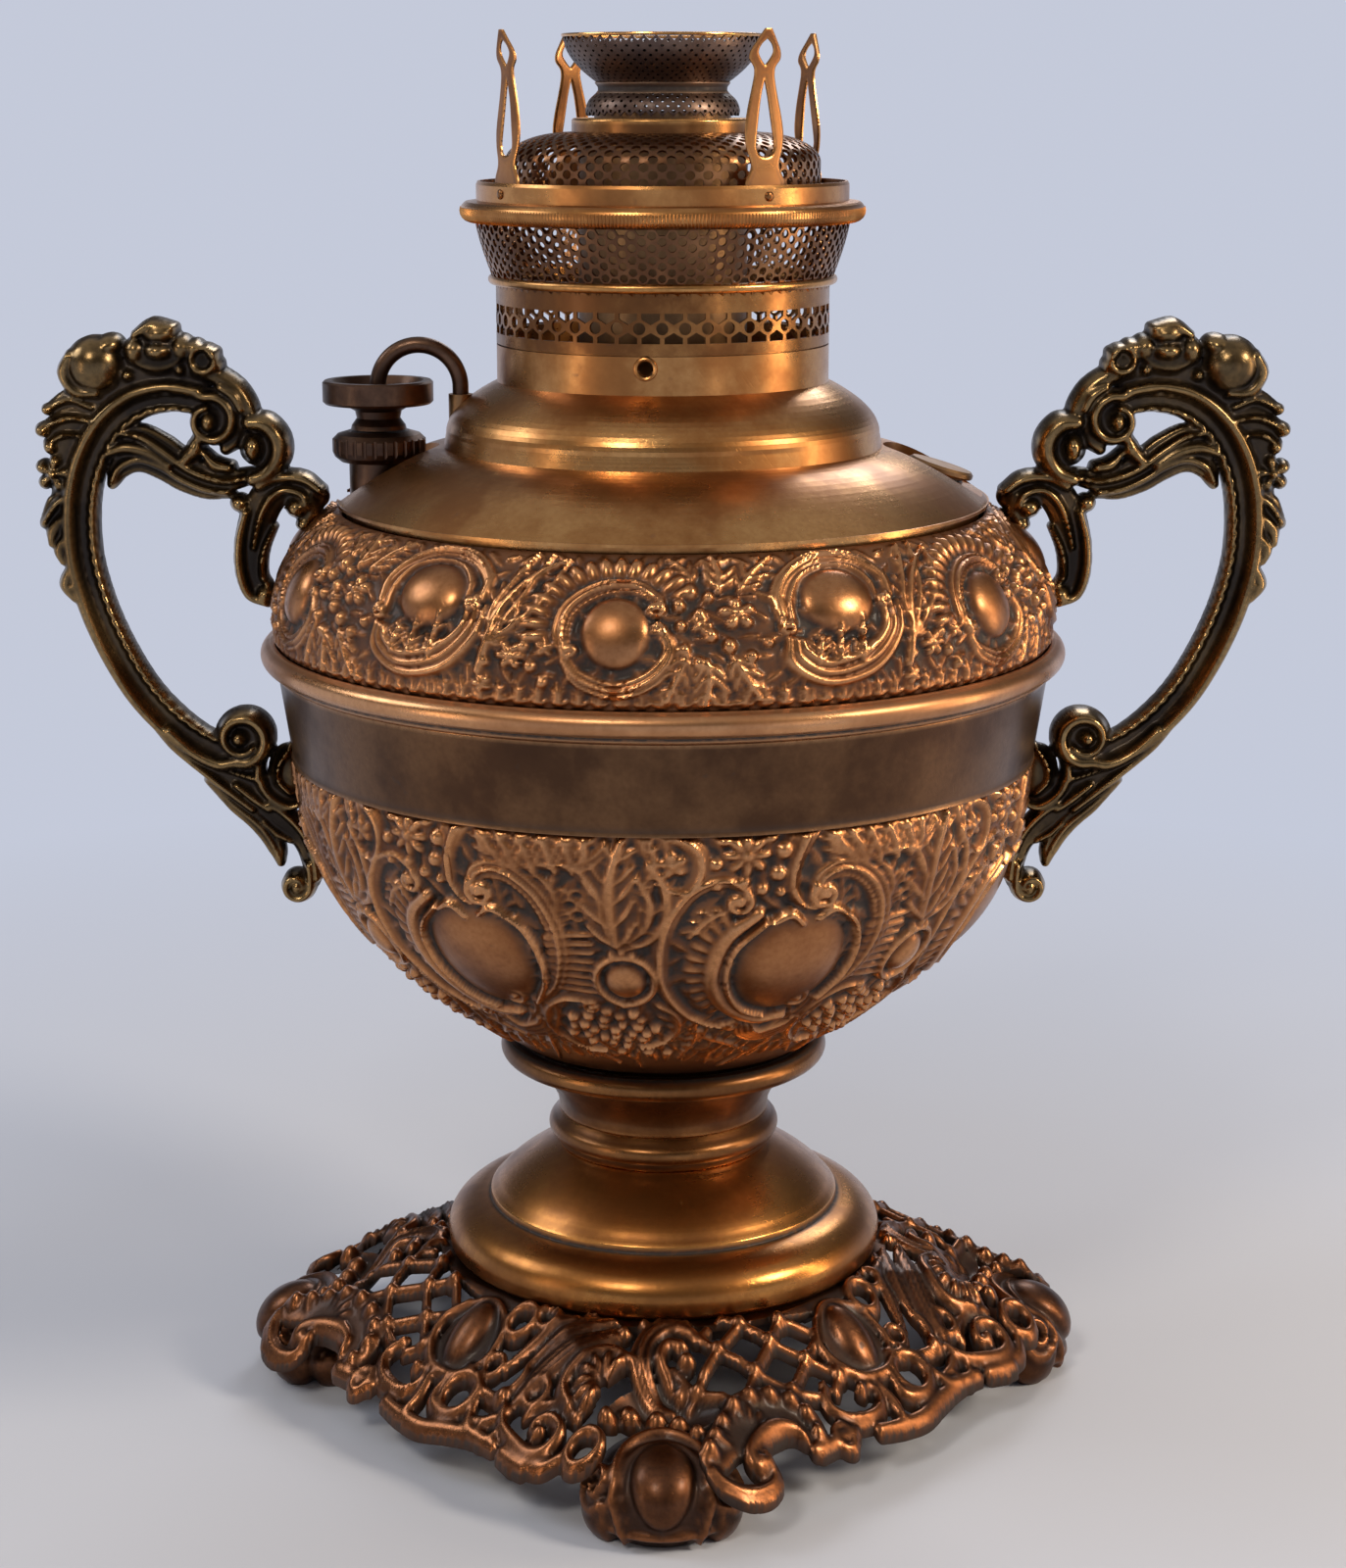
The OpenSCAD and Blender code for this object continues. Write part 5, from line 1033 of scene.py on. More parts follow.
handleStrokes = [
    # points, half widths, height, reeds
    # leafy arm with its tie bar and leaves
    ([(104.4, 143.0), (99, 137.2), (93.6, 132.2), (88, 127.8), (82, 123.4), (76.8, 119.2), (73.2, 114.6), (71.8, 109.6), (71.8, 106.6)],
     [1.0, 1.9, 2.4, 2.8, 3.0, 2.7, 2.3, 2.0, 1.6], 1.9, 0),
    ([(104.4, 141.8), (99.4, 135.6), (94, 130.8), (88.4, 126.2), (83.2, 122.0)], [0.7, 1.1, 1.2, 1.1, 0.7], 3.8, 0),
    ([(80.2, 123.4), (76.0, 120.4), (72.8, 116.4), (71.0, 111.2), (70.6, 107.4)], [0.7, 1.0, 1.1, 1.1, 0.9], 3.7, 0),
    ([(92.4, 127.8), (87.0, 122.8), (82.0, 118.4), (79.0, 113.6), (78.2, 110.4)], [0.9, 1.9, 2.2, 1.9, 0.9], 3.4, 3),
    ([(86.6, 127.2), (83.0, 124.4), (79.8, 122.0)], [0.7, 1.2, 0.7], 3.9, 0),
    ([(81.4, 119.2), (78.2, 116.6), (75.8, 115.2)], [0.9, 1.5, 0.9], 3.2, 2),
    ([(91.0, 131.2), (86.4, 129.6), (80.8, 127.8)], [1.0, 1.4, 1.5], 3.7, 2),
    # shell bud
    ([(80.6, 133.8), (82.0, 129.6), (80.2, 125.2), (76.2, 122.6), (73.2, 123.4)], [0.8, 1.3, 1.4, 1.2, 0.8], 3.5, 0),
    ([(75.4, 134.8), (77.6, 131.4), (77.8, 128.0), (75.6, 125.4)], [0.8, 1.3, 1.3, 0.8], 4.4, 2),
    # broad leaf in two folds under the band's head
    ([(106.8, 198.4), (102.8, 197.6), (98.6, 194.9), (94.4, 191.7), (90.0, 189.7), (85.8, 189.0), (81.6, 189.8)], [1.2, 2.4, 2.9, 2.8, 2.5, 2.2, 1.7], 4.0, 2),
    ([(109.2, 188.2), (107.4, 191.6), (103.6, 193.2), (99.2, 191.8), (95.0, 189.2), (90.6, 187.3), (86.2, 186.6)], [1.1, 2.3, 2.7, 2.8, 2.6, 2.2, 1.4], 3.4, 2),
    ([(109.6, 194.4), (106.0, 195.6), (101.4, 194.6), (97.4, 192.0)], [0.9, 1.6, 1.7, 0.9], 3.9, 0),
    ([(94.4, 193.0), (92.6, 195.0), (91.6, 197.0)], [1.5, 1.9, 1.6], 4.1, 0),
    ([(90.4, 194.4), (88.4, 192.2), (85.6, 191.6)], [0.9, 1.5, 1.2], 3.9, 0),
    # fat roll towards the body and the smooth leaf above it
    ([(81.4, 200.6), (78.2, 200.2), (75.9, 197.4), (75.8, 193.8), (78.0, 190.6), (81.0, 189.4)], [1.8, 2.3, 2.4, 2.4, 2.2, 1.8], 4.9, 0),
    ([(91.4, 210.6), (87.4, 209.4), (84.0, 207.0), (81.8, 203.8), (80.9, 200.6)], [1.5, 2.2, 2.3, 2.1, 1.8], 3.6, 0),
    ([(87.0, 207.6), (84.2, 205.8), (82.8, 203.0)], [0.9, 1.6, 1.0], 4.6, 0),
    ([(85.2, 204.4), (84.0, 200.6), (84.4, 197.0), (86.4, 195.2)], [1.5, 1.9, 1.7, 1.3], 2.6, 0),
    # hook: strap, outer rail and thin inner rail
    ([(68.8, 185.6), (71.6, 187.8), (75.2, 187.8), (78.5, 185.4), (80.8, 181.0), (82.1, 175.5), (82.3, 170.6), (81.2, 167.0), (79.4, 165.8)],
     [2.5, 3.0, 3.3, 3.6, 3.6, 3.3, 2.9, 2.5, 2.0], 1.7, 0),
    ([(67.6, 187.0), (71.0, 189.4), (75.6, 189.7), (80.0, 187.8)], [1.0, 1.3, 1.3, 1.0], 4.2, 0),
    ([(82.6, 182.8), (84.1, 177.2), (84.2, 171.0), (82.6, 166.2), (79.0, 164.4)], [0.9, 1.2, 1.3, 1.3, 1.0], 4.2, 0),
    ([(70.4, 184.0), (71.6, 186.4), (75.0, 187.2), (77.8, 185.4), (80.0, 181.2), (81.4, 175.6)], [0.8, 1.0, 1.1, 1.1, 0.8, 0.4], 3.9, 0),
    ([(77.2, 179.6), (79.3, 174.8), (79.8, 170.2), (78.6, 168.0)], [0.6, 0.8, 0.8, 0.6], 3.4, 0),
    ([(70.0, 186.0), (69.8, 182.8), (71.4, 180.6)], [1.9, 2.2, 1.6], 2.6, 0),
    # ground under the flowers, following the band's head
    ([(112.8, 204.6), (107.4, 208.4), (101.4, 210.4), (95.6, 210.8), (89.6, 209.6)], [2.4, 3.3, 3.3, 3.1, 2.2], 1.9, 0),
    ([(118.8, 190.0), (118.0, 197.0), (114.6, 202.6)], [1.8, 2.6, 2.6], 1.9, 0),
    ([(119.6, 177.6), (119.8, 184.0), (119.0, 190.0)], [1.2, 1.8, 1.8], 1.9, 0),
    # leaves down the outer side
    ([(112.0, 203.4), (116.6, 205.0), (121.0, 203.2)], [1.8, 2.1, 1.0], 3.7, 2),
    ([(112.6, 201.0), (117.2, 201.4), (121.6, 199.6)], [1.7, 2.1, 1.3], 4.5, 2),
    ([(114.6, 198.0), (118.2, 198.0), (121.4, 196.2)], [1.6, 1.9, 1.2], 3.9, 2),
    ([(117.6, 186.6), (120.4, 184.0), (122.8, 180.4)], [1.5, 2.2, 1.2], 4.4, 2),
    ([(118.6, 181.8), (120.8, 179.2), (121.4, 176.4)], [1.5, 1.9, 1.0], 3.8, 0),
    ([(118.6, 177.6), (119.9, 175.2), (119.2, 172.8)], [1.3, 1.6, 1.0], 4.2, 0),
    ([(118.2, 171.4), (118.8, 168.2), (117.2, 165.4)], [1.0, 1.9, 1.1], 4.2, 0),
    ([(115.4, 164.4), (115.2, 162.0), (113.6, 160.0)], [0.9, 1.3, 0.8], 3.4, 0),
    # cup of the fruit and the ruffled edge of the large flower
    ([(116.2, 213.8), (117.4, 210.2), (115.2, 206.8), (111.0, 206.2)], [1.0, 1.7, 1.7, 1.0], 4.4, 0),
    ([(113.6, 208.6), (110.8, 208.0), (108.2, 209.6)], [0.8, 1.2, 0.8], 5.0, 0),
    ([(94.2, 213.2), (96.6, 211.8), (100.2, 211.4), (103.6, 212.6)], [1.0, 1.5, 1.5, 1.0], 3.6, 0),
    ([(103.2, 217.6), (99.8, 219.4), (95.8, 219.0)], [1.0, 1.6, 1.0], 4.6, 0),
]
handleMasses = [
    # x, z, radii, height, turn
    (84.8, 136.8, 6.1, 6.1, 2.4, 0), (85.5, 137.0, 2.1, 2.1, 5.2, 0), (76.4, 129.2, 3.9, 6.0, 2.4, 0), (74.9, 105.9, 3.2, 3.2, 2.2, 0),
    (74.8, 106.0, 1.7, 1.7, 4.8, 0), (89.0, 200.6, 3.6, 3.9, 2.2, 0), (89.4, 200.6, 1.8, 2.4, 5.4, 0), (80.6, 195.4, 3.2, 3.6, 2.6, 0),
    (80.7, 195.6, 2.2, 3.1, 5.8, 0), (92.2, 195.4, 2.0, 2.2, 4.5, 0), (84.0, 184.4, 2.0, 1.9, 3.6, 0), (82.8, 182.4, 1.3, 1.3, 3.2, 0),
    (72.6, 183.6, 2.4, 2.2, 4.4, 0), (71.3, 180.2, 1.8, 1.5, 3.4, 0), (79.3, 166.2, 2.1, 2.1, 4.7, 0), (111.4, 211.6, 5.9, 5.9, 6.2, 0),
    (108.8, 215.2, 3.4, 2.6, 4.6, -20), (98.8, 214.0, 5.9, 4.9, 4.0, 0), (98.6, 214.6, 3.5, 2.2, 6.2, 0), (98.4, 217.8, 3.9, 2.4, 5.4, 0),
    (103.2, 214.6, 2.6, 3.1, 5.0, 20), (94.2, 215.0, 2.6, 2.9, 4.8, -20), (90.2, 212.6, 3.1, 3.1, 3.4, 0), (91.6, 215.2, 1.9, 1.7, 5.0, 0),
    (87.6, 211.6, 1.6, 1.9, 4.4, 0), (88.2, 214.0, 1.5, 1.4, 4.6, 0), (105.0, 209.8, 1.5, 1.5, 4.0, 0), (94.6, 210.8, 1.4, 1.3, 3.8, 0),
    (122.2, 199.0, 1.7, 1.6, 5.0, 0), (120.8, 195.6, 1.6, 1.6, 4.4, 0), (121.2, 203.0, 1.3, 1.2, 4.2, 0), (117.4, 168.0, 1.5, 1.6, 4.6, 0),
]


def spiralPath(x, y, r0, r1, start, sweep, count=14):
    a = np.radians(start + sweep * np.linspace(0, 1, count))
    q = np.linspace(r0, r1, count)
    return list(zip(x + q * np.cos(a), y + q * np.sin(a)))


def handleMotif(canvas):
    band = [(91.4, 205.0), (97, 205.7), (103.5, 204.3), (108.8, 200.4), (112.6, 194.8), (114.9, 188.2), (115.8, 180.8), (115.5, 173.2),
            (114.0, 166.2), (111.8, 159.6), (108.6, 152.6), (104.8, 146.2), (100.2, 140.8), (95.2, 136.6), (90.4, 133.8)]
    # broad band: a web, the rounded outer rail with its fine line, and a rope along the inner side
    rim(canvas, band, [2.8, 3.2, 3.5, 3.7, 3.7, 3.7, 3.7, 3.6, 3.5, 3.4, 3.2, 3.0, 2.8, 2.6], 1.9, power=0.2)
    rim(canvas, offsetPath(band, 2.0), [1.0, 1.5, 1.75, 1.85, 1.85, 1.85, 1.8, 1.7, 1.6, 1.5, 1.3], 4.6, power=0.5)
    rim(canvas, offsetPath(band, 0.35), [0.3, 0.4, 0.4, 0.4, 0.3], 3.2)
    rim(canvas, offsetPath(band, -2.5), [0.6, 0.9, 1.15, 1.2, 1.2, 1.2, 1.2, 1.1, 0.8], 3.4, twist=2.6)
    for points, widths, height, reeds in handleStrokes:
        rim(canvas, points, widths, height, reeds)
    for x, z, rx, rz, height, turn in handleMasses:
        boss(canvas, x, z, rx, rz, height, 0.5, turn)
    # the band's two ends wind up, and so does the arm
    rim(canvas, [(99.6, 138.8), (94.8, 134.2), (90.0, 131.8)] + spiralPath(84.9, 137.0, 5.2, 2.9, -70, -430), [1.2, 1.6, 1.8, 1.9, 1.9, 1.8, 1.5, 1.2, 1.0, 0.8], 5.0)
    rim(canvas, [(98, 207.6), (92.6, 206.8)] + spiralPath(89.0, 200.9, 5.0, 2.6, 75, 360), [1.2, 1.5, 1.5, 1.4, 1.3, 1.1, 0.9], 4.6)
    rim(canvas, [(72.2, 110.4)] + spiralPath(74.9, 105.9, 3.0, 1.0, 165, 500), [1.1, 1.2, 1.1, 0.9, 0.7], 4.2)
    flower(canvas, 120.4, 190.4, 4.1, 5, 4.9, 0.5)
    boss(canvas, 120.4, 190.4, 1.3, 1.3, 5.3)
    rim(canvas, spiralPath(89.9, 212.8, 2.3, 2.3, 0, 360), [0.9, 0.9], 4.9)


def makeHandles():
    look = handleLook
    canvas = newCanvas(*look["box"], look["step"])
    handleMotif(canvas)
    depth = blurred(canvas["h"], look["round"], False) + look["edge"] * np.clip(canvas["inside"] / 0.8, 0, 1) ** 0.5 * 0.6 + 0.35
    # wear on the high points; grime and painted shade in the hollows of the casting
    wear, grimeAndShade = reliefMarks(np.where(canvas["inside"] > 0, depth, 0), 2.2, 6.0, 0.75)
    flat, spots, faces, edges = clippedField(canvas)
    t = sampled(depth, spots)
    marks = {"wear": np.tile(sampled(wear, spots), 2), "grimeAndShade": np.tile(sampled(grimeAndShade, spots), 2)}
    for name, node, side in (("rightHandle", "right_handle", 1), ("leftHandle", "left_handle", -1)):
        front = np.c_[side * flat[:, 0], -t, flat[:, 1]]
        back = front * (1, -1, 1)
        points, shape = doubled(flat, front, back, faces, edges)
        if side < 0:
            shape = [f[::-1] for f in shape]
        makePiece(name, points, shape, "handleBronze", "stand", (node,), marks, 80)
    print("handles are cast", len(faces))


makeHandles()


# foot: drawn from above in millimetres, one quarter with its corner foot at -y, then turned to the other three

footLook = {"step": 0.51, "reach": 84.0, "seat": 28.3, "seatRadius": 44.9, "sideReach": 65.2, "sideHeight": 13.0, "cornerAt": 71.3,
            "cornerRadius": 15.6, "crown": 16.6, "thin": 1.25, "round": 0.62,
            "boss": {"radius": 13.9, "waist": 6.2, "columns": 132, "rows": 66, "length": 30.0}}

footStrokes = [
    # points, half widths, height, reeds
    ([(9.4, -78), (12.4, -72.2), (17.2, -66.6), (22.4, -63.4), (27, -64.2)], [2.6, 3.4, 3.6, 3.2, 2.0], 0.9, 0),
    ([(8.4, -78.4), (9.6, -73.2), (12.0, -68.4), (16.0, -63.3), (20.8, -60.0), (25.2, -59.0), (28.7, -60.0), (30.7, -63.6), (29.2, -66.4)],
     [1.4, 1.9, 2.1, 2.1, 2.1, 2.1, 1.9, 1.5, 1.1], 1.7, 0),
    ([(27.3, -65.5), (25.0, -64.8), (21.4, -66.6), (18.2, -70.8), (16.8, -74.7), (18.3, -76.2), (20.3, -74.0), (19.6, -72.9)],
     [0.9, 1.5, 1.9, 1.9, 1.6, 1.3, 1.1, 0.9], 2.7, 0),
    ([(9.5, -80.6), (11.8, -82.0), (15.6, -81.8), (19.2, -79.6), (21.4, -76.3), (20.8, -73.7)], [1.5, 1.8, 1.9, 1.8, 1.5, 1.0], 2.1, 2),
    ([(5.1, -63.9), (6.6, -61.8), (10.7, -53.0), (15.0, -45.7)], [1.0, 1.0], 1.5, 0),
    ([(16.0, -63.8), (18.0, -56.2), (21.1, -48.1), (22.9, -42.2)], [1.0, 1.0], 1.5, 0),
    ([(24.4, -59.4), (25.3, -56.4), (28.2, -48.1), (30.6, -42.3)], [1.0, 1.0], 1.5, 0),
    ([(33.8, -51.9), (34.6, -48.2)], [1.0, 1.0], 1.5, 0),
    ([(22.9, -42.2), (29.9, -41.8)], [1.0, 1.0], 1.5, 0),
    ([(11.0, -44.2), (15.0, -45.7), (21.1, -48.1), (28.2, -48.1), (34.6, -48.2)], [1.0, 1.0], 1.5, 0),
    ([(5.9, -49.3), (10.7, -53.0), (18.0, -56.2), (25.3, -56.4), (31.0, -54.6)], [1.0, 1.0], 1.5, 0),
    ([(1.9, -58.0), (6.6, -61.8), (13.2, -64.8)], [1.0, 1.0], 1.5, 0),
    ([(4.4, -46.0), (6.4, -50.6), (8.6, -48.0)], [1.1, 1.1], 1.4, 0),
    ([(30.4, -38.9), (31.0, -43.9), (34.5, -46.5), (39.8, -46.2), (44.2, -42.6), (45.9, -38.7)], [0.8, 1.1, 1.4, 1.4, 1.2, 0.9], 2.3, 0),
    ([(30.6, -39.4), (31.6, -35.4), (35.0, -32.4), (40.0, -31.6), (44.2, -34.2), (45.9, -38.7)], [0.7, 0.9, 1.0, 1.0, 0.9, 0.7], 1.9, 0),
    ([(31.4, -51.9), (32.3, -55.9), (36.4, -56.4), (41.1, -53.2), (42.9, -49.4), (41.0, -47.4), (38.4, -49.6)], [1.1, 1.5, 1.7, 1.6, 1.3, 1.1, 0.9], 2.5, 2),
    ([(44.6, -42.4), (47.8, -45.4), (51.8, -43.4), (53.4, -39.4), (51.4, -36.0), (47.6, -36.4)], [0.9, 1.2, 1.4, 1.4, 1.2, 0.9], 2.3, 0),
    ([(50.8, -35.6), (54.6, -31.8), (53.2, -27.6), (50.8, -26.2)], [1.0, 1.3, 1.2, 0.8], 2.0, 0),
    ([(49.2, -7.0), (50.3, -13.0), (52.2, -19.5), (54.6, -24.6), (57.4, -28.6)], [1.2, 2.5, 3.3, 2.9, 1.2], 2.4, 5),
    ([(45.8, -9.4), (46.2, -14.6), (47.6, -20.2), (50.4, -25.6)], [0.8, 1.7, 2.0, 1.0], 2.1, 3),
    ([(44.6, -15.0), (43.9, -20.6), (46.4, -25.4), (48.6, -30.8)], [0.9, 1.5, 1.6, 0.9], 2.0, 3),
    ([(64.1, -17.9), (58.9, -19.2), (55.4, -16.0), (53.9, -10.3), (56.9, -5.8)], [1.1, 1.6, 1.7, 1.5, 1.0], 2.6, 0),
    ([(49.5, 5.9), (47.5, 1.6), (50.5, -2.7), (56.7, -4.4), (62.0, -1.9), (64.2, 1.6)], [1.2, 1.9, 2.3, 2.3, 1.9, 1.2], 2.8, 3),
    ([(53.1, 4.2), (52.4, 1.0), (56.0, -0.6), (60.7, 1.6)], [0.9, 1.4, 1.4, 0.9], 2.2, 0),
    ([(57.2, -30.6), (61.0, -30.8), (65.4, -28.6), (69.6, -25.5), (70.6, -22.0), (67.8, -19.6), (64.2, -21.6), (64.4, -24.8), (67.2, -24.6)],
     [0.9, 1.3, 1.6, 1.7, 1.6, 1.4, 1.2, 1.0, 0.8], 2.5, 0),
    ([(60.8, -26.4), (60.4, -23.0), (62.2, -19.6), (66.6, -16.2)], [0.9, 1.3, 1.4, 1.1], 1.9, 2),
    ([(30.2, -66.0), (33.4, -62.4), (37.4, -58.6)], [1.2, 1.5, 1.2], 1.7, 0),
    ([(42.4, -55.4), (46.8, -52.0), (51.6, -47.6), (55.6, -41.6), (59.8, -36.0), (63.8, -32.4)], [1.1, 1.4, 1.5, 1.5, 1.4, 1.1], 1.7, 0),
    ([(70.8, -26.4), (73.2, -22.4), (73.0, -18.6)], [1.1, 1.4, 1.2], 1.7, 0),
    ([(40.0, 3.6), (43.0, 0.0), (47.2, -1.0)], [1.1, 1.4, 1.1], 1.6, 0),
    ([(56.6, -36.6), (58.6, -33.2), (58.4, -29.8)], [0.9, 1.3, 0.9], 1.9, 0),
    ([(42.6, -46.4), (45.6, -48.4), (47.2, -50.6)], [1.2, 1.5, 1.1], 2.1, 0),
    ([(44.6, -38.2), (47.6, -37.0), (50.6, -35.2)], [1.0, 1.3, 0.9], 1.9, 0),
    ([(66.0, -31.0), (69.2, -28.4), (71.6, -26.4)], [1.1, 1.4, 1.1], 1.9, 0),
    ([(53.6, -36.9), (56.8, -38.0), (59.8, -36.6)], [1.0, 1.4, 1.1], 2.0, 0),
]
footBeads = [
    # x, y, radius, height
    *[(x, y, 1.75, 3.1) for x, y in ((9.2, -77.1), (9.9, -73.4), (11.2, -69.7), (13.6, -66.0), (16.8, -62.5), (20.8, -60.2), (24.8, -59.2),
                                     (28.0, -60.2), (30.0, -63.2))],
    *[(x, y, 1.6, 2.5) for x, y in ((15.0, -45.7), (21.1, -48.1), (28.2, -48.1), (34.6, -48.2), (10.7, -53.0), (18.0, -56.2), (25.3, -56.4),
                                    (6.6, -61.8), (22.9, -42.6))],
    (18.9, -74.9, 1.5, 3.0), (38.9, -49.2, 1.3, 2.7), (55.0, -31.2, 2.0, 2.9), (66.5, -23.6, 1.5, 2.9),
    (68.0, -10.4, 2.0, 3.0), (66.1, -6.0, 2.3, 3.3), (67.1, -1.1, 2.3, 3.4), (68.6, 3.1, 2.1, 3.2), (71.2, 6.6, 1.7, 2.8),
    (52.8, 3.2, 1.7, 2.3), (56.6, 4.6, 1.9, 2.5), (61.6, 3.6, 1.7, 2.3), (47.4, -3.6, 1.4, 2.3), (43.0, -8.0, 1.5, 2.0),
]
footRings = [
    # x, y, radius, half width, height
    (49.4, -40.0, 3.6, 1.1, 2.2), (40.2, -28.0, 2.9, 1.0, 2.2), (73.6, -14.9, 3.2, 1.2, 2.2), (41.8, -22.6, 2.3, 0.9, 1.8), (60.0, -33.6, 2.2, 0.9, 1.8),
    (57.2, -24.4, 2.4, 0.9, 1.8), (46.9, -33.2, 2.0, 0.8, 1.8), (35.2, -60.8, 2.1, 0.9, 1.8), (41.4, -13.0, 2.2, 0.9, 1.8),
]
def footMotif(canvas, at):
    # at turns a point of the drawn quarter to the quarter being made
    for points, widths, height, reeds in footStrokes:
        rim(canvas, [at(*p) for p in points], widths, height, reeds, power=0.28 if height < 1 else 0.5)
    for x, y, r, height in footBeads:
        boss(canvas, *at(x, y), r, r, height)
    for x, y, r, wide, height in footRings:
        a = np.radians(np.linspace(0, 360, 13))
        rim(canvas, [at(*p) for p in zip(x + r * np.cos(a), y + r * np.sin(a))], [wide, wide], height)
    x, y = at(37.6, -38.7)
    outward = math.degrees(math.atan2(y, x))
    boss(canvas, x, y, 8.2, 6.6, 0.9, 0.2, outward)
    boss(canvas, x, y, 6.5, 4.6, 4.2, 0.55, outward)
    turn = math.degrees(math.atan2(*at(0, 1)[::-1])) - 90
    flutes(canvas, *at(17.4, -72.4), 3.6, 8.8, 40 + turn, 205 + turn, 10, 2.0)
    flutes(canvas, *at(61.2, -11.2), 1.0, 6.6, 130 + turn, 330 + turn, 7, 3.0)


def footTop(X, Y):
    # height of the casting without its ornament
    look = footLook
    r = np.hypot(X, Y)
    cone = look["seat"] - (r - 46.9) * 16.3 / 46.1
    slope = (look["seat"] - look["sideHeight"]) / (look["sideReach"] - look["seatRadius"])
    across = (np.abs(X) + np.abs(Y)) / math.sqrt(2)
    top = np.minimum(np.minimum(look["seat"], cone), look["sideHeight"] - (across - look["sideReach"]) * slope)
    away = np.minimum.reduce([np.hypot(X - a * look["cornerAt"], Y - b * look["cornerAt"]) for a, b in ((1, 0), (-1, 0), (0, 1), (0, -1))])
    # over a corner foot the casting comes down on to its crown
    share = np.clip((look["cornerRadius"] - away) / 9, 0, 1)
    share = share * share * (3 - 2 * share)
    return np.maximum(top * (1 - share) + np.minimum(top, look["crown"] + 0.3) * share, 5), away, r


def footField():
    look = footLook
    canvas = newCanvas(-look["reach"], look["reach"], -look["reach"], look["reach"], look["step"])
    X, Y = np.meshgrid(canvas["x"], canvas["y"])
    top, away, r = footTop(X, Y)
    # webs that the strokes stand on: the seat ring and the inner side of each corner foot
    canvas["inside"] = np.maximum(np.clip(np.minimum(r - (look["seatRadius"] - 4.6), look["seatRadius"] + 2.0 - r), -1, 9),
                                  np.clip(np.minimum(look["cornerRadius"] - 3.4 - away, look["cornerAt"] - 3 - r), -1, 9))
    for n in range(4):
        c, s = round(math.cos(n * math.pi / 2)), round(math.sin(n * math.pi / 2))
        footMotif(canvas, lambda x, y: (c * x - s * y, s * x + c * y))
    relief = blurred(canvas["h"], look["round"], False)
    relief = np.where(r < look["seatRadius"] + 0.6, 0, relief)
    wear, grimeAndShade = reliefMarks(np.where(canvas["inside"] > 0, relief + 1.0, 0), 2.0, 5.0, 1.0)
    flat, spots, faces, edges = clippedField(canvas)
    base = footTop(*flat.T)[0]
    high = base + sampled(relief, spots)
    low = np.maximum(np.where(np.hypot(*flat.T) < look["seatRadius"] + 1, base - 3.6, base - look["thin"]), 0)
    points, shape = doubled(flat, np.c_[flat, high], np.c_[flat, low], faces, edges)
    # the underside gets a steady share of painted shade
    return points, shape, np.r_[sampled(wear, spots), np.zeros(len(flat))], np.r_[sampled(grimeAndShade, spots), np.full(len(flat), 0.5)]


def cornerCanvas():
    # the corner foot unrolled from its crown: u outwards, v to its side
    canvas = newCanvas(-31, 31, -31, 31, 0.3)

    def around(s, degrees):
        return s * math.cos(math.radians(degrees)), s * math.sin(math.radians(degrees))

    boss(canvas, 11.4, 0, 9.2, 6.6, 2.6, 0.55)
    rim(canvas, [(20.0, -11.4), (14.5, -10.6), (8, -9.4), (1.6, -6.4), (-1.4, 0), (1.6, 6.4), (8, 9.4), (14.5, 10.6), (20.0, 11.4)], [1.3, 1.4, 1.4, 1.3, 1.2, 1.3, 1.4, 1.4, 1.3], 2.0)
    rim(canvas, [(18.4, -8.9), (12, -8.2), (5.6, -6.8), (2.6, -3.6), (1.8, 0), (2.6, 3.6), (5.6, 6.8), (12, 8.2), (18.4, 8.9)], [0.5, 0.6, 0.6, 0.5], 1.1)
    rim(canvas, [around(21.6, a) for a in range(-42, 43, 12)], [0.9, 1.0, 0.9], 1.5)
    rim(canvas, [around(27.6, a) for a in range(-46, 47, 12)], [0.9, 1.0, 0.9], 0.8)
    for side in (-1, 1):
        boss(canvas, *around(21.5, 62 * side), 6.2, 7.6, 2.6, 0.5, 62 * side)
        boss(canvas, *around(22.5, 98 * side), 5.6, 6.6, 2.2, 0.5, 98 * side)
        boss(canvas, *around(22.5, 132 * side), 5.6, 6.6, 2.0, 0.5, 132 * side)
        a = np.linspace(0, 500, 15)
        q = np.linspace(4.4, 1.0, 15)
        x, y = around(15.0, 62 * side)
        rim(canvas, np.c_[x + q * np.cos(np.radians(a)), y + side * q * np.sin(np.radians(a))], [1.1, 1.1, 0.8], 3.0)
        rim(canvas, [around(24.5, 50 * side), around(20, 48 * side), around(14.5, 42 * side), around(9.5, 60 * side)], [0.9, 1.2, 1.2, 0.8], 2.2)
    canvas["h"] = blurred(canvas["h"], 1.2, False)
    return canvas


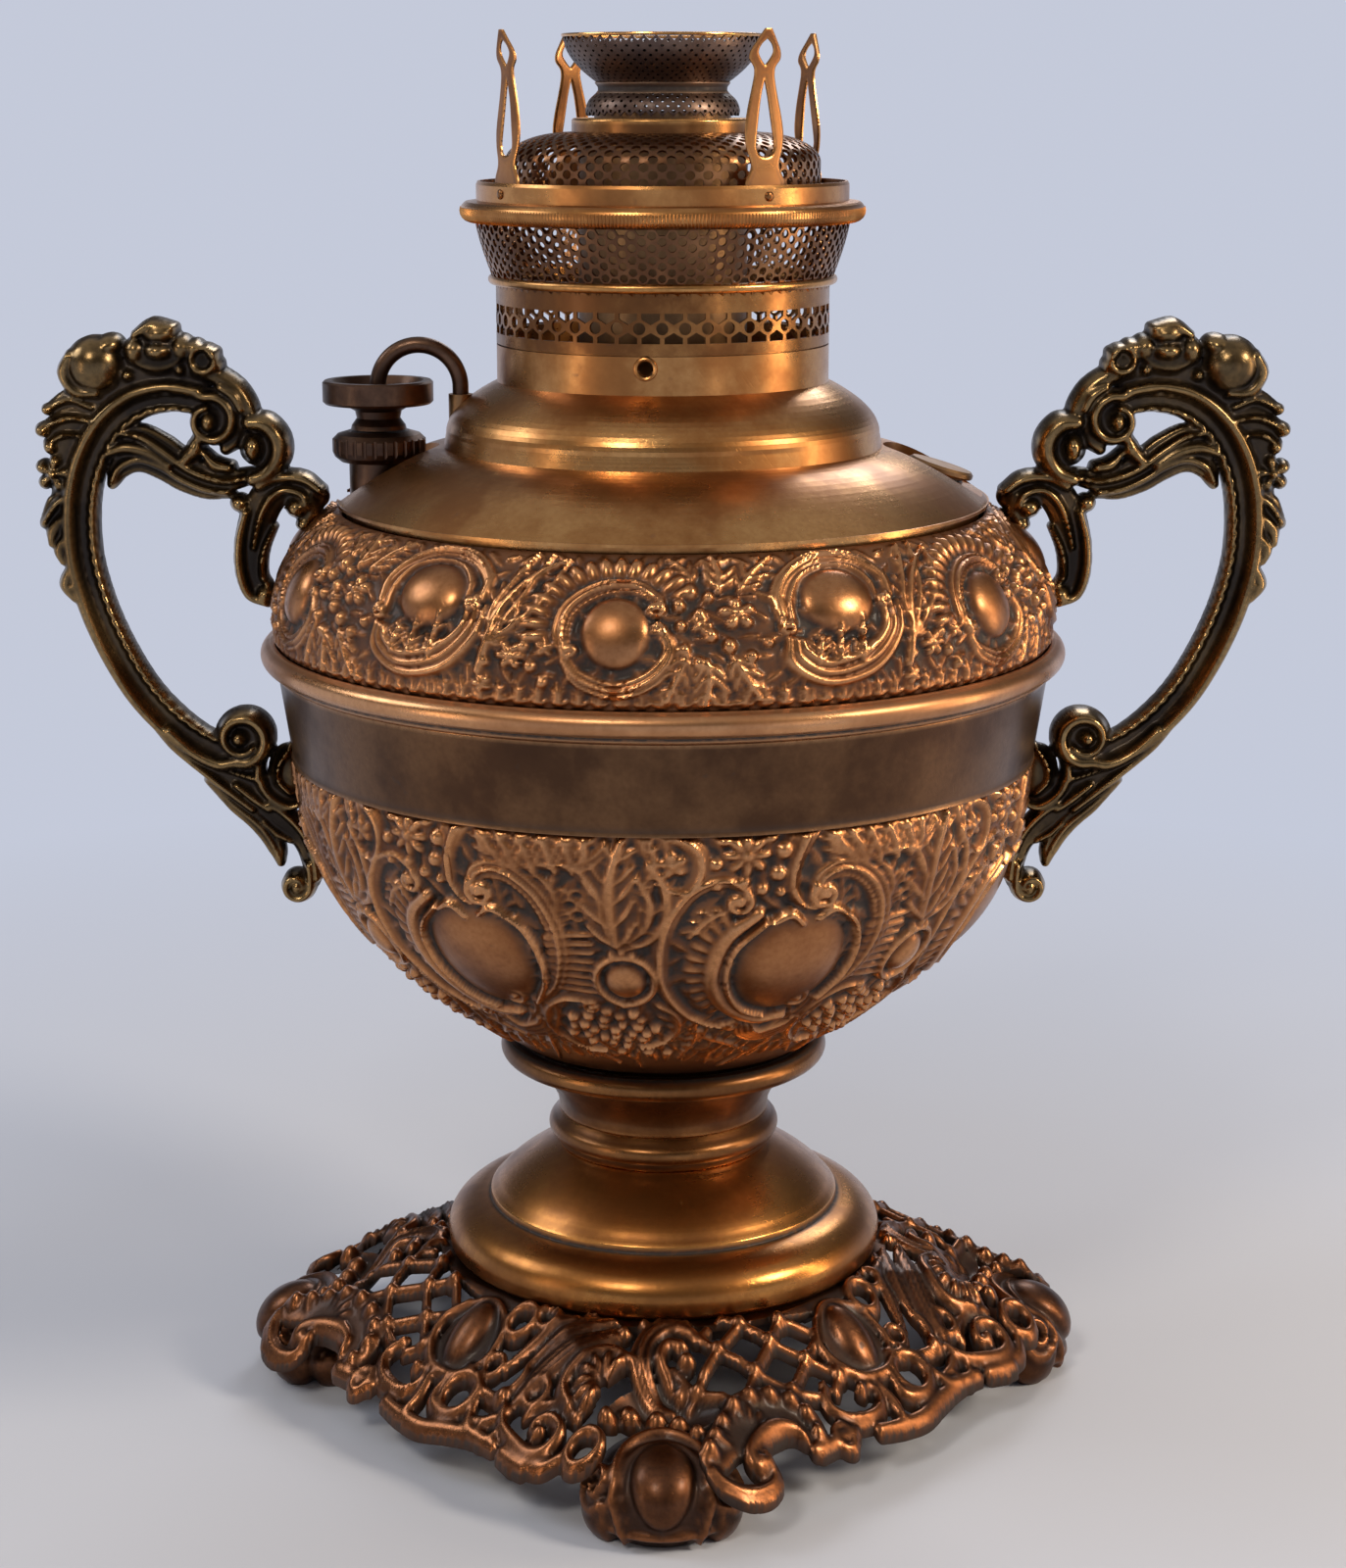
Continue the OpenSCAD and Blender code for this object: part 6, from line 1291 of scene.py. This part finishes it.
def cornerFoot(turn, canvas, wear, grimeAndShade):
    look = footLook["boss"]
    n, m = look["columns"], look["rows"]
    r, z0, crown = look["radius"], look["waist"], footLook["crown"]
    # profile from the crown down the dome to the tucked-in foot line
    line = [(r * math.sin(t), z0 + (crown - z0) * math.cos(t)) for t in np.linspace(0, math.pi / 2, 24)]
    line += [(r - 0.15, 4.6), (r - 0.7, 3.0), (r - 1.7, 1.4), (r - 2.6, 0.35), (r - 3.2, 0.0)]
    line = smoothPath(line, 3)
    s = np.r_[0, np.cumsum(np.hypot(*np.diff(line, axis=0).T))]
    at = np.linspace(0, s[-1], m)
    profile = np.c_[np.interp(at, s, line[:, 0]), np.interp(at, s, line[:, 1])]
    along = tangents(profile)
    out = np.c_[-along[:, 1], along[:, 0]]
    points, marks = [], []
    for k in range(1, m):
        a = np.arange(n) * 2 * math.pi / n
        spots = np.c_[(at[k] * np.sin(a) + 31) / 0.3, (at[k] * np.cos(a) + 31) / 0.3]
        h = sampled(canvas["h"], spots) * (1 if k < m - 1 else 0)
        q = profile[k, 0] + out[k, 0] * h
        points.append(np.c_[q * np.cos(a), q * np.sin(a), np.maximum(profile[k, 1] + out[k, 1] * h, 0)])
        marks.append(np.c_[sampled(wear, spots), sampled(grimeAndShade, spots)])
    points, marks = np.vstack(points), np.vstack(marks)
    middle = int(31 / 0.3)
    points = np.vstack([points, [[0, 0, crown + canvas["h"][middle, middle]]], [[0, 0, 0]]])
    marks = np.vstack([marks, [[0, 0]], [[0, 0]]])
    top, bottom = len(points) - 2, len(points) - 1
    faces = []
    for i in range(n):
        j = (i + 1) % n
        faces.append((top, i, j))
        faces += [(k * n + i, (k + 1) * n + i, (k + 1) * n + j, k * n + j) for k in range(m - 2)]
        faces.append((bottom, (m - 2) * n + j, (m - 2) * n + i))
    points[:, 0] += footLook["cornerAt"]
    c, s = math.cos(turn), math.sin(turn)
    return np.c_[c * points[:, 0] - s * points[:, 1], s * points[:, 0] + c * points[:, 1], points[:, 2]], faces, np.c_[np.minimum(marks[:, 0] * 1.9 + 0.1, 1), marks[:, 1] * 0.6]


def makeFoot():
    points, faces, wear, grimeAndShade = footField()
    makePiece("castFoot", points, faces, "castBronze", "stand", ("foot_casting",), {"wear": wear, "grimeAndShade": grimeAndShade}, 80)
    print("foot is cast", sum(len(f) - 2 for f in faces))
    canvas = cornerCanvas()
    # grime and painted shade in the hollows of the corner feet
    cornerWear, cornerGrimeAndShade = reliefMarks(canvas["h"] + 1.0, 3.0, 7.0, 0.8)
    parts, shapes, marks = [], [], []
    for n in range(4):
        more, shape, mark = cornerFoot(n * math.pi / 2, canvas, cornerWear, cornerGrimeAndShade)
        shapes += [tuple(v + n * len(more) for v in f) for f in shape]
        parts.append(more)
        marks.append(mark)
    wear, grimeAndShade = np.vstack(marks).T
    makePiece("cornerFeet", np.vstack(parts), shapes, "castBronze", "stand", ("foot_casting",), {"wear": wear, "grimeAndShade": grimeAndShade}, 80)
    print("corner feet are cast", sum(len(f) - 2 for f in shapes))


makeFoot()


# burner: pierced sheets and ticks repeat by node trees

def newTree(name, inputs):
    tree = bpy.data.node_groups.new(name, "GeometryNodeTree")
    tree.interface.new_socket("Geometry", in_out="INPUT", socket_type="NodeSocketGeometry")
    for label, kind in inputs:
        tree.interface.new_socket(label, in_out="INPUT", socket_type=kind)
    tree.interface.new_socket("Geometry", in_out="OUTPUT", socket_type="NodeSocketGeometry")
    return tree, addNode(tree, "NodeGroupInput").outputs, addNode(tree, "NodeGroupOutput").inputs["Geometry"]


def endTree(tree, geometry, material, result):
    smooth = addNode(tree, "GeometryNodeSetShadeSmooth")
    wire(tree, geometry, smooth.inputs["Geometry"])
    real = addNode(tree, "GeometryNodeRealizeInstances")
    wire(tree, smooth.outputs[0], real.inputs[0])
    paint = addNode(tree, "GeometryNodeSetMaterial")
    wire(tree, real.outputs[0], paint.inputs["Geometry"])
    wire(tree, material, paint.inputs["Material"])
    wire(tree, paint.outputs[0], result)


def objectShape(tree, given):
    info = addNode(tree, "GeometryNodeObjectInfo")
    wire(tree, given, info.inputs["Object"])
    return info.outputs["Geometry"]


def pointRow(tree, count):
    points = addNode(tree, "GeometryNodePoints")
    wire(tree, count, points.inputs["Count"])
    return points.outputs[0]


def makePiercedTree():
    # tiles in rows and columns, wrapped round the axis along a profile
    tree, given, result = newTree("piercedSheet", [("Tile", "NodeSocketObject"), ("Profile", "NodeSocketObject"), ("Columns", "NodeSocketInt"),
                                                   ("Rows", "NodeSocketInt"), ("Stagger", "NodeSocketFloat"), ("Margin", "NodeSocketFloat"), ("Finish", "NodeSocketMaterial")])
    columns, rows = given["Columns"], given["Rows"]
    index = addNode(tree, "GeometryNodeInputIndex").outputs[0]
    row = mathNode(tree, "FLOOR", mathNode(tree, "DIVIDE", mathNode(tree, "ADD", index, 0.5), columns))
    column = mathNode(tree, "SUBTRACT", index, mathNode(tree, "MULTIPLY", row, columns))
    odd = mathNode(tree, "MODULO", row, 2.0)
    column = mathNode(tree, "ADD", column, mathNode(tree, "MULTIPLY", odd, given["Stagger"]))
    spot = addNode(tree, "ShaderNodeCombineXYZ")
    wire(tree, column, spot.inputs["X"])
    wire(tree, row, spot.inputs["Y"])
    place = addNode(tree, "GeometryNodeSetPosition")
    wire(tree, pointRow(tree, mathNode(tree, "MULTIPLY", columns, rows)), place.inputs["Geometry"])
    wire(tree, spot.outputs[0], place.inputs["Position"])
    tiles = addNode(tree, "GeometryNodeInstanceOnPoints")
    wire(tree, place.outputs[0], tiles.inputs["Points"])
    wire(tree, objectShape(tree, given["Tile"]), tiles.inputs["Instance"])
    real = addNode(tree, "GeometryNodeRealizeInstances")
    wire(tree, tiles.outputs[0], real.inputs[0])
    joined = addNode(tree, "GeometryNodeMergeByDistance")
    joined.inputs["Distance"].default_value = 0.002
    wire(tree, real.outputs[0], joined.inputs["Geometry"])
    split = addNode(tree, "ShaderNodeSeparateXYZ")
    wire(tree, addNode(tree, "GeometryNodeInputPosition").outputs[0], split.inputs[0])
    angle = mathNode(tree, "MULTIPLY", mathNode(tree, "DIVIDE", split.outputs["X"], columns), 2 * math.pi)
    above = mathNode(tree, "ADD", split.outputs["Y"], given["Margin"])
    whole = mathNode(tree, "ADD", mathNode(tree, "SUBTRACT", rows, 1.0), mathNode(tree, "MULTIPLY", given["Margin"], 2.0))
    share = mathNode(tree, "DIVIDE", above, whole, clamp=True)
    sample = addNode(tree, "GeometryNodeSampleCurve", mode="FACTOR")
    wire(tree, objectShape(tree, given["Profile"]), sample.inputs["Curves"])
    wire(tree, share, sample.inputs["Factor"])
    at = addNode(tree, "ShaderNodeSeparateXYZ")
    wire(tree, sample.outputs["Position"], at.inputs[0])
    bent = addNode(tree, "ShaderNodeCombineXYZ")
    wire(tree, mathNode(tree, "MULTIPLY", at.outputs["X"], mathNode(tree, "SINE", angle)), bent.inputs["X"])
    wire(tree, mathNode(tree, "MULTIPLY", at.outputs["X"], mathNode(tree, "MULTIPLY", mathNode(tree, "COSINE", angle), -1.0)), bent.inputs["Y"])
    wire(tree, at.outputs["Z"], bent.inputs["Z"])
    wrap = addNode(tree, "GeometryNodeSetPosition")
    wire(tree, joined.outputs[0], wrap.inputs["Geometry"])
    wire(tree, bent.outputs[0], wrap.inputs["Position"])
    seam = addNode(tree, "GeometryNodeMergeByDistance")
    seam.inputs["Distance"].default_value = 0.00002
    wire(tree, wrap.outputs[0], seam.inputs["Geometry"])
    endTree(tree, seam.outputs[0], given["Finish"], result)
    return tree


def makeRingTree():
    # one shape repeated round an upright axis
    tree, given, result = newTree("ringOfParts", [("Part", "NodeSocketObject"), ("Count", "NodeSocketInt"), ("First", "NodeSocketFloat"), ("Finish", "NodeSocketMaterial")])
    index = addNode(tree, "GeometryNodeInputIndex").outputs[0]
    angle = mathNode(tree, "ADD", mathNode(tree, "MULTIPLY", mathNode(tree, "DIVIDE", index, given["Count"]), 2 * math.pi), given["First"])
    turn = addNode(tree, "ShaderNodeCombineXYZ")
    wire(tree, angle, turn.inputs["Z"])
    parts = addNode(tree, "GeometryNodeInstanceOnPoints")
    wire(tree, pointRow(tree, given["Count"]), parts.inputs["Points"])
    wire(tree, objectShape(tree, given["Part"]), parts.inputs["Instance"])
    wire(tree, turn.outputs[0], parts.inputs["Rotation"])
    endTree(tree, parts.outputs[0], given["Finish"], result)
    return tree


piercedTree, ringTree = makePiercedTree(), makeRingTree()


def toolMesh(name, points, faces):
    mesh = bpy.data.meshes.new(name)
    mesh.from_pydata(points, [], faces)
    tool = bpy.data.objects.new(name, mesh)
    bpy.context.scene.collection.objects.link(tool)
    hiddenTools.append(tool)
    return tool


def toolProfile(name, path):
    curve = bpy.data.curves.new(name, "CURVE")
    curve.dimensions = "3D"
    line = curve.splines.new("POLY")
    line.points.add(len(path) - 1)
    for point, (r, z) in zip(line.points, path):
        point.co = (r * mm, 0, z * mm, 1)
    tool = bpy.data.objects.new(name, curve)
    bpy.context.scene.collection.objects.link(tool)
    hiddenTools.append(tool)
    return tool


def grownPiece(name, tree, settings, finish, body, stands=(), wall=0.0, crease=50):
    piece = bpy.data.objects.new(name, bpy.data.meshes.new(name))
    bpy.context.scene.collection.objects.link(piece)
    grow = piece.modifiers.new("grow", "NODES")
    grow.node_group = tree
    settings = dict(settings, Finish=finishes[finish])
    for item in tree.interface.items_tree:
        if item.item_type == "SOCKET" and item.in_out == "INPUT" and item.name in settings:
            grow[item.identifier] = settings[item.name]
    if wall:
        sheet = piece.modifiers.new("sheet", "SOLIDIFY")
        sheet.thickness = wall * mm
        sheet.offset = -1
    bpy.context.view_layer.update()
    shape = bpy.data.meshes.new_from_object(piece.evaluated_get(bpy.context.evaluated_depsgraph_get()))
    piece.modifiers.clear()
    piece.data = shape
    shape.shade_smooth()
    shape.set_sharp_from_angle(angle=math.radians(crease))
    return settle(piece, body, stands)


def hexTile(name, wide, high, holeRadius):
    # one cell of a staggered row of holes; x in columns, y in rows
    b = max(0.02, 0.25 - (high / wide) ** 2)
    a = 0.5 - b
    corners = [(a, 0), (b, 1), (-b, 1), (-a, 0), (-b, -1), (b, -1)]
    border = []
    for p, q in zip(corners, corners[1:] + corners[:1]):
        border += [p, ((p[0] + q[0]) / 2, (p[1] + q[1]) / 2)]
    hole = []
    for x, y in border:
        angle = math.atan2(y * high, x * wide)
        hole.append((holeRadius * math.cos(angle) / wide, holeRadius * math.sin(angle) / high))
    n = len(border)
    faces = [(k, (k + 1) % n, n + (k + 1) % n, n + k) for k in range(n)]
    return toolMesh(name, [(x, y, 0) for x, y in border + hole], faces)


def piercedPiece(name, path, columns, rows, holeRadius, finish, node, body, wall=0.5):
    path = np.array(path)
    length = np.hypot(*np.diff(path, axis=0).T).sum()
    wide, high = 2 * math.pi * path[:, 0].mean() / columns, length / (rows + 1)
    settings = {"Tile": hexTile(name + "Tile", wide, high, holeRadius), "Profile": toolProfile(name + "Profile", path),
                "Columns": columns, "Rows": rows, "Stagger": 0.5, "Margin": 1.0}
    return grownPiece(name, piercedTree, settings, finish, body, (node,), wall)


burnerLook = {"basketColumns": 60, "basketRows": 8, "basketHole": 0.82, "domeColumns": 56, "domeRows": 15, "domeHole": 0.86,
              "bellColumns": 44, "bellRows": 5, "bellHole": 0.33, "bowlColumns": 52, "bowlRows": 12, "bowlHole": 0.29,
              "skirtColumns": 48, "ticks": 360}

piercedPiece("flaredBasket", earlyCurve(33.4, 229.2, 36.4, 239.4, 1.3, 16), burnerLook["basketColumns"], burnerLook["basketRows"],
             burnerLook["basketHole"], "piercedBrass", "flared_basket", "gallery")
domePath = [(30.6, 243.2), (30.6, 247)] + [(lerp(17.6, 30.6, q[0]), 250.7 + 5.6 * q[1]) for q in arcPoints(0, 0, 1, 0, 90, 20)]
piercedPiece("diffuserDome", domePath, burnerLook["domeColumns"], burnerLook["domeRows"], burnerLook["domeHole"],
             "piercedBrass", "diffuser_dome", "gallery")
piercedPiece("spreaderBell", smoothPath([(14.75, 259.3), (14.9, 260.6), (14.2, 262.3), (12.7, 263.7), (12.15, 264.1)], 5), burnerLook["bellColumns"], burnerLook["bellRows"],
             burnerLook["bellHole"], "sootedBrass", "spreader_bell", "spreader", 0.4)
bowlPath = [(12, 264.1), (12.6, 265.5)] + [(lerp(12.6, 19.1, 1 - (1 - u) ** 1.9), lerp(265.5, 274.1, u)) for u in np.linspace(0.06, 1, 16)]
piercedPiece("spreaderBowl", bowlPath, burnerLook["bowlColumns"], burnerLook["bowlRows"], burnerLook["bowlHole"],
             "sootedBrass", "spreader_bowl", "spreader", 0.4)


def skirtTile():
    # a ring between struts: the openings above and below it lie between two tiles
    wide, low, high = 4.27, 216.2, 227.5
    centre, top, bottom = 221.1, 223.9, 218.3
    hole, ringR, strut = 1.15, 1.75, 0.42
    outer = {0: (wide / 2, 0), 1: (wide / 2, 0.72), 2: (1.26, 1.22), 3: (strut, 1.70), 4: (0, ringR)}
    border = []
    for k in range(16):
        q, part = divmod(k, 4)
        x, y = outer[part] if q % 2 == 0 else outer[4 - part]
        sx, sy = ((1, 1), (-1, 1), (-1, -1), (1, -1))[q]
        border.append((sx * x, sy * y))
    inner = [(hole * math.cos(math.radians(22.5 * k)), hole * math.sin(math.radians(22.5 * k))) for k in range(16)]
    points = border + inner
    faces = [(k, (k + 1) % 16, 16 + (k + 1) % 16, 16 + k) for k in range(16)]
    for sign, reach, limit in ((1, top - centre, high - centre), (-1, centre - bottom, centre - low)):
        start = len(points)
        xs = (-wide / 2, -strut, 0, strut, wide / 2)
        points += [(x, sign * reach) for x in xs] + [(x, sign * limit) for x in xs]
        ring = (5, 4, 3) if sign > 0 else (11, 12, 13)
        rows = [(ring[0], ring[1], start + 2, start + 1), (ring[1], ring[2], start + 3, start + 2)]
        rows += [(start + k, start + k + 1, start + 6 + k, start + 5 + k) for k in range(4)]
        faces += rows if sign > 0 else [f[::-1] for f in rows]
    total = high - low
    return toolMesh("skirtTile", [(x / wide, (y + centre - low) / total, 0) for x, y in points], faces)


grownPiece("gallerySkirt", piercedTree, {"Tile": skirtTile(), "Profile": toolProfile("skirtProfile", [(32.6, 216.2), (32.6, 227.5)]),
                                         "Columns": burnerLook["skirtColumns"], "Rows": 2, "Stagger": 0.0, "Margin": 0.0},
           "burnerBrass", "gallery", ("gallery_skirt",), 0.6)


def tickPart():
    # a fine ridge over the bead of the gallery ring
    arc = arcPoints(37.3, 241.5, 2.0, -78, 20, 5)
    points = []
    for r, z in arc:
        out = np.array([r - 37.3, z - 241.5]) / 2.0
        points += [(r * mm, -0.00017, z * mm), ((r + 0.16 * out[0]) * mm, 0, (z + 0.16 * out[1]) * mm), (r * mm, 0.00017, z * mm)]
    faces = []
    for k in range(len(arc) - 1):
        a, b = 3 * k, 3 * k + 3
        faces += [(a, a + 1, b + 1, b), (a + 1, a + 2, b + 2, b + 1)]
    return toolMesh("tickPart", points, faces)


grownPiece("galleryTicks", ringTree, {"Part": tickPart(), "Count": burnerLook["ticks"], "First": 0.0}, "galleryBrass", "gallery")
turnedPiece("skirtBead", [(31.8, 227.5), (32.9, 227.5)] + arcPoints(33.2, 228.4, 0.9, -80, 80, 10) + [(32.9, 229.3), (31.8, 229.3)],
            "burnerBrass", ("skirt_bead",), "gallery", 160, 0.1)
turnedPiece("diffuserCollar", [(16.85, 255.6), (17.6, 255.6), (17.6, 258.5), (17.3, 258.9), (16.85, 258.9)],
            "burnerBrass", ("diffuser_collar",), "gallery", 128, 0.12)
turnedPiece("spreaderWaist", [(11.7, 263.5), (12.9, 263.55), (12.45, 264.1), (12.5, 264.7), (13.1, 265.5), (12.9, 265.7), (11.7, 265.0)],
            "sootedBrass", (), "spreader", 96, 0.08)
turnedPiece("spreaderRim", [(18.3, 274.1), (19.3, 274.05), (19.5, 274.35), (19.4, 274.65), (18.9, 274.7), (18.3, 274.6)],
            "burnerBrass", ("spreader_rim",), "spreader", 128, 0.08)
prongLook = {"angles": (33, 123, 213, 303), "width": 8.8, "height": 28.0, "ledge": 247.1, "step": 0.2, "sheet": 0.62,
             "side": [(1, -0.128), (0.98, 0.02), (0.74, 0.1), (0.72, 0.15), (0.9, 0.23), (0.98, 0.32), (0.92, 0.41), (0.8, 0.5),
                      (0.61, 0.62), (0.5, 0.71), (0.56, 0.76), (0.78, 0.805), (0.74, 0.86), (0.46, 0.93), (0.16, 1)],
             "slot": [(0, 0.178), (0.28, 0.19), (0.43, 0.225), (0.46, 0.27), (0.37, 0.37), (0.18, 0.56), (0, 0.676)],
             "eye": [(0, 0.765), (0.2, 0.8), (0.38, 0.85), (0.26, 0.9), (0, 0.935)],
             "bend": [(-4, 35.2), (1, 35.25), (8.7, 34.9), (16, 34.6), (22.1, 34.85), (28, 35.9)]}


def depthInside(X, Y, loop):
    # distance to a closed outline, positive inside it
    near, odd = np.full(X.shape, 99.0), np.zeros(X.shape, bool)
    for (ax, ay), (bx, by) in zip(loop, np.roll(loop, -1, 0)):
        dx, dy = bx - ax, by - ay
        t = np.clip(((X - ax) * dx + (Y - ay) * dy) / (dx * dx + dy * dy + 1e-9), 0, 1)
        near = np.minimum(near, np.hypot(X - ax - t * dx, Y - ay - t * dy))
        if ay != by:
            odd ^= ((ay > Y) != (by > Y)) & (X < ax + (Y - ay) * dx / dy)
    return np.where(odd, near, -near)


def makeProngs():
    look = prongLook
    half, high = look["width"] / 2, look["height"]
    canvas = newCanvas(-5.4, 5.4, -4.4, 28.8, look["step"])
    X, Y = np.meshgrid(canvas["x"], canvas["y"])

    def mirrored(part):
        line = smoothPath([(x * half, y * high) for x, y in look[part]], 3)
        return np.vstack([line, (line * (-1, 1))[::-1]])

    inside = depthInside(X, Y, mirrored("side"))
    for part in ("slot", "eye"):
        inside = np.minimum(inside, -depthInside(X, Y, mirrored(part)))
    canvas["inside"] = inside
    flat, spots, faces, edges = clippedField(canvas)
    depth = sampled(inside, spots)
    bend = smoothPath(look["bend"], 8)
    r = np.interp(flat[:, 1], bend[:, 0], bend[:, 1])
    rolled = 0.16 * np.clip(1 - depth / 0.5, 0, 1) ** 2
    wear = np.clip(0.9 - depth / 0.45, 0, 1) * 0.7
    # darker towards the foot of each prong and along a band just inside its edge
    grimeAndShade = np.clip(0.35 - flat[:, 1] / 12, 0, 0.6) + 0.3 * np.clip(1 - np.abs(depth - 0.8) / 0.5, 0, 1)
    for name, degrees in zip(("backRightProng", "backLeftProng", "frontLeftProng", "frontRightProng"), look["angles"]):
        node = {"b": "back_", "f": "front_"}[name[0]] + ("right_prong" if "Right" in name else "left_prong")
        turn = math.radians(degrees) + flat[:, 0] / r
        layers = [np.c_[q * np.cos(turn), q * np.sin(turn), look["ledge"] + flat[:, 1]] for q in (r - rolled, r - look["sheet"] + rolled)]
        points, shape = doubled(flat, *layers, faces, edges)
        makePiece(name, points, shape, "prongCopper", "gallery", (node,),
                  {"wear": np.tile(wear, 2), "grimeAndShade": np.tile(grimeAndShade, 2)}, 50)


makeProngs()


def roundHead(outline, degrees, r, z, count=28):
    # a small turned form whose axis points straight out from the lamp's axis
    c, s = math.cos(math.radians(degrees)), math.sin(math.radians(degrees))
    rows = []
    for q, out in outline:
        a = np.arange(count) * 2 * math.pi / count
        side, up, far = q * np.cos(a), q * np.sin(a), np.full(count, r + out)
        rows.append(np.c_[c * far - s * side, s * far + c * side, z + up])
    faces = [(k * count + i, k * count + (i + 1) % count, (k + 1) * count + (i + 1) % count, (k + 1) * count + i)
             for k in range(len(outline) - 1) for i in range(count)]
    if outline[0] == outline[-1]:
        rows.pop()
        faces = [tuple(v % (count * len(rows)) for v in f) for f in faces]
    else:
        faces += [tuple(range(count))[::-1], tuple((len(outline) - 1) * count + i for i in range(count))]
    return rows, faces


def makeHeads():
    ring = [(1.25, -0.8), (1.35, -0.1), (1.55, 0.35), (1.85, 0.5), (2.15, 0.38), (2.3, 0.05), (2.3, -0.3), (1.9, -0.8), (1.25, -0.8)]
    rows, faces = roundHead(ring, -95.5, 32.6, 213.7)
    makePiece("neckEyelet", np.vstack(rows), faces, "fountBrass", "fount", ("neck_eyelet",))
    points, everything = [], []
    head = [(0.95, -1.2), (0.95, 0.1), (0.85, 0.28), (0.6, 0.42), (0.25, 0.48)]
    for degrees in prongLook["angles"]:
        rows, faces = roundHead(head, degrees, 36.2, 245.1, 20)
        start = sum(len(r) for r in points)
        points.append(np.vstack(rows))
        everything += [tuple(v + start for v in f) for f in faces]
    makePiece("prongRivets", np.vstack(points), everything, "collarBrass", "gallery", ("prong_rivets",))


makeHeads()
for tool in hiddenTools:
    bpy.data.objects.remove(tool)
print("burner is made")


plainNodes = {
    "fount_top": "fountBrass", "neck_eyelet": "fountBrass", "raiser_post": "raiserBronze", "packing_nut": "raiserBronze",
    "raiser_wheel": "raiserBronze", "lift_rod": "raiserBronze", "gallery_ring": "galleryBrass",
}
for nodeName, node in frame["nodes"].items():
    label = plainNodes.get(nodeName, "innerBrass")
    if nodeName in ("wick",):
        label = "wovenWick"
    if nodeName in ("filler_washer",):
        label = "leather"
    for socket in node.material_slots:
        socket.material = finishes[label]
    if not node.material_slots:
        node.data.materials.append(finishes[label])
